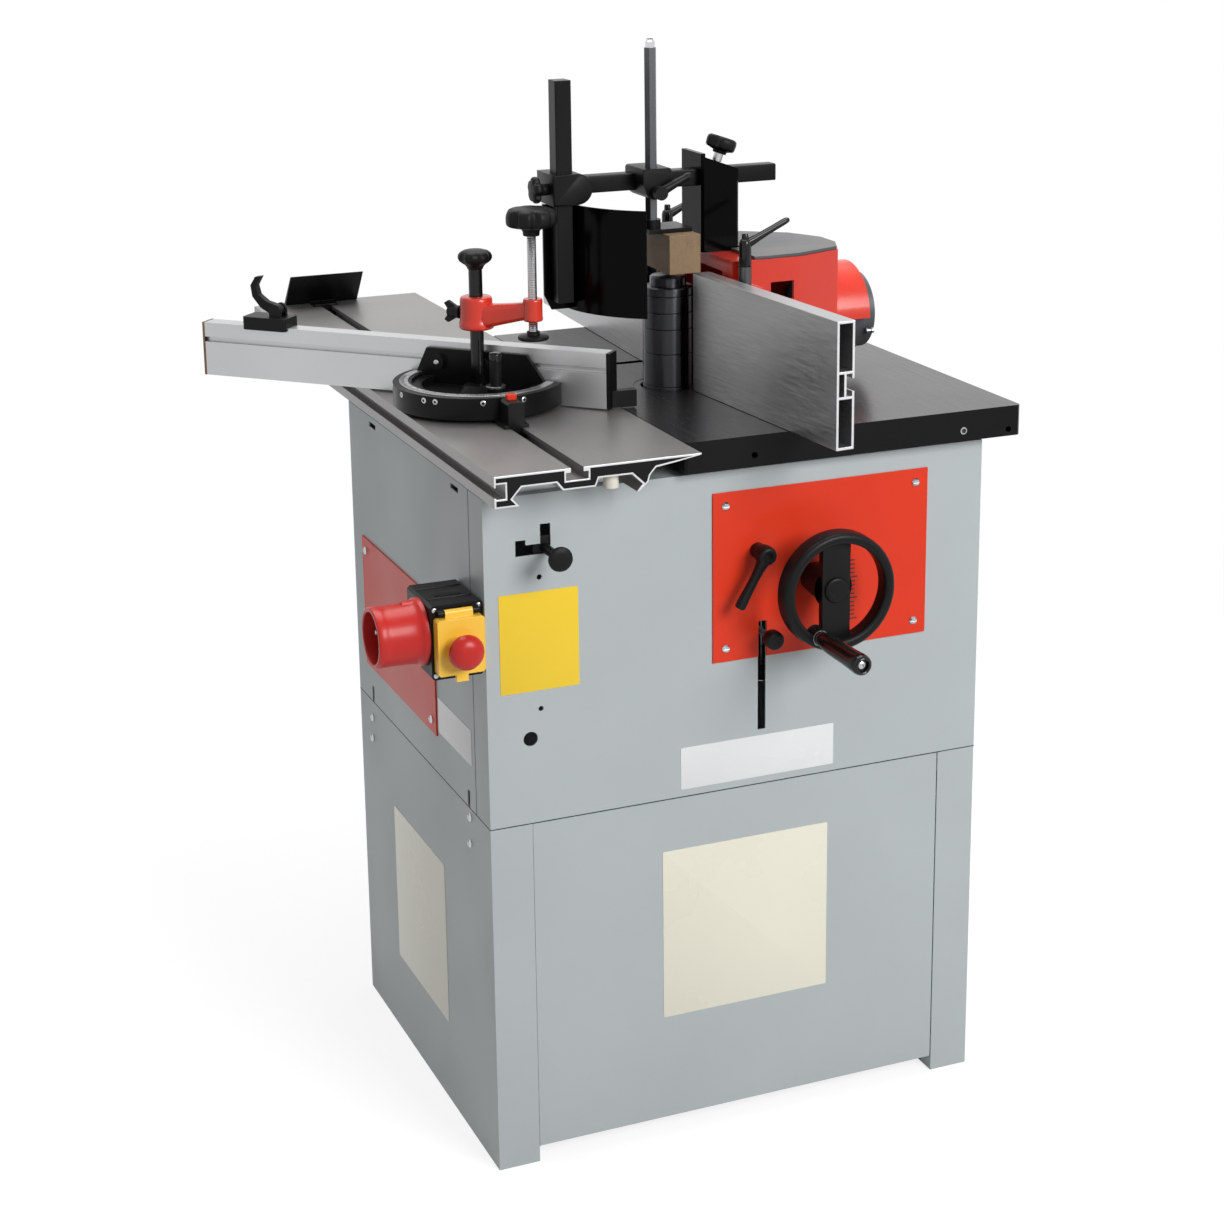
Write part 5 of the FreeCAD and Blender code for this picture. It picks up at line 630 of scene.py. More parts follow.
FINISHES: Dict[Skin, object] = {
    Skin.CABINET: CoatFinish(srgb("B3BABC"), srgb("C6CBCC"), rough=(0.38, 0.5), grain_scale=700.0,
        grain_depth=0.00010, wear=0.0012, dust=0.05, change=0.025),
    Skin.RED_PAINT: CoatFinish(srgb("DE3A20"), srgb("E35A40"), rough=(0.28, 0.4), grain_scale=500.0,
        grain_depth=0.00006, wear=0.0006, dust=0.02, coat=0.02, change=0.03, gloss=0.2),
    Skin.RED_CAST: CoatFinish(srgb("D93420"), srgb("E2604A"), rough=(0.18, 0.3), grain_scale=260.0,
        grain_depth=0.0002, wear=0.001, dust=0.03, coat=0.3, gloss=0.35),
    Skin.TABLE_TOP: MetalFinish(srgb("444446"), Along.Y, rough=(0.2, 0.28), fineness=420.0, depth=0.000006,
        metallic=0.6, contrast=0.08, dust=0.05),
    Skin.CASTING: CoatFinish(srgb("4E5052"), srgb("7A7C7E"), rough=(0.6, 0.8), grain_scale=240.0,
        grain_depth=0.0004, wear=0.001, dust=0.2),
    Skin.ANODISED: MetalFinish(srgb("949392"), Along.Y, rough=(0.34, 0.46), fineness=1500.0, depth=0.00002,
        metallic=0.75, contrast=0.06, dust=0.06),
    Skin.FENCE: MetalFinish(srgb("B4B5B6"), Along.Y, rough=(0.3, 0.4), fineness=360.0, depth=0.000001,
        metallic=0.9, contrast=0.24, stretch=400.0),
    Skin.SAWN_END: MetalFinish(srgb("DADBDC"), Along.X, rough=(0.3, 0.5), fineness=1800.0, metallic=0.9,
        contrast=0.1),
    Skin.CHROME: MetalFinish(srgb("D5D6D8"), Along.X, rough=(0.06, 0.14), fineness=3000.0, depth=0.000008,
        contrast=0.04),
    Skin.STEEL: MetalFinish(srgb("B9BABC"), Along.X, rough=(0.18, 0.32), fineness=2200.0, depth=0.00002,
        contrast=0.08),
    # Black plastic, also used for the plate that paints the shade in the sliding table's hollow front end
    Skin.BLACK_PLASTIC_AND_VOID_SHADE: CoatFinish(srgb("101011"), srgb("28282A"), rough=(0.34, 0.48), grain_scale=1400.0,
        grain_depth=0.00009, wear=0.0006, dust=0.01, change=0.08, gloss=0.16),
    Skin.BLACK_GLOSS: CoatFinish(srgb("0E0E0F"), srgb("262627"), rough=(0.12, 0.2), grain_scale=700.0,
        grain_depth=0.00003, wear=0.0005, dust=0.01, coat=0.12, change=0.08, gloss=0.25),
    # Its edge colour is raised past wear so that the rounded edges carry a painted highlight
    Skin.BLACK_METAL: CoatFinish(srgb("0D0D0E"), srgb("48484A"), rough=(0.26, 0.4), grain_scale=520.0,
        grain_depth=0.00010, wear=0.0006, dust=0.01, change=0.08, gloss=0.14),
    Skin.SHIELD: CoatFinish(srgb("060607"), srgb("1A1A1C"), rough=(0.12, 0.2), grain_scale=700.0,
        grain_depth=0.00003, wear=0.0005, dust=0.0, change=0.06, gloss=0.05),
    Skin.LID: CoatFinish(srgb("4A4C50"), srgb("6C6E72"), rough=(0.34, 0.46), grain_scale=500.0,
        grain_depth=0.00010, dust=0.15),
    Skin.RED_PLASTIC: CoatFinish(srgb("C4231D"), srgb("D0483F"), rough=(0.3, 0.42), grain_depth=0.00004,
        wear=0.0005, dust=0.02, coat=0.06, gloss=0.32),
    Skin.YELLOW_PLASTIC: CoatFinish(srgb("FFCA44"), srgb("FFD668"), rough=(0.28, 0.4), grain_depth=0.00004,
        wear=0.0005, dust=0.02, coat=0.1, change=0.04, gloss=0.4),
    Skin.NYLON: CoatFinish(srgb("E4E0D2"), srgb("F0EDE2"), rough=(0.4, 0.55), grain_scale=700.0,
        grain_depth=0.00004),
    Skin.MOTOR: CoatFinish(srgb("5A6670"), srgb("868E94"), rough=(0.4, 0.55), grain_scale=400.0,
        grain_depth=0.00015),
    # Dark rubber of the belt, also used for the strips that paint the shadow in the sheet joints
    Skin.RUBBER_AND_GAP_SHADOW: CoatFinish(srgb("222223"), srgb("3A3A3B"), rough=(0.75, 0.9), grain_scale=600.0,
        grain_depth=0.0002),
    Skin.WOOD: WoodFinish(srgb("8A7254"), srgb("6C563E")),
    Skin.WOOD_EDGE: WoodFinish(srgb("8A6A48"), srgb("6A4E33")),
    # Chrome collars and arbor drawn as dark metal: the dark colour paints the reflection of the dark parts
    # round the spindle, and the lamps give the bright stripes
    Skin.COLLAR: MetalFinish(srgb("4C4D50"), Along.Z, rough=(0.36, 0.4), fineness=2600.0, depth=0.000001,
        contrast=0.04, turned=0.95),
    Skin.DARK_STEEL: MetalFinish(srgb("56585A"), Along.Z, rough=(0.28, 0.42), fineness=1800.0, depth=0.00002,
        contrast=0.1),
    Skin.SMOOTH_ALLOY: MetalFinish(srgb("C4C5C6"), Along.Z, rough=(0.3, 0.42), fineness=2400.0,
        depth=0.00001, metallic=0.85, contrast=0.03),
    Skin.PLATE_CREAM: CoatFinish(srgb("E9E6D4"), srgb("F2F0E4"), rough=(0.25, 0.34), grain_scale=300.0,
        grain_depth=0.00002, wear=0.0004, dust=0.0, coat=0.3, change=0.015),
    Skin.PLATE_YELLOW: CoatFinish(srgb("F2CC1C"), srgb("F6DA58"), rough=(0.28, 0.38), grain_scale=300.0,
        grain_depth=0.00002, wear=0.0004, dust=0.0, coat=0.2, change=0.02),
    Skin.PLATE_WHITE: CoatFinish(srgb("E6E7E8"), srgb("F2F2F3"), rough=(0.25, 0.34), grain_scale=300.0,
        grain_depth=0.00002, wear=0.0004, dust=0.0, coat=0.3, change=0.015),
    Skin.SCALE: MetalFinish(srgb("D2D3D4"), Along.X, rough=(0.22, 0.34), fineness=2600.0, depth=0.00001,
        metallic=0.9, contrast=0.05),
    # Black ink of the scales, also used for the disc that paints the shade in a screw socket
    Skin.INK_AND_SOCKET_SHADE: CoatFinish(srgb("141414"), srgb("202020"), rough=(0.5, 0.6), grain_depth=0.00001),
}


class Palette:
    """The materials of the machine, each made when it is first used."""

    def __init__(self) -> None:
        """Build the shared effects."""
        self.groups = EffectGroups()
        self.made: Dict[Skin, Material] = {}

    def get(self, skin: Skin) -> Material:
        """The material of a finish.

        Args:
            skin: The finish.

        Returns:
            Its material, made at the first call.
        """
        if skin not in self.made:
            self.made[skin] = FINISHES[skin].build(skin.value, self.groups)
        return self.made[skin]


def to_object(name: str, mesh: bmesh.types.BMesh, angle: float = 38.0) -> Thing:
    """Turn built geometry into a smooth-shaded object.

    Args:
        name: Name of the object.
        mesh: Geometry in metres; it is freed.
        angle: Edges sharper than this many degrees stay sharp.

    Returns:
        The linked object.
    """
    bmesh.ops.recalc_face_normals(mesh, faces=mesh.faces[:])
    data = bpy.data.meshes.new(name)
    mesh.to_mesh(data)
    mesh.free()
    data.shade_smooth()
    data.set_sharp_from_angle(angle=math.radians(angle))
    thing = bpy.data.objects.new(name, data)
    bpy.context.scene.collection.objects.link(thing)
    return thing


def soften(points: Sequence[Point2], radius: float, steps: int = 4) -> List[Point2]:
    """Round the inner corners of an open outline.

    Args:
        points: Outline points.
        radius: How far along each side the rounding reaches.
        steps: Points per corner.

    Returns:
        The outline with rounded corners.
    """
    result = [points[0]]
    for before, corner, after in zip(points, points[1:], points[2:]):
        spot = Vector(corner)
        sides = [Vector(before) - spot, Vector(after) - spot]
        ends = [spot + side.normalized() * min(radius, side.length * SHORT_SIDE) for side in sides]
        for number in range(steps + 1):
            part = number / steps
            curve = ends[0] * (1 - part) ** 2 + spot * 2 * part * (1 - part) + ends[1] * part ** 2
            result.append((curve.x, curve.y))
    result.append(points[-1])
    return result


def rounded(points: Sequence[Point2], radius: float, steps: int = 4) -> List[Point2]:
    """Round every corner of a closed outline."""
    ring = [points[-1]] + list(points) + [points[0]]
    return soften(ring, radius, steps)[1:-1]


def level_way(degrees: float) -> Vector:
    """Level direction at an angle counted from X."""
    turn = math.radians(degrees)
    return Vector((math.cos(turn), math.sin(turn), 0.0))


def rectangle(first: Point2, second: Point2) -> List[Point2]:
    """Four corners from the limits in two directions."""
    return [(first[0], second[0]), (first[1], second[0]), (first[1], second[1]), (first[0], second[1])]


def lathe(name: str, profile: Sequence[Point2], base: Point3, axis: Sequence[float],
          steps: int = FACETS) -> Thing:
    """Turn a profile round an axis.

    Args:
        name: Name of the object.
        profile: Radius and height points in millimetres; a closed section ends on its first point.
        base: Point where the height is zero, in millimetres.
        axis: Direction of the height.
        steps: Number of facets round the axis.

    Returns:
        The turned object.
    """
    mesh = bmesh.new()
    turn = Vector((0, 0, 1)).rotation_difference(Vector(axis).normalized()).to_matrix()
    rings = []
    for radius, height in profile:
        if radius < ON_AXIS:
            rings.append([mesh.verts.new((Vector(base) + turn @ Vector((0, 0, height))) * MM)])
            continue
        ring = []
        for number in range(steps):
            angle = 2 * math.pi * number / steps
            spot = Vector((radius * math.cos(angle), radius * math.sin(angle), height))
            ring.append(mesh.verts.new((Vector(base) + turn @ spot) * MM))
        rings.append(ring)
    for low, high in zip(rings, rings[1:]):
        for number in range(steps):
            after = (number + 1) % steps
            lower = [low[number % len(low)], low[after % len(low)]]
            upper = [high[after % len(high)], high[number % len(high)]]
            unique = list(dict.fromkeys(lower + upper))
            if len(unique) > 2:
                mesh.faces.new(unique)
    bmesh.ops.remove_doubles(mesh, verts=mesh.verts[:], dist=SAME_POINT)
    return to_object(name, mesh)


def lobed(name: str, profile: Sequence[Point3], base: Point3, axis: Sequence[float], lobes: int,
          turn: float = 0.0, steps: int = 120) -> Thing:
    """Turn a profile round an axis with hollows between lobes.

    Args:
        name: Name of the object.
        profile: Radius, height and depth of the hollows in millimetres.
        base: Point where the height is zero, in millimetres.
        axis: Direction of the height.
        lobes: Number of lobes.
        turn: Angle of the first hollow in degrees.
        steps: Number of facets round the axis.

    Returns:
        The lobed object.
    """
    outline = [(radius, height) for radius, height, _ in profile]
    thing = lathe(name, outline, (0.0, 0.0, 0.0), Axis.Z.value, steps)
    heights = [height for _, height, _ in profile]
    depths = {round(height, 4): depth for _, height, depth in profile}
    for vertex in thing.data.vertices:
        radius = math.hypot(vertex.co.x, vertex.co.y) / MM
        nearest = min(heights, key=lambda height: abs(height - vertex.co.z / MM))
        if radius < NEAR_AXIS:
            continue
        angle = math.atan2(vertex.co.y, vertex.co.x) - math.radians(turn)
        hollow = max(0.0, math.cos(lobes * angle) + LOBE_WIDTH) / (1 + LOBE_WIDTH)
        factor = 1 - depths[round(nearest, 4)] * hollow ** LOBE_POWER / radius
        vertex.co.x *= factor
        vertex.co.y *= factor
    swing = Vector((0, 0, 1)).rotation_difference(Vector(axis).normalized()).to_matrix().to_4x4()
    thing.data.transform(Matrix.Translation(Vector(base) * MM) @ swing)
    thing.data.set_sharp_from_angle(angle=math.radians(LOBE_SHARP))
    return thing


def extrude(name: str, outline: Sequence[Point2], start: float, end: float, axis: Axis,
            edge: float = 0.0) -> Thing:
    """Draw a closed outline out along an axis.

    Args:
        name: Name of the object.
        outline: Points in the two other directions, in X, Y, Z order and in millimetres.
        start: Where the solid starts along the axis.
        end: Where it ends.
        axis: X, Y or Z.
        edge: Rounding of the two rims in millimetres, or zero for none.

    Returns:
        The drawn-out object.
    """
    mesh = bmesh.new()
    slot = {Axis.X: 0, Axis.Y: 1, Axis.Z: 2}[axis]
    loops = []
    for level in (start, end):
        loop = []
        for first, second in outline:
            spot = [first, second]
            spot.insert(slot, level)
            loop.append(mesh.verts.new(Vector(spot) * MM))
        loops.append(loop)
    caps = [mesh.faces.new(loops[0]), mesh.faces.new(loops[1])]
    count = len(outline)
    for number in range(count):
        after = (number + 1) % count
        mesh.faces.new([loops[0][number], loops[0][after], loops[1][after], loops[1][number]])
    if edge > 0:
        rims = list({rim for cap in caps for rim in cap.edges})
        bmesh.ops.bevel(mesh, geom=rims, offset=edge * MM, segments=3, profile=0.5, affect="EDGES")
    return to_object(name, mesh)


def sweep(name: str, path: Sequence[Point3], radii: Sequence[Point2], power: float = 2.0,
          steps: int = 24) -> Thing:
    """Draw an oval or squarish section along a path, closed by caps.

    Args:
        name: Name of the object.
        path: Points in millimetres.
        radii: Half width and half height of the section at each point.
        power: Two for an oval section, more for one with squarer corners.
        steps: Number of facets round the section.

    Returns:
        The swept object.
    """
    mesh = bmesh.new()
    points = [Vector(point) for point in path]
    rings = []
    for number, spot in enumerate(points):
        way = (points[min(number + 1, len(points) - 1)] - points[max(number - 1, 0)]).normalized()
        helper = Vector((0, 0, 1)) if abs(way.z) < 0.9 else Vector((0, 1, 0))
        side = way.cross(helper).normalized()
        rise = side.cross(way).normalized()
        ring = []
        for facet in range(steps):
            angle = 2 * math.pi * facet / steps
            across = math.copysign(abs(math.cos(angle)) ** (2 / power), math.cos(angle)) * radii[number][0]
            along = math.copysign(abs(math.sin(angle)) ** (2 / power), math.sin(angle)) * radii[number][1]
            ring.append(mesh.verts.new((spot + side * across + rise * along) * MM))
        rings.append(ring)
    for low, high in zip(rings, rings[1:]):
        for facet in range(steps):
            after = (facet + 1) % steps
            mesh.faces.new([low[facet], low[after], high[after], high[facet]])
    mesh.faces.new(rings[0])
    mesh.faces.new(rings[-1])
    return to_object(name, mesh)


def join(name: str, things: Sequence[Thing]) -> Thing:
    """Put several objects into one.

    Args:
        name: Name of the new object.
        things: Objects to take in; they are deleted.

    Returns:
        The joined object, with the materials of its pieces.
    """
    first = things[0]
    with bpy.context.temp_override(active_object=first, selected_editable_objects=list(things)):
        bpy.ops.object.join()
    first.name = name
    first.data.name = name
    return first


def round_edges(thing: Thing, width: float, segments: int = 3, angle: float = 35.0) -> Thing:
    """Round the sharp edges of an object with modifiers.

    Args:
        thing: Object to round.
        width: Size of the rounding in millimetres.
        segments: Facets across the rounding.
        angle: Edges sharper than this many degrees are rounded.

    Returns:
        The same object.
    """
    weld = thing.modifiers.new("weld", "WELD")
    weld.merge_threshold = WELD_DISTANCE
    flat = thing.modifiers.new("flat_faces", "DECIMATE")
    flat.decimate_type = "DISSOLVE"
    flat.angle_limit = math.radians(FLAT_ANGLE)
    flat.delimit = {"MATERIAL"}
    bevel = thing.modifiers.new("rounding", "BEVEL")
    bevel.width = width * MM
    bevel.segments = segments
    bevel.limit_method = "ANGLE"
    bevel.angle_limit = math.radians(angle)
    bevel.harden_normals = True
    bevel.use_clamp_overlap = True
    even = thing.modifiers.new("even_normals", "WEIGHTED_NORMAL")
    even.keep_sharp = True
    return thing


def end_face(normal: Vector, centre: Vector) -> bool:
    """Whether a face closes the front or back end of a profile."""
    return abs(normal.y) > END_FACING


class Workshop:
    """Where the pieces are dressed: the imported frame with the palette."""

    def __init__(self) -> None:
        """Load the frame and keep its box."""
        self.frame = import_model()
        self.cad_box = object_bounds()
        self.palette = Palette()

    def dress(self, node: str, skin: Skin, edge: float = 0.0, angle: float = 35.0) -> Thing:
        """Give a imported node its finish.

        Args:
            node: Name of the node.
            skin: Its finish.
            edge: Rounding of its edges in millimetres, or zero for none.
            angle: Edges sharper than this many degrees are rounded.

        Returns:
            The node's object.
        """
        thing = self.frame["nodes"][node]
        thing.data.materials.clear()
        thing.data.materials.append(self.palette.get(skin))
        thing.data.shade_smooth()
        if edge > 0:
            round_edges(thing, edge, 2, angle)
        else:
            thing.data.set_sharp_from_angle(angle=math.radians(angle))
        LOG.info("dressed %s in %s", node, skin.value)
        return thing

    def dress_all(self, *rows: Tuple[str, Skin, float]) -> None:
        """Dress several nodes, each given with its finish and the rounding of its edges."""
        for node, skin, edge in rows:
            self.dress(node, skin, edge)

    def add(self, thing: Thing, body: str, skin: Skin, stands_for: Sequence[str] = ()) -> Thing:
        """Add a piece made here.

        Args:
            thing: The piece, in place.
            body: Body that it moves with.
            skin: Its finish.
            stands_for: Nodes that it takes the place of.

        Returns:
            The same piece.
        """
        if not thing.data.materials:
            thing.data.materials.append(self.palette.get(skin))
        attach(thing, body)
        if stands_for:
            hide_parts(*stands_for)
        LOG.info("added %s on %s", thing.name, body)
        return thing

    def paint(self, thing: Thing, skin: Skin) -> Thing:
        """Give a loose object its finish before it is joined to others.

        Args:
            thing: The object.
            skin: Its finish.

        Returns:
            The same object.
        """
        thing.data.materials.clear()
        thing.data.materials.append(self.palette.get(skin))
        return thing

    def face_skin(self, node: str, skin: Skin, chosen: Callable[[Vector, Vector], bool]) -> None:
        """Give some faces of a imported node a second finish.

        Args:
            node: Name of the node, already dressed.
            skin: Second finish.
            chosen: Says from a face's normal and centre whether it takes the second finish.
        """
        data = self.frame["nodes"][node].data
        data.materials.append(self.palette.get(skin))
        number = len(data.materials) - 1
        for face in data.polygons:
            if chosen(face.normal, face.center):
                face.material_index = number


@dataclass
class Assembly:
    """A sub-assembly of the machine.

    Attributes:
        shop: Where its pieces are dressed.
    """

    shop: Workshop

    def _turned(self, skin: Skin, name: str, profile: Sequence[Point2], base: Point3, axis: Sequence[float],
                steps: int = FACETS) -> Thing:
        """Turn a piece and give it its finish.

        Args:
            skin: Its finish.
            name: Name of the object.
            profile: Radius and height points, as for a lathe.
            base: Point where the height is zero.
            axis: Direction of the height.
            steps: Number of facets round the axis.

        Returns:
            The finished piece.
        """
        return self.shop.paint(lathe(name, profile, base, axis, steps), skin)


@dataclass
class Cabinet(Assembly):
    """Sheet-metal base and housing with its red plates, bare plates and screws."""

    sheet_edge: float = 0.7
    plate_edge: float = 0.5
    plate_thickness: float = 0.5
    plate_corner: float = 1.5
    side_x: float = -310.0
    housing_y: float = -253.0
    panel_y: float = -252.0
    control_y: float = -255.0
    seam_z: float = 425.0
    # Width of the dark strips that paint the shadow in the sheet joints
    gap_shadow_width: float = 1.1
    post_x: float = 259.9
    panel_top: float = 424.0
    panel_front_y: float = -206.4
    housing_top: float = 808.0
    back_y: float = 253.0
    # How far the painted gap shadows stand out of the sheet and sink behind it
    gap_shadow_proud: float = 0.15
    gap_shadow_sink: float = 1.0
    panel_bottom: float = 19.0
    plate_rim: float = 0.2
    screw_edge: float = 0.4
    marks_x: float = 137.0
    marks_z: Point2 = (612.0, 683.0)
    mark_count: int = 15
    mark_group: int = 5
    mark_lengths: Point2 = (9.0, 5.5)
    mark_half: float = 0.7
    mark_proud: float = 0.2
    front_plates: Tuple[Tuple[str, Point2, Point2, float, Skin], ...] = (
        ("yellow_plate", (-294.0, -201.0), (582.0, 697.0), housing_y, Skin.PLATE_YELLOW),
        ("white_plate", (-78.0, 118.0), (434.0, 485.0), housing_y, Skin.PLATE_WHITE),
        ("cream_plate_front", (-101.0, 112.0), (150.0, 360.0), panel_y, Skin.PLATE_CREAM))
    side_plates: Tuple[Tuple[str, Point2, Point2, Skin], ...] = (
        ("cream_plate_side", (-80.0, 118.0), (106.0, 312.0), Skin.PLATE_CREAM),
        ("white_plate_side", (-195.0, -76.0), (480.0, 523.0), Skin.PLATE_WHITE))

    def build(self) -> None:
        """Dress the sheets and add the bare plates, the height marks and the dark strips that paint the
        shadow in the sheet joints.
        """
        for node in ("base_left_side", "base_right_side", "base_panels", "upper_housing", "access_panel"):
            self.shop.dress(node, Skin.CABINET, self.sheet_edge)
        for node in ("control_plate", "side_plate"):
            self.shop.dress(node, Skin.RED_PAINT, self.plate_edge)
        self.shop.dress("cover_screws", Skin.STEEL, self.screw_edge)
        for row in self.front_plates:
            self._front_plate(*row)
        for row in self.side_plates:
            self._side_plate(*row)
        self._marks()
        self._painted_gap_shadows()

    def _painted_gap_shadows(self) -> None:
        """Add dark strips in the joints between the sheets that paint the shadow in the gaps."""
        half = self.gap_shadow_width / 2
        proud = self.gap_shadow_proud
        sink = self.gap_shadow_sink
        side = self.side_x
        front = self.housing_y
        seam = (self.seam_z - half, self.seam_z + half)
        lengthwise = rectangle((front, self.back_y), seam)
        strips = [extrude("seam_front", rectangle((side, -side), seam), front - proud, front + sink, Axis.Y),
                  extrude("seam_left", lengthwise, side - proud, side + sink, Axis.X),
                  extrude("seam_right", lengthwise, -side - sink, -side + proud, Axis.X)]
        for x in (-self.post_x, self.post_x):
            upright = rectangle((x - half, x + half), (self.panel_bottom, self.panel_top))
            strips.append(extrude("post_seam", upright, self.panel_y - proud, self.panel_y + sink, Axis.Y))
        y = self.panel_front_y
        upright = rectangle((y - half, y + half), (self.seam_z, self.housing_top))
        strips.append(extrude("access_seam", upright, side - proud, side + sink, Axis.X))
        # The dark rubber finish here paints the shadow in the gaps between the sheets
        self.shop.add(join("joint_gap_shadows", strips), "cabinet", Skin.RUBBER_AND_GAP_SHADOW)

    def _outline(self, first: Point2, second: Point2) -> List[Point2]:
        """Rectangle with small round corners from its limits in two directions."""
        return rounded(rectangle(first, second), self.plate_corner)

    def _front_plate(self, name: str, across: Point2, heights: Point2, face: float, skin: Skin) -> None:
        """Add a bare plate on the front.

        Args:
            name: Name of the plate.
            across: Its left and right limits.
            heights: Its lower and upper limits.
            face: Where the sheet under it lies.
            skin: Its finish.
        """
        start = face - self.plate_thickness
        plate = extrude(name, self._outline(across, heights), start, face, Axis.Y, self.plate_rim)
        self.shop.add(plate, "cabinet", skin)

    def _side_plate(self, name: str, along: Point2, heights: Point2, skin: Skin) -> None:
        """Add a bare plate on the left side.

        Args:
            name: Name of the plate.
            along: Its front and rear limits.
            heights: Its lower and upper limits.
            skin: Its finish.
        """
        start = self.side_x - self.plate_thickness
        plate = extrude(name, self._outline(along, heights), start, self.side_x, Axis.X, self.plate_rim)
        self.shop.add(plate, "cabinet", skin)

    def _marks(self) -> None:
        """Add the black height marks beside the handwheel."""
        marks = []
        low, high = self.marks_z
        step = (high - low) / (self.mark_count - 1)
        front = self.control_y - self.mark_proud
        for number in range(self.mark_count):
            length = self.mark_lengths[0 if number % self.mark_group == 0 else 1]
            z = low + step * number
            limits = (z - self.mark_half, z + self.mark_half)
            outline = rectangle((self.marks_x, self.marks_x + length), limits)
            marks.append(extrude("height_mark", outline, front, self.control_y, Axis.Y))
        self.shop.add(join("height_marks", marks), "cabinet", Skin.INK_AND_SOCKET_SHADE)


@dataclass
class TableUnit(Assembly):
    """Cast table with its ring, lift plate and spindle drive."""

    edge: float = 0.8
    edge_screw: Point3 = (273.8, -270.5, 826.5)

    def build(self) -> None:
        """Dress the castings and the drive, and build the edge screw."""
        self.shop.dress("main_table", Skin.BLACK_METAL, self.edge)
        self.shop.face_skin("main_table", Skin.TABLE_TOP, lambda normal, centre: normal.z > TOP_FACING)
        self.shop.dress_all(
            ("table_ring", Skin.TABLE_TOP, 0.5),
            ("lift_frame", Skin.CASTING, 0.8),
            ("spindle_carriage", Skin.CASTING, 0.8),
            ("motor", Skin.MOTOR, 0.8),
            ("motor_shaft", Skin.STEEL, 0.4),
            ("drive_belt", Skin.RUBBER_AND_GAP_SHADOW, 0.4),
            ("lead_screw", Skin.STEEL, 0.3),
            # Arbor and collars take the collar finish, whose dark colour paints the reflection of the dark
            # surroundings
            ("spindle_arbor", Skin.COLLAR, 0.4),
            ("spacer_collars", Skin.COLLAR, 0.3))
        self._edge_screw()

    def _edge_screw(self) -> None:
        """Build the socket screw in the front edge of the table, with a black disc that paints the shade in
        its socket.
        """
        profile = [(2.7, 0.8), (2.9, 1.6), (4.0, 1.6), (4.3, 1.3), (4.3, 0.0)]
        way = Axis.FRONT.value
        ring = self._turned(Skin.STEEL, "edge_screw_ring", profile, self.edge_screw, way, steps=32)
        # A flat black disc sunk in the ring paints the shade of the socket hole
        profile = [(0.0, 0.7), (2.8, 0.7), (2.8, 0.0)]
        socket = self._turned(Skin.INK_AND_SOCKET_SHADE, "edge_screw_socket_shade", profile, self.edge_screw, way, steps=32)
        self.shop.add(join("edge_screw", [ring, socket]), "cabinet", Skin.STEEL)


@dataclass
class SlidingTable(Assembly):
    """Aluminium sliding table on its rail, with stop pegs and edging shoe."""

    edge: float = 0.4
    left: float = -317.5
    top: float = 850.0
    front: float = -316.0
    # The dark plate at the front end paints the shade in the hollow chambers; how far it stands out, and its
    # outline inset from the walls
    void_shade_proud: float = 0.3
    cap: Tuple[Point2, ...] = (
        (2.2, 2.2), (79.0, 2.2), (79.0, 15.4), (108.7, 15.4), (108.7, 2.2), (228.0, 2.2), (208.6, 4.9),
        (184.1, 8.1), (176.1, 17.1), (174.1, 24.1), (171.8, 26.3), (157.5, 12.7), (117.2, 12.5),
        (113.6, 21.6), (78.2, 21.6), (71.0, 12.5), (30.1, 12.5), (17.7, 26.2), (23.8, 33.0), (2.2, 33.0),
        (2.2, 27.0), (14.6, 27.0), (14.6, 7.0), (2.2, 7.0))

    def build(self) -> None:
        """Dress the profiles, the pegs and the shoe, and paint the shade inside the hollow front end."""
        self.shop.dress("slide_table", Skin.ANODISED, self.edge)
        self.shop.face_skin("slide_table", Skin.SAWN_END, end_face)
        self.shop.dress("slide_rail", Skin.ANODISED, self.edge)
        self.shop.face_skin("slide_rail", Skin.SAWN_END, end_face)
        self.shop.dress_all(
            ("slide_pegs", Skin.NYLON, 0.8),
            ("edging_shoe", Skin.BLACK_METAL, 0.6))
        self._void_shade_plate()

    def _void_shade_plate(self) -> None:
        """Build the dark plate that paints the shade inside the hollow chambers of the front end and leaves
        the bright walls as an outline round it.
        """
        outline = [(self.left + across, self.top - down) for across, down in self.cap]
        limits = (self.front - self.void_shade_proud, self.front + self.void_shade_proud)
        cap = extrude("slide_end_void_shade", outline, limits[0], limits[1], Axis.Y)
        self.shop.add(cap, "slide", Skin.BLACK_PLASTIC_AND_VOID_SHADE)


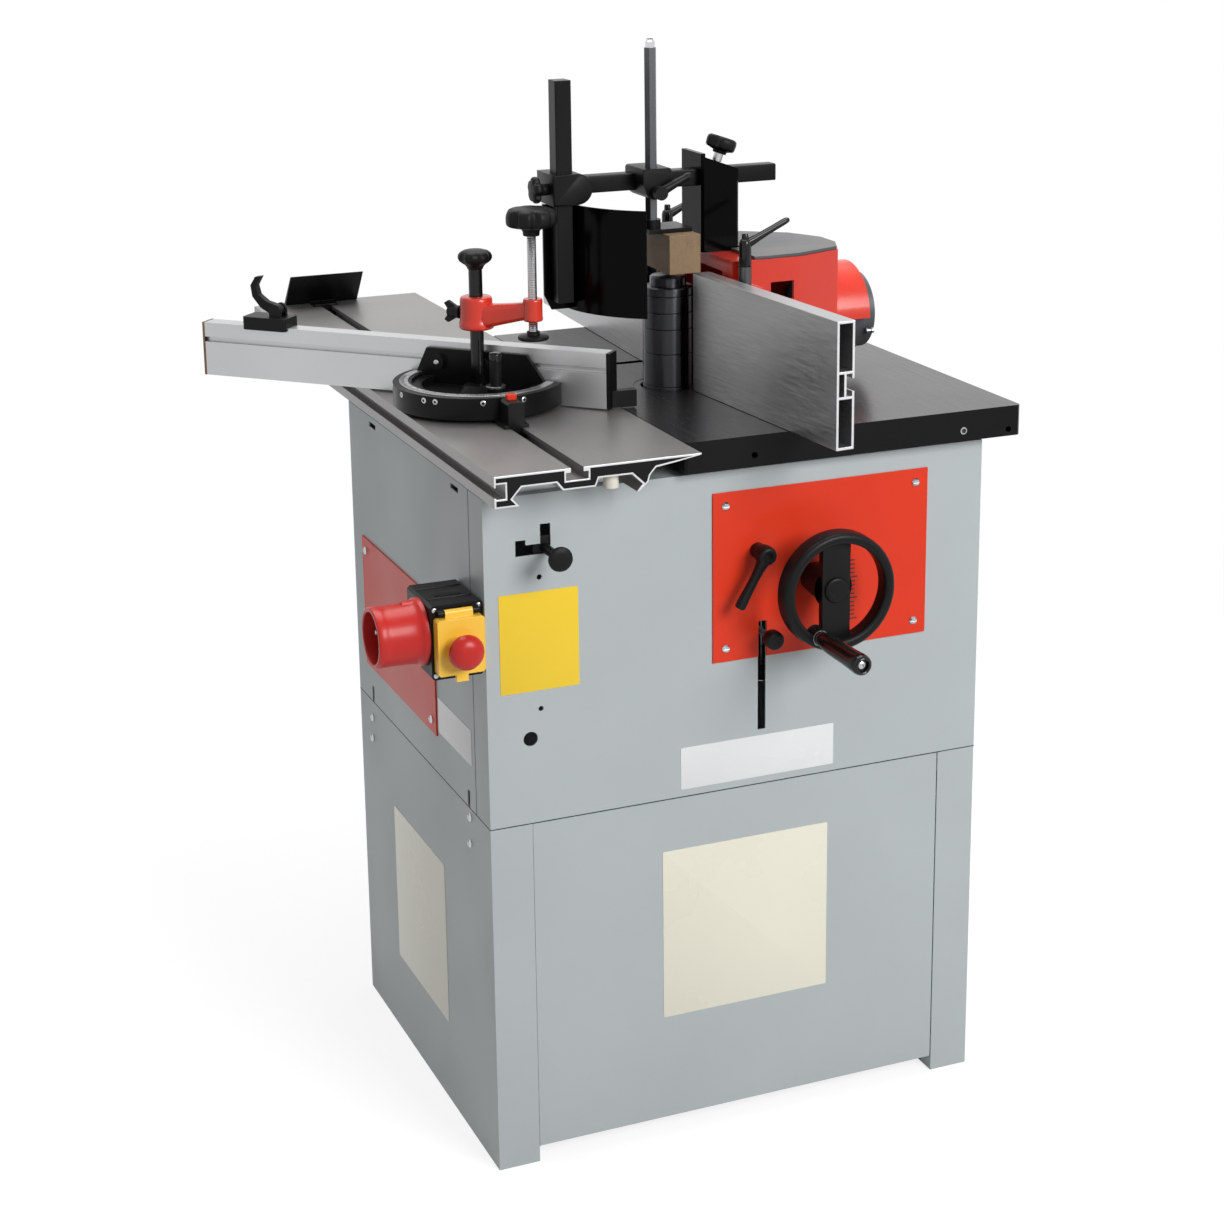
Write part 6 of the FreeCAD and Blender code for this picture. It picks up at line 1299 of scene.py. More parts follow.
@dataclass
class MitreGauge(Assembly):
    """Mitre gauge: foot, dial, fence, clamp and stop."""

    edge: float = 0.6
    centre: Point2 = (-223.65, 0.0)
    angle: float = -45.0
    scale_ring: Point2 = (82.0, 92.0)
    scale_top: float = 881.2
    tick_range: Tuple[int, int, int] = (-170, -9, 2)
    tick_group: int = 10
    tick_inset: Point2 = (0.8, 4.4)
    tick_half: float = 0.35
    tick_z: Point2 = (-0.1, 0.15)
    rim_radius: float = 99.4
    rim_screw_z: float = 874.5
    rim_screws: Tuple[float, ...] = (-152.0, -126.0, -102.5, -93.5, -61.0, -33.0)
    grip: Point2 = (38.3, -32.1)
    dial_top: float = 880.0
    wall_screws: Tuple[float, ...] = (-58.0, 0.0)
    wall_screw_n: float = 7.7
    wall_screw_z: float = 894.0
    post_knob_z: float = 1011.3
    post_bore: float = 8.1
    arm_angle: float = -49.0
    arm_reach: float = 75.0
    rod_radius: float = 5.5
    rod_gap: float = 0.1
    rod_bottom: float = 937.3
    rod_tip: float = 1.0
    thread_pitch: float = 2.0
    thread_depth: float = 0.7
    clamp_knob_z: float = 1055.0
    hub_radius: float = 18.9
    hub_screw_angle: float = -80.0
    hub_screw_z: float = 955.6
    pointer_x: Point2 = (-229.5, -217.5)
    pointer_y: Point2 = (-116.0, -105.0)
    pointer_z: Point2 = (880.0, 886.0)
    pointer_tip: float = 4.0
    pointer_corner: float = 1.6
    pointer_edge: float = 1.2
    cap_s: float = -385.0
    cap_n: Point2 = (19.0, 41.0)
    cap_z: Point2 = (852.0, 918.0)
    wood_skin: float = 0.05
    wood_depth: float = 2.9
    wood_proud: float = 0.2
    wood_edge: float = 0.15

    def build(self) -> None:
        """Dress the pieces of the gauge and build its knobs and small fittings."""
        self.shop.dress_all(
            ("mitre_foot", Skin.BLACK_METAL, self.edge),
            ("mitre_post", Skin.BLACK_GLOSS, self.edge),
            ("mitre_dial", Skin.BLACK_METAL, self.edge),
            ("dial_scale", Skin.SCALE, 0.2),
            ("mitre_fence", Skin.SMOOTH_ALLOY, 0.3),
            ("fence_caps", Skin.BLACK_METAL, 0.4),
            ("arm_lock_knob", Skin.BLACK_PLASTIC_AND_VOID_SHADE, 0.8),
            ("clamp_pad", Skin.BLACK_PLASTIC_AND_VOID_SHADE, 0.8),
            ("stop_block", Skin.BLACK_PLASTIC_AND_VOID_SHADE, 0.8),
            ("stop_lever", Skin.BLACK_METAL, 0.8))
        self._scale()
        self._dial_fittings()
        self._pointer()
        self._fence_edge()
        self._post_knob()
        self._clamp_arm()
        self._clamp_screw()
        self._hub_screw()

    def _way(self, degrees: float) -> Vector:
        """Level direction at an angle counted from the fence."""
        return level_way(self.angle + degrees)

    def _spot(self, along: float, across: float, z: float) -> Point3:
        """Place of a point given along the fence and across it.

        Args:
            along: Distance along the fence.
            across: Distance from the pivot towards the fence.
            z: Height.

        Returns:
            The point in the frame of the machine.
        """
        point = Vector((*self.centre, z)) + self._way(0.0) * along + self._way(90.0) * across
        return (point.x, point.y, point.z)

    def _scale(self) -> None:
        """Add the ink lines of the degree scale."""
        ticks = []
        low, high = (self.scale_top + rise for rise in self.tick_z)
        for degrees in range(*self.tick_range):
            inner = self.scale_ring[0] + self.tick_inset[0 if degrees % self.tick_group == 0 else 1]
            outer = self.scale_ring[1] - self.tick_inset[0]
            way = self._way(degrees)
            side = self._way(degrees + 90.0) * self.tick_half
            corners = [way * inner - side, way * outer - side, way * outer + side, way * inner + side]
            outline = [(self.centre[0] + corner.x, self.centre[1] + corner.y) for corner in corners]
            ticks.append(extrude("tick", outline, low, high, Axis.Z))
        self.shop.add(join("scale_lines", ticks), "mitre_head", Skin.INK_AND_SOCKET_SHADE)

    def _dial_fittings(self) -> None:
        """Build the screws round the rim and on the wall, and the washer and cap of the grip."""
        head = [(0.0, 0.5), (1.4, 0.5), (1.7, 1.5), (2.7, 1.4), (3.3, 0.9), (3.4, -0.8)]
        fittings = []
        for degrees in self.rim_screws:
            way = self._way(degrees)
            base = Vector((*self.centre, self.rim_screw_z)) + way * self.rim_radius
            fittings.append(lathe("rim_screw", head, tuple(base), tuple(way), steps=24))
        for along in self.wall_screws:
            base = self._spot(along, self.wall_screw_n, self.wall_screw_z)
            fittings.append(lathe("wall_screw", head, base, tuple(self._way(-90.0)), steps=24))
        ring = [(7.2, 0.0), (11.4, 0.0), (11.7, 0.3), (11.7, 2.3), (11.4, 2.6), (7.2, 2.6)]
        seat = self._spot(self.grip[0], self.grip[1], self.dial_top)
        fittings.append(lathe("grip_washer", ring, seat, Axis.Z.value, steps=48))
        self.shop.add(join("dial_fittings", fittings), "mitre_head", Skin.STEEL)
        cap = [(7.05, 32.0), (7.3, 33.5), (7.3, 39.0), (6.6, 40.6), (4.6, 41.3), (0.0, 41.5)]
        self.shop.add(lathe("grip_cap", cap, seat, Axis.Z.value, steps=48), "mitre_head", Skin.BLACK_GLOSS)

    def _pointer(self) -> None:
        """Build the red pointer on the foot."""
        left, right = self.pointer_x
        front, back = self.pointer_y
        tip = back - self.pointer_tip
        corners = [(left, front), (right, front), (right, tip), ((left + right) / 2, back), (left, tip)]
        outline = rounded(corners, self.pointer_corner)
        low, high = self.pointer_z
        pointer = extrude("red_pointer", outline, low, high, Axis.Z, self.pointer_edge)
        self.shop.add(pointer, "mitre_base", Skin.RED_PAINT)

    def _fence_edge(self) -> None:
        """Build the wooden edge on the far end of the fence."""
        along = (self.cap_s - self.wood_skin, self.cap_s + self.wood_depth)
        across = (self.cap_n[0] - self.wood_skin, self.cap_n[1] + self.wood_proud)
        outline = [self._spot(*corner, 0.0)[:2] for corner in rectangle(along, across)]
        low, high = (self.cap_z[0] - self.wood_proud, self.cap_z[1] + self.wood_proud)
        edge = extrude("fence_edge", outline, low, high, Axis.Z, self.wood_edge)
        self.shop.add(edge, "mitre_head", Skin.WOOD_EDGE)

    def _post_knob(self) -> None:
        """Build the round knob on top of the post."""
        profile = [(0.0, 0.0, 0.0), (9.0, 0.0, 0.0), (9.6, 2.0, 0.0), (11.5, 4.6, 0.2), (15.0, 7.0, 0.8),
                   (18.4, 9.6, 1.6), (20.0, 12.8, 2.0), (19.8, 16.0, 2.0), (18.2, 18.8, 1.6),
                   (15.2, 21.0, 0.9), (10.5, 22.3, 0.2), (4.0, 22.7, 0.0), (0.0, 22.71, 0.0)]
        seat = (*self.centre, self.post_knob_z)
        knob = lobed("post_grip_knob", profile, seat, Axis.Z.value, lobes=6, turn=20.0)
        self.shop.add(knob, "post_grip", Skin.BLACK_PLASTIC_AND_VOID_SHADE, ["post_knob"])

    def _clamp_arm(self) -> None:
        """Build the cast arm: hub on the post, swelling web and end hub."""
        bore = self.post_bore
        profile = [(bore, 941.0), (18.6, 941.0), (19.8, 941.8), (20.6, 943.6), (20.6, 947.4), (19.7, 950.0),
                   (19.0, 954.0), (18.8, 968.0), (19.0, 973.0), (18.8, 976.6), (17.8, 978.4), (16.6, 979.0),
                   (bore, 979.0), (bore, 941.0)]
        hub = lathe("arm_hub", profile, (*self.centre, 0.0), Axis.Z.value)
        way = level_way(self.arm_angle)
        steps = ((11.0, 957.0, 13.0, 14.2), (20.0, 958.0, 12.0, 13.8), (27.0, 959.4, 10.6, 12.8),
                 (40.0, 961.8, 9.4, 11.8), (55.0, 964.6, 8.8, 10.8), (64.0, 966.4, 8.8, 10.4),
                 (71.0, 967.6, 9.4, 10.8))
        path = [tuple(Vector((*self.centre, z)) + way * reach) for reach, z, _, _ in steps]
        web = sweep("arm_web", path, [(wide, high) for _, _, wide, high in steps], power=3.6, steps=48)
        spot = Vector((*self.centre, 0.0)) + way * self.arm_reach
        inner = self.rod_radius + self.rod_gap
        profile = [(inner, 956.0), (10.4, 956.0), (11.3, 956.9), (11.6, 958.6), (11.2, 962.0), (11.1, 974.0),
                   (11.4, 979.0), (11.2, 980.9), (10.2, 982.0), (inner, 982.0), (inner, 956.0)]
        end = lathe("arm_end", profile, tuple(spot), Axis.Z.value, steps=56)
        self.shop.add(join("cast_arm", [hub, web, end]), "arm", Skin.RED_CAST, ["clamp_arm"])

    def _clamp_screw(self) -> None:
        """Build the threaded clamp screw with its black star knob."""
        turn = math.radians(self.arm_angle)
        x = self.centre[0] + self.arm_reach * math.cos(turn)
        y = self.centre[1] + self.arm_reach * math.sin(turn)
        profile = [(0.0, self.rod_bottom), (self.rod_radius - self.rod_tip, self.rod_bottom)]
        height = self.rod_bottom + self.rod_tip
        while height < self.clamp_knob_z - self.rod_tip:
            profile += [(self.rod_radius, height),
                        (self.rod_radius - self.thread_depth, height + self.thread_pitch / 2)]
            height += self.thread_pitch
        profile += [(self.rod_radius, height), (self.rod_radius, self.clamp_knob_z + 2.0)]
        rod = self._turned(Skin.STEEL, "clamp_rod", profile, (x, y, 0.0), Axis.Z.value, steps=40)
        star = [(0.0, 0.0, 0.0), (9.0, 0.01, 0.0), (9.5, 0.8, 0.0), (9.9, 5.0, 0.0), (12.0, 8.0, 0.2),
                (20.0, 9.5, 1.8), (26.0, 11.0, 3.8), (28.6, 13.0, 4.6), (29.5, 16.0, 4.8), (29.5, 22.0, 4.8),
                (28.8, 26.0, 4.6), (26.5, 29.5, 3.6), (22.0, 31.4, 1.8), (16.0, 32.0, 0.4),
                (10.0, 31.2, 0.0), (6.0, 30.81, 0.0), (0.0, 30.8, 0.0)]
        seat = (x, y, self.clamp_knob_z)
        knob = lobed("clamp_star", star, seat, Axis.Z.value, lobes=7, turn=self.arm_angle)
        self.shop.paint(knob, Skin.BLACK_PLASTIC_AND_VOID_SHADE)
        self.shop.add(join("clamp_screw_knob", [rod, knob]), "screw_grip", Skin.STEEL, ["clamp_screw"])

    def _hub_screw(self) -> None:
        """Build the set screw in the hub of the arm."""
        way = level_way(self.hub_screw_angle)
        base = Vector((*self.centre, self.hub_screw_z)) + way * self.hub_radius
        profile = [(0.0, -1.6), (2.2, -1.6), (2.4, 0.2), (3.6, 0.2), (3.7, -0.4)]
        socket = lathe("hub_screw", profile, tuple(base), tuple(way), steps=24)
        self.shop.add(socket, "arm", Skin.BLACK_METAL)


@dataclass
class FrontControls(Assembly):
    """Handwheel, crank, levers and knobs on the front of the cabinet."""

    wheel: Point2 = (88.0, 671.0)
    wheel_radius: float = 70.0
    rim_width: float = 14.0
    rim_depth: float = 26.0
    rim_draft: Point2 = (1.0, 2.0)
    rim_corner: float = 6.5
    wheel_front: float = -328.0
    spoke_width: float = 38.0
    spoke_thickness: float = 9.0
    spoke_back: float = -305.5
    spoke_waist: float = 1.5
    spoke_edge: float = 2.2
    dimple: Point2 = (5.0, 6.0)
    cap_radius: float = 15.0
    hub_radius: float = 21.0
    hub_back: float = -258.0
    shaft_radius: float = 7.0
    shaft_end: float = -131.5
    crank: Point2 = (61.0, 622.0)
    crank_seat: float = -328.3
    lever: Point2 = (17.0, 711.0)
    lever_back: float = -255.3
    lever_arm_y: float = -279.5
    lever_angle: float = 60.0
    tension: Point2 = (24.5, 611.0)
    tension_front: float = -292.0
    lock: Point2 = (-238.0, 745.0)
    lock_front: float = -303.0
    sheet_inside: float = -250.7
    shoe_half: float = 14.0
    shoe_thickness: float = 4.0
    shoe_edge: float = 0.6

    def build(self) -> None:
        """Build the controls."""
        self._handwheel()
        self._crank()
        self._lock_lever()
        self._knobs()

    def _handwheel(self) -> None:
        """Build the dished wheel with its spoke, hub and shaft."""
        x, z = self.wheel
        inner = self.wheel_radius - self.rim_width
        outer = self.wheel_radius
        corners = [(inner, 0.0), (outer - self.rim_draft[0], 0.0), (outer, self.rim_depth),
                   (inner + self.rim_draft[1], self.rim_depth)]
        section = rounded(corners, self.rim_corner, steps=6)
        rim = lathe("rim", section + [section[0]], (x, self.wheel_front, z), Axis.Y.value, steps=112)
        half = self.spoke_width / 2
        reach = inner + self.rim_width / 2
        waist = half - self.spoke_waist
        sides = [(half, -reach), (waist, -reach / 2), (waist, reach / 2), (half, reach)]
        outline = [(x + side, z + rise) for side, rise in sides]
        outline += [(x - side, z + rise) for side, rise in reversed(sides)]
        front = self.spoke_back - self.spoke_thickness
        spoke = extrude("spoke", outline, front, self.spoke_back, Axis.Y, self.spoke_edge)
        profile = [(0.0, -3.4), (11.0, -3.4), (13.4, -3.1), (14.6, -2.2), (self.cap_radius, -0.8),
                   (self.cap_radius, 2.0)]
        cap = lathe("cap", profile, (x, front, z), Axis.Y.value)
        profile = [(0.0, -3.6), (1.0, -3.6), (1.4, -3.3)]
        spot = (x - self.dimple[0], front, z - self.dimple[1])
        dimple = lathe("cap_dimple", profile, spot, Axis.Y.value, steps=16)
        profile = [(self.hub_radius + 3.0, self.spoke_back - 0.5),
                   (self.hub_radius + 0.6, self.spoke_back + 2.0), (self.hub_radius, self.spoke_back + 5.0),
                   (self.hub_radius - 3.5, self.hub_back - 1.0), (self.hub_radius - 4.5, self.hub_back),
                   (self.shaft_radius, self.hub_back), (self.shaft_radius, self.shaft_end),
                   (11.0, self.shaft_end), (5.5, self.shaft_end + 5.5), (0.0, self.shaft_end + 5.5)]
        hub = lathe("hub", profile, (x, 0.0, z), Axis.Y.value)
        profile = [(0.0, 0.0), (8.0, 0.0), (8.8, 0.4), (9.0, 1.2), (9.0, 9.0), (9.8, 12.0), (11.5, 14.2)]
        seat = (self.crank[0], self.wheel_front, self.crank[1])
        boss = lathe("crank_boss", profile, seat, Axis.Y.value, steps=40)
        wheel = join("handwheel_casting", [rim, spoke, cap, dimple, hub, boss])
        self.shop.add(wheel, "wheel", Skin.BLACK_PLASTIC_AND_VOID_SHADE, ["handwheel"])

    def _crank(self) -> None:
        """Build the turning grip with its neck ring and end screw."""
        base = (self.crank[0], self.crank_seat, self.crank[1])
        profile = [(4.1, 1.4), (8.2, 1.4), (8.6, 1.8), (8.6, 4.6), (7.8, 5.4), (7.5, 6.6), (7.9, 8.2),
                   (9.0, 13.0), (10.1, 21.0), (10.7, 32.0), (10.9, 46.0), (10.9, 62.0), (11.2, 76.0),
                   (11.8, 88.0), (12.0, 94.0), (11.8, 98.6), (11.0, 101.6), (9.6, 103.4), (8.2, 104.0),
                   (7.3, 103.5), (6.9, 102.2), (6.7, 98.5), (0.0, 98.2)]
        grip = self._turned(Skin.BLACK_GLOSS, "grip", profile, base, Axis.FRONT.value)
        profile = [(4.1, 0.0), (8.9, 0.0), (9.1, 0.3), (9.1, 1.1), (8.9, 1.4), (4.1, 1.4)]
        ring = self._turned(Skin.STEEL, "neck_ring", profile, base, Axis.FRONT.value)
        profile = [(0.0, 99.6), (1.4, 99.6), (1.7, 101.4), (4.2, 101.0), (5.1, 100.2), (5.3, 98.4)]
        screw = self._turned(Skin.STEEL, "end_screw", profile, base, Axis.FRONT.value, steps=32)
        self.shop.add(join("crank_grip", [grip, ring, screw]), "crank", Skin.BLACK_GLOSS, ["crank_handle"])

    def _lock_lever(self) -> None:
        """Build the clamping lever that locks the height."""
        x, z = self.lever
        profile = [(0.0, 0.0), (8.4, 0.0), (9.0, 0.6), (9.0, 11.0), (9.6, 13.0), (10.8, 15.0), (11.0, 17.0),
                   (11.0, 27.0), (10.4, 29.6), (8.8, 31.2), (6.4, 31.7), (4.6, 31.4), (4.3, 29.5),
                   (0.0, 29.2)]
        hub = lathe("lever_hub", profile, (x, self.lever_back, z), Axis.FRONT.value)
        angle = math.radians(self.lever_angle)
        steps = ((0.0, 7.2, 7.0), (9.0, 7.0, 6.4), (18.0, 5.6, 5.2), (30.0, 5.0, 4.7), (44.0, 5.3, 4.9),
                 (56.0, 5.9, 5.3), (63.0, 6.1, 5.4), (66.2, 5.7, 5.0), (67.3, 4.6, 4.0))
        path = [(x - math.cos(angle) * reach, self.lever_arm_y, z - math.sin(angle) * reach)
                for reach, _, _ in steps]
        arm = sweep("lever_arm", path, [(wide, deep) for _, wide, deep in steps], power=3.2, steps=32)
        profile = [(0.0, -8.6), (9.0, -8.6), (9.0, -4.6), (5.0, -4.6), (5.0, 0.5)]
        stud = lathe("lever_stud", profile, (x, self.lever_back, z), Axis.FRONT.value, steps=40)
        lever = join("lock_lever", [hub, arm, stud])
        self.shop.add(lever, "lift_lock", Skin.BLACK_PLASTIC_AND_VOID_SHADE, ["lift_lock_lever"])

    def _knobs(self) -> None:
        """Build the tension knob and the spindle lock knob."""
        base = (self.tension[0], self.tension_front, self.tension[1])
        profile = [(0.0, 0.6), (4.0, 0.5), (7.4, 0.1), (9.4, 0.7), (10.6, 2.2), (11.0, 4.2), (11.0, 12.6),
                   (10.5, 15.2), (9.2, 17.2), (7.3, 18.0), (4.1, 18.0), (4.1, 9.0), (0.0, 9.0)]
        knob = lathe("tension_grip", profile, base, Axis.Y.value)
        self.shop.add(knob, "tension", Skin.BLACK_PLASTIC_AND_VOID_SHADE, ["tension_knob"])
        x, z = self.lock
        base = (x, self.lock_front, z)
        end = self.sheet_inside - self.lock_front
        profile = [(0.0, 0.0), (7.0, 0.2), (11.4, 0.9), (13.4, 2.2), (14.0, 4.2), (13.7, 6.0), (12.2, 8.4),
                   (10.0, 11.6), (8.8, 14.6), (8.4, 16.0), (5.5, 16.0), (5.5, end + 1.0)]
        head = lathe("lock_head", profile, base, Axis.Y.value)
        half = self.shoe_half
        square = rectangle((x - half, x + half), (z - half, z + half))
        back = self.sheet_inside + self.shoe_thickness
        shoe = extrude("lock_shoe", square, self.sheet_inside, back, Axis.Y, self.shoe_edge)
        grip = join("lock_grip", [head, shoe])
        self.shop.add(grip, "spindle_lock", Skin.BLACK_PLASTIC_AND_VOID_SHADE, ["spindle_lock_knob"])


@dataclass
class FenceHood(Assembly):
    """Two fences with the red dust hood between them."""

    edge: float = 0.5
    studs: Tuple[Point2, Point2] = ((72.0, -106.0), (77.0, 132.0))
    stud_bottom: float = 830.0
    stud_radius: float = 5.0
    sleeve_radius: float = 7.5
    sleeve_z: Point2 = (985.3, 1008.0)
    hub_top: float = 1040.0
    arm_length: float = 53.0
    arm_rise: float = 25.0
    arm_drop: float = 6.5
    sleeve_chamfer: float = 0.4
    clamp_screw: Point3 = (262.0, -51.0, 904.0)

    def build(self) -> None:
        """Dress the fences and the hood, and build the clamping levers and the hose screw."""
        for node in ("front_fence", "rear_fence"):
            self.shop.dress(node, Skin.FENCE, self.edge)
            self.shop.face_skin(node, Skin.SAWN_END, end_face)
        self.shop.dress_all(
            ("hood_shell", Skin.RED_CAST, 1.5),
            ("hood_lid", Skin.LID, 0.6),
            ("extraction_spigot", Skin.LID, 0.5),
            ("guard_post", Skin.SHIELD, 2.4))
        self._lever(self.studs[0], "lever_front", "hood_lever_front")
        self._lever(self.studs[1], "lever_rear", "hood_lever_rear")
        self._hose_screw()

    def _lever(self, stud: Point2, body: str, node: str) -> None:
        """Build a clamping lever with its stud and sleeve.

        Args:
            stud: Place of the stud in plan.
            body: Body that the lever moves with.
            node: Node that it takes the place of.
        """
        x, y = stud
        low, high = self.sleeve_z
        profile = [(0.0, self.stud_bottom), (self.stud_radius, self.stud_bottom), (self.stud_radius, low),
                   (self.sleeve_radius - self.sleeve_chamfer, low),
                   (self.sleeve_radius, low + self.sleeve_chamfer), (self.sleeve_radius, high)]
        shank = self._turned(Skin.DARK_STEEL, "lever_shank", profile, (x, y, 0.0), Axis.Z.value, steps=40)
        top = self.hub_top
        profile = [(0.0, high), (7.2, high), (7.6, high + 0.6), (7.2, top - 14.0), (7.0, top - 5.0),
                   (6.2, top - 1.6), (4.8, top), (4.0, top + 0.2), (3.8, top + 6.0), (3.2, top + 7.0),
                   (0.0, top + 7.2)]
        hub = lathe("lever_hub", profile, (x, y, 0.0), Axis.Z.value, steps=48)
        steps = ((0.0, 5.6, 5.4), (0.14, 5.6, 5.0), (0.3, 5.0, 4.2), (0.52, 4.6, 3.6), (0.75, 4.6, 3.4),
                 (0.92, 4.7, 3.4), (1.0, 4.4, 3.2), (1.05, 3.4, 2.4), (1.065, 2.0, 1.4))
        path = [(x + self.arm_length * part, y, top - self.arm_drop + self.arm_rise * part)
                for part, _, _ in steps]
        arm = sweep("lever_arm", path, [(wide, deep) for _, wide, deep in steps], power=3.0, steps=32)
        for piece in (hub, arm):
            self.shop.paint(piece, Skin.BLACK_GLOSS)
        self.shop.add(join(node + "_grip", [shank, hub, arm]), body, Skin.BLACK_PLASTIC_AND_VOID_SHADE, [node])

    def _hose_screw(self) -> None:
        """Build the small screw that holds a hose on the spigot."""
        profile = [(0.0, 0.0), (4.0, 0.0), (4.0, 1.0), (2.2, 1.2), (2.2, 7.0), (3.4, 7.2), (3.6, 10.0),
                   (2.6, 11.0), (0.0, 11.2)]
        screw = lathe("hose_screw", profile, self.clamp_screw, Axis.X.value, steps=24)
        self.shop.add(screw, "hood", Skin.STEEL)


@dataclass
class Guard(Assembly):
    """Pressure guard: bar, hexagon rod, wooden presser, upright and shield."""

    edge: float = 0.6
    knob_seat: Point3 = (84.0, 0.0, 1117.0)
    knob_tilt: float = 20.0
    knob_stud: float = 12.0
    bar_x: Point2 = (-135.0, 158.0)
    bar_half: float = 10.0
    bar_z: float = 1101.0
    bar_corner: float = 1.4
    bar_rim: float = 0.7
    cast_y: Point2 = (-40.0, 15.0)
    cast_z: Point2 = (1083.0, 1119.0)
    shoulder: Point2 = (5.0, 4.0)
    nose: float = 11.0
    presser_corner: float = 2.5
    presser_rim: float = 1.8
    end_rim: float = 2.0
    presser_x: Point2 = (-28.0, 8.0)
    end_x: Point2 = (-140.0, -91.0)
    bow_step: int = 12
    end_seat: Point3 = (-140.0, -22.0, 1101.0)
    end_sink: float = 6.2
    stud_radius: float = 4.0
    rod: Point2 = (-11.4, -24.0)
    rod_top: float = 1258.0
    rod_stud_top: float = 1266.0
    rod_tip_z: float = 1268.0
    rod_stud_radius: float = 5.6
    bracket_top: float = 1058.5

    def build(self) -> None:
        """Dress the guard and build its bar, knobs and stud."""
        self.shop.dress("hex_rod", Skin.DARK_STEEL, 0.3)
        limit = self.bracket_top * MM
        self.shop.face_skin("hex_rod", Skin.BLACK_METAL, lambda normal, centre: centre.z < limit)
        self.shop.dress_all(
            ("presser_block", Skin.WOOD, 0.8),
            ("presser_lever", Skin.BLACK_PLASTIC_AND_VOID_SHADE, 0.8),
            ("guard_upright", Skin.BLACK_METAL, self.edge),
            ("shield", Skin.SHIELD, 0.5))
        self._bar()
        self._post_knob()
        self._end_knob()
        self._rod_stud()

    def _bar(self) -> None:
        """Build the square bar with its two cast clamps."""
        half = self.bar_half
        middle = self.bar_z
        square = rectangle((-half, half), (middle - half, middle + half))
        square = rounded(square, self.bar_corner)
        bar = extrude("square_bar", square, self.bar_x[0], self.bar_x[1], Axis.X, self.bar_rim)
        low, high = self.cast_z
        left, right = self.presser_x
        front, back = self.cast_y
        inset, rise = self.shoulder
        drop = [(left, high), (left, middle), (left + inset, low + rise), (left + self.nose, low),
                (right - self.nose, low), (right - inset, low + rise), (right, middle), (right, high)]
        drop = rounded(drop, self.presser_corner)
        presser = extrude("presser_clamp", drop, front, back, Axis.Y, self.presser_rim)
        left, right = self.end_x
        radius = (high - low) / 2
        turns = [math.radians(degrees) for degrees in range(0, 181, self.bow_step)]
        bow = [(right - radius + radius * math.sin(turn), middle - radius * math.cos(turn)) for turn in turns]
        outline = [(left, high), (left, low)] + bow
        end = extrude("end_clamp", outline, front, back, Axis.Y, self.end_rim)
        self.shop.add(join("clamp_bar", [bar, presser, end]), "guard", Skin.BLACK_METAL, ["guard_bar"])

    def _post_knob(self) -> None:
        """Build the tilted star knob with its bright stud."""
        tilt = math.radians(self.knob_tilt)
        axis = (math.sin(tilt), 0.0, math.cos(tilt))
        radius = self.stud_radius
        profile = [(0.0, -radius), (radius, -radius), (radius, 0.6), (5.6, 0.8), (5.6, self.knob_stud + 1.0)]
        stud = self._turned(Skin.STEEL, "knob_stud", profile, self.knob_seat, axis, steps=32)
        low = self.knob_stud
        star = [(0.0, low - 2.0, 0.0), (7.6, low - 1.99, 0.0), (8.2, low - 1.2, 0.0), (8.8, low + 1.0, 0.2),
                (13.0, low + 2.2, 1.8), (17.4, low + 3.4, 4.2), (19.2, low + 5.6, 5.4),
                (19.6, low + 12.6, 5.6), (18.8, low + 16.0, 5.0), (16.0, low + 17.8, 3.4),
                (10.0, low + 18.0, 1.0), (5.0, low + 17.2, 0.0), (0.0, low + 17.0, 0.0)]
        knob = lobed("knob_star", star, self.knob_seat, axis, lobes=3, turn=90.0)
        self.shop.paint(knob, Skin.BLACK_PLASTIC_AND_VOID_SHADE)
        grip = join("guard_star_knob", [stud, knob])
        self.shop.add(grip, "guard_grip", Skin.BLACK_PLASTIC_AND_VOID_SHADE, ["guard_post_knob"])

    def _end_knob(self) -> None:
        """Build the star knob that locks the upright."""
        radius = self.stud_radius
        profile = [(0.0, -self.end_sink), (radius, -self.end_sink), (radius, 1.0)]
        stud = self._turned(Skin.STEEL, "end_stud", profile, self.end_seat, Axis.LEFT.value, steps=32)
        star = [(0.0, 0.3, 0.0), (6.4, 0.31, 0.0), (6.8, 1.0, 0.0), (7.0, 7.0, 0.0), (7.6, 9.6, 0.2),
                (10.0, 11.0, 1.2), (13.4, 11.8, 2.6), (15.2, 13.2, 3.6), (15.6, 15.4, 3.8),
                (15.2, 18.2, 3.6), (13.6, 20.0, 2.6), (10.0, 21.0, 1.0), (0.0, 21.3, 0.0)]
        knob = lobed("end_star", star, self.end_seat, Axis.LEFT.value, lobes=5, turn=30.0)
        self.shop.paint(knob, Skin.BLACK_PLASTIC_AND_VOID_SHADE)
        self.shop.add(join("end_star_knob", [stud, knob]), "end_grip", Skin.BLACK_PLASTIC_AND_VOID_SHADE, ["end_clamp_knob"])

    def _rod_stud(self) -> None:
        """Build the bright stud on top of the hexagon rod."""
        radius = self.rod_stud_radius
        top = self.rod_stud_top
        profile = [(radius, self.rod_top), (radius, top - 1.2), (radius - 1.2, top), (4.2, top),
                   (4.1, top + 1.4), (3.4, self.rod_tip_z), (0.0, self.rod_tip_z)]
        stud = lathe("rod_stud", profile, (*self.rod, 0.0), Axis.Z.value, steps=32)
        self.shop.add(stud, "presser", Skin.CHROME)


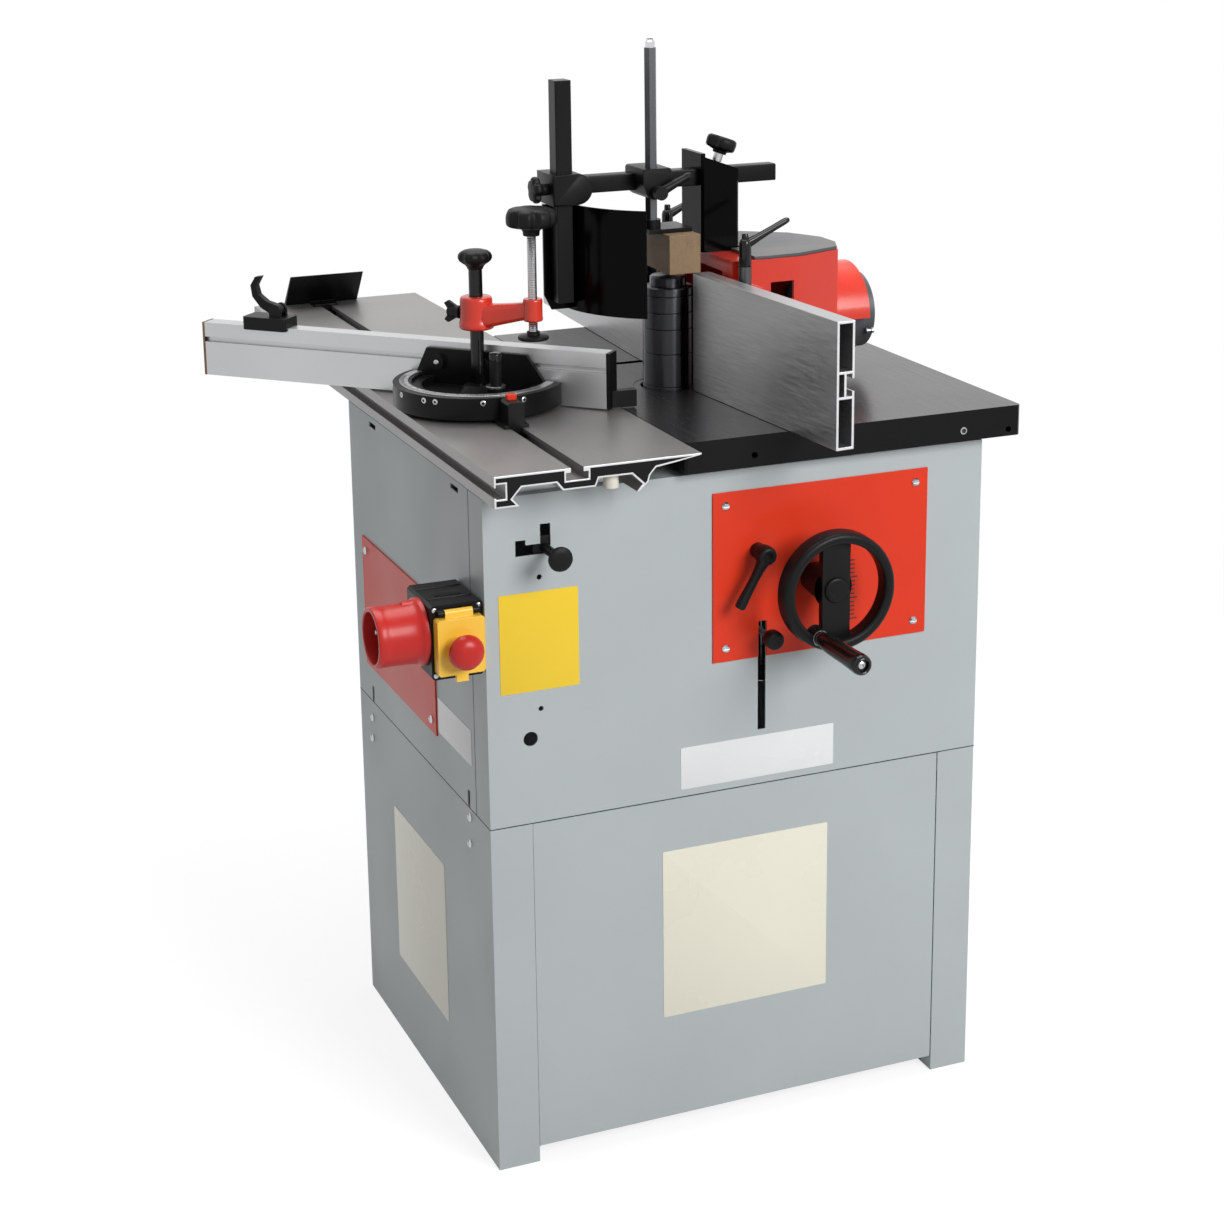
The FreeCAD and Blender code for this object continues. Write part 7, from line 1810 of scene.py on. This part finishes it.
@dataclass
class SwitchUnit(Assembly):
    """Switch box with flap, stop button and power inlet."""

    edge: float = 1.4
    box_x: Point2 = (-370.0, -310.0)
    box_z: Point2 = (609.0, 694.0)
    box_front: float = -247.0
    box_back: float = -165.0
    screw_inset: Point2 = (4.6, 5.0)
    rib_inset: Point2 = (24.0, 20.0)
    rib_halves: Point2 = (1.0, 0.6)
    rib_sink: float = 0.4
    rib_rise: float = 0.9
    rib_end: float = 5.0
    pad_x: Point2 = (16.0, 14.0)
    pad_y: Point2 = (30.0, 44.0)
    pad_corner: float = 2.0
    pad_rise: float = 0.7
    pad_edge: float = 0.3
    button: Point2 = (-340.0, 647.0)
    button_back: float = -254.0
    inlet_centre: Point2 = (-211.0, 655.0)
    inlet_start: float = -370.0
    inlet_length: float = 57.0
    key_reach: Point2 = (22.0, 4.0)
    key_halves: Point2 = (5.0, 3.4)
    key_rise: Point2 = (32.0, 37.0)
    key_corner: float = 1.4
    key_edge: float = 0.8
    pin_circle: float = 17.0
    pin_count: int = 5

    def build(self) -> None:
        """Dress the box and flap, and build the ribs, the button and the inlet."""
        self.shop.dress_all(
            ("switch_box", Skin.BLACK_PLASTIC_AND_VOID_SHADE, self.edge),
            ("switch_flap", Skin.YELLOW_PLASTIC, self.edge))
        self._box_details()
        self._button()
        self._inlet()

    def _box_details(self) -> None:
        """Build the corner screws and the raised ribs on the box."""
        screws = []
        for x in (self.box_x[0] + self.screw_inset[0], self.box_x[1] - self.screw_inset[0]):
            for z in (self.box_z[0] + self.screw_inset[1], self.box_z[1] - self.screw_inset[1]):
                profile = [(0.0, 0.4), (0.7, 0.4), (0.9, 1.3), (2.2, 1.1), (2.8, 0.5), (2.9, -0.5)]
                screw = lathe("box_screw", profile, (x, self.box_front, z), Axis.FRONT.value, steps=24)
                screws.append(self.shop.paint(screw, Skin.STEEL))
        self.shop.add(join("box_screws", screws), "cabinet", Skin.STEEL)
        ribs = []
        left, right = self.box_x
        low, high = (self.box_z[1] - self.rib_sink, self.box_z[1] + self.rib_rise)
        foot, crest = self.rib_halves
        for y in (self.box_front + self.rib_inset[0], self.box_back - self.rib_inset[1]):
            outline = [(y - foot, low), (y + foot, low), (y + crest, high), (y - crest, high)]
            ribs.append(extrude("box_rib", outline, left + self.rib_end, right - self.rib_end, Axis.X))
        along = tuple(self.box_front + inset for inset in self.pad_y)
        pad = rounded(rectangle((left + self.pad_x[0], right - self.pad_x[1]), along), self.pad_corner)
        ribs.append(extrude("box_pad", pad, low, self.box_z[1] + self.pad_rise, Axis.Z, self.pad_edge))
        self.shop.add(join("box_ribs", ribs), "cabinet", Skin.BLACK_PLASTIC_AND_VOID_SHADE)

    def _button(self) -> None:
        """Build the domed stop button."""
        base = (self.button[0], self.button_back, self.button[1])
        profile = [(0.0, 0.0), (10.0, 0.0), (10.0, 5.2), (8.0, 5.2), (8.0, 19.4), (12.0, 19.6), (17.6, 20.0),
                   (19.4, 20.8), (20.0, 22.4), (19.9, 24.4), (19.2, 26.8), (17.6, 29.4), (15.0, 31.8),
                   (11.6, 33.6), (7.4, 34.7), (3.0, 35.0), (0.0, 35.0)]
        dome = lathe("stop_dome", profile, base, Axis.FRONT.value, steps=96)
        self.shop.add(dome, "stop_knob", Skin.RED_PLASTIC, ["stop_button"])

    def _inlet(self) -> None:
        """Build the round power inlet with its keyway and pins."""
        y, z = self.inlet_centre
        base = (self.inlet_start, y, z)
        length = self.inlet_length
        profile = [(0.0, 0.0), (37.2, 0.0), (38.0, 0.8), (38.0, 5.4), (37.2, 6.6), (35.8, 8.4), (34.8, 11.0),
                   (34.2, 15.0), (33.9, 22.0), (33.6, 40.0), (33.6, 46.0), (34.0, 47.0), (34.0, 55.6),
                   (33.4, 56.6), (32.6, length), (30.0, length), (29.2, 56.4), (29.0, 55.0), (29.0, 19.0)]
        shell = self._turned(Skin.RED_PLASTIC, "inlet_shell", profile, base, Axis.LEFT.value, steps=96)
        profile = [(29.2, 19.0), (26.0, 19.2), (25.0, 20.6), (0.0, 20.6)]
        floor = self._turned(Skin.BLACK_PLASTIC_AND_VOID_SHADE, "inlet_floor", profile, base, Axis.LEFT.value, steps=64)
        foot, crest = self.key_halves
        low, high = (z + rise for rise in self.key_rise)
        rib = [(y - foot, low), (y + foot, low), (y + crest, high), (y - crest, high)]
        start, end = (self.inlet_start - reach for reach in self.key_reach)
        key = extrude("inlet_key", rounded(rib, self.key_corner), start, end, Axis.X, self.key_edge)
        self.shop.paint(key, Skin.RED_PLASTIC)
        pieces = [shell, floor, key]
        for number in range(self.pin_count):
            angle = 2 * math.pi * number / self.pin_count
            side = self.pin_circle * math.cos(angle)
            rise = self.pin_circle * math.sin(angle)
            spot = (self.inlet_start, y + side, z + rise)
            profile = [(3.2, 20.0), (3.2, 44.6), (2.8, 46.2), (1.6, 47.0), (0.0, 47.0)]
            pin = lathe("inlet_pin", profile, spot, Axis.LEFT.value, steps=24)
            pieces.append(self.shop.paint(pin, Skin.STEEL))
        self.shop.add(join("power_inlet", pieces), "cabinet", Skin.RED_PLASTIC, ["inlet"])


@dataclass(frozen=True)
class Lamp:
    """A soft square lamp.

    Attributes:
        name: Its name.
        spot: Where it hangs, in metres.
        target: What it points at.
        size: Side of its face in metres.
        power: Watts.
    """

    name: str
    spot: Point3
    target: Point3
    size: float
    power: float

    def hang(self) -> None:
        """Put the lamp in the scene."""
        data = bpy.data.lights.new(self.name, "AREA")
        data.shape = "SQUARE"
        data.size = self.size
        data.energy = self.power
        lamp = bpy.data.objects.new(self.name, data)
        lamp.location = self.spot
        lamp.rotation_euler = (Vector(self.target) - Vector(self.spot)).to_track_quat("-Z", "Y").to_euler()
        bpy.context.scene.collection.objects.link(lamp)


@dataclass
class Stage:
    """Pale floor, white surround, soft lamps and the camera."""

    floor_size: float = 16.0
    floor_glow: float = 0.8
    floor_grey: float = 0.3
    bounce_grey: float = 0.5
    soft_light: float = 0.25
    fade: Point2 = (0.9, 2.4)
    azimuth: float = -23.26971
    elevation: float = 14.90094
    roll: float = -0.43025
    place_of_camera: Point3 = (-1.12048, -2.62334, 1.5158)
    film: float = 36.0
    lens: float = 71.103
    shift: Point2 = (-0.0392, -0.1242)
    lamps: Tuple[Lamp, ...] = (Lamp("key_lamp", (1.4, -4.2, 2.9), (0.0, 0.0, 0.6), 2.2, 180.0),
                               Lamp("fill_lamp", (-3.9, -1.2, 2.3), (0.0, 0.0, 0.6), 2.6, 2.0),
                               Lamp("top_lamp", (0.2, 0.9, 4.0), (0.0, 0.0, 0.8), 2.6, 85.0))

    def build(self) -> None:
        """Make the floor, the surround, the lamps and the camera."""
        self._floor()
        self._surround()
        for lamp in self.lamps:
            lamp.hang()
        self._camera()
        bpy.context.scene.view_settings.view_transform = "Standard"

    def _floor(self) -> None:
        """Make the floor, which takes the shadow and is near white to the camera."""
        mesh = bmesh.new()
        bmesh.ops.create_grid(mesh, x_segments=2, y_segments=2, size=self.floor_size / 2)
        floor = to_object("floor", mesh)
        material = bpy.data.materials.new("pale_floor")
        material.use_nodes = True
        tree = material.node_tree
        tree.nodes.clear()
        output = tree.nodes.new("ShaderNodeOutputMaterial")
        matt = tree.nodes.new("ShaderNodeBsdfDiffuse")
        matt.inputs["Color"].default_value = (self.floor_grey, self.floor_grey, self.floor_grey, 1.0)
        glow = tree.nodes.new("ShaderNodeEmission")
        glow.inputs["Strength"].default_value = self.floor_glow
        both = tree.nodes.new("ShaderNodeAddShader")
        seen = tree.nodes.new("ShaderNodeMixShader")
        wire(tree, (glow.outputs[0], both.inputs[0]),
             (matt.outputs[0], both.inputs[1]))
        white = tree.nodes.new("ShaderNodeEmission")
        faded = tree.nodes.new("ShaderNodeMixShader")
        wire(tree, (self._distance(tree), faded.inputs[0]),
             (both.outputs[0], faded.inputs[1]),
             (white.outputs[0], faded.inputs[2]),
             (self._seen_ray(tree), seen.inputs[0]))
        plain = tree.nodes.new("ShaderNodeBsdfDiffuse")
        plain.inputs["Color"].default_value = (self.bounce_grey, self.bounce_grey, self.bounce_grey, 1.0)
        wire(tree, (plain.outputs[0], seen.inputs[1]),
             (faded.outputs[0], seen.inputs[2]),
             (seen.outputs[0], output.inputs["Surface"]))
        floor.data.materials.append(material)
        floor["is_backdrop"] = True

    def _distance(self, tree: Tree) -> Socket:
        """Mask that grows from zero at the machine to one far away on the floor.

        Args:
            tree: Node tree that the mask is made in.

        Returns:
            The mask socket.
        """
        coords = tree.nodes.new("ShaderNodeTexCoord")
        length = operator_node(tree, "ShaderNodeVectorMath", "LENGTH")
        ramp = ramp_node(tree, self.fade[0], self.fade[1])
        ramp.interpolation_type = "SMOOTHSTEP"
        wire(tree, (coords.outputs["Object"], length.inputs[0]),
             (length.outputs["Value"], ramp.inputs["Value"]))
        return ramp.outputs["Result"]

    @staticmethod
    def _seen_ray(tree: Tree) -> Socket:
        """Mask of rays that show the surround: camera, mirror and glass rays.

        Args:
            tree: Node tree that the mask is made in.

        Returns:
            The mask socket.
        """
        path = tree.nodes.new("ShaderNodeLightPath")
        first = operator_node(tree, "ShaderNodeMath", "MAXIMUM")
        wire(tree, (path.outputs["Is Camera Ray"], first.inputs[0]),
             (path.outputs["Is Glossy Ray"], first.inputs[1]))
        second = operator_node(tree, "ShaderNodeMath", "MAXIMUM")
        wire(tree, (first.outputs[0], second.inputs[0]),
             (path.outputs["Is Transmission Ray"], second.inputs[1]))
        return second.outputs[0]

    def _surround(self) -> None:
        """Make the world: white where it is seen, soft grey light elsewhere."""
        world = bpy.data.worlds.new("studio")
        bpy.context.scene.world = world
        world.use_nodes = True
        tree = world.node_tree
        tree.nodes.clear()
        output = tree.nodes.new("ShaderNodeOutputWorld")
        white = tree.nodes.new("ShaderNodeBackground")
        soft = tree.nodes.new("ShaderNodeBackground")
        for node, strength in ((white, 1.0), (soft, self.soft_light)):
            node.inputs["Strength"].default_value = strength
            node.inputs["Color"].default_value = (1.0, 1.0, 1.0, 1.0)
        mix = tree.nodes.new("ShaderNodeMixShader")
        wire(tree, (self._seen_ray(tree), mix.inputs[0]),
             (soft.outputs[0], mix.inputs[1]),
             (white.outputs[0], mix.inputs[2]),
             (mix.outputs[0], output.inputs["Surface"]))

    def _camera(self) -> None:
        """Set up the camera at the photograph's place and angle."""
        turn = math.radians(self.azimuth)
        tilt = math.radians(self.elevation)
        roll = math.radians(self.roll)
        back = Vector((math.sin(turn) * math.cos(tilt), -math.cos(turn) * math.cos(tilt), math.sin(tilt)))
        level = Vector((math.cos(turn), math.sin(turn), 0.0))
        rise = back.cross(level)
        right = level * math.cos(roll) + rise * math.sin(roll)
        up = rise * math.cos(roll) - level * math.sin(roll)
        data = bpy.data.cameras.new("camera")
        data.sensor_width = self.film
        data.lens = self.lens
        data.shift_x, data.shift_y = self.shift
        camera = bpy.data.objects.new("camera", data)
        matrix = Matrix((right, up, back)).transposed().to_4x4()
        matrix.translation = Vector(self.place_of_camera)
        camera.matrix_world = matrix
        bpy.context.scene.collection.objects.link(camera)
        bpy.context.scene.camera = camera


def main() -> None:
    """Build every sub-assembly, then the stage."""
    logging.basicConfig(level=logging.INFO, format="%(message)s")
    shop = Workshop()
    for unit in (Cabinet, TableUnit, SlidingTable, MitreGauge, FrontControls, FenceHood, Guard, SwitchUnit):
        unit(shop).build()
    Stage().build()


if __name__ == "__main__":
    main()
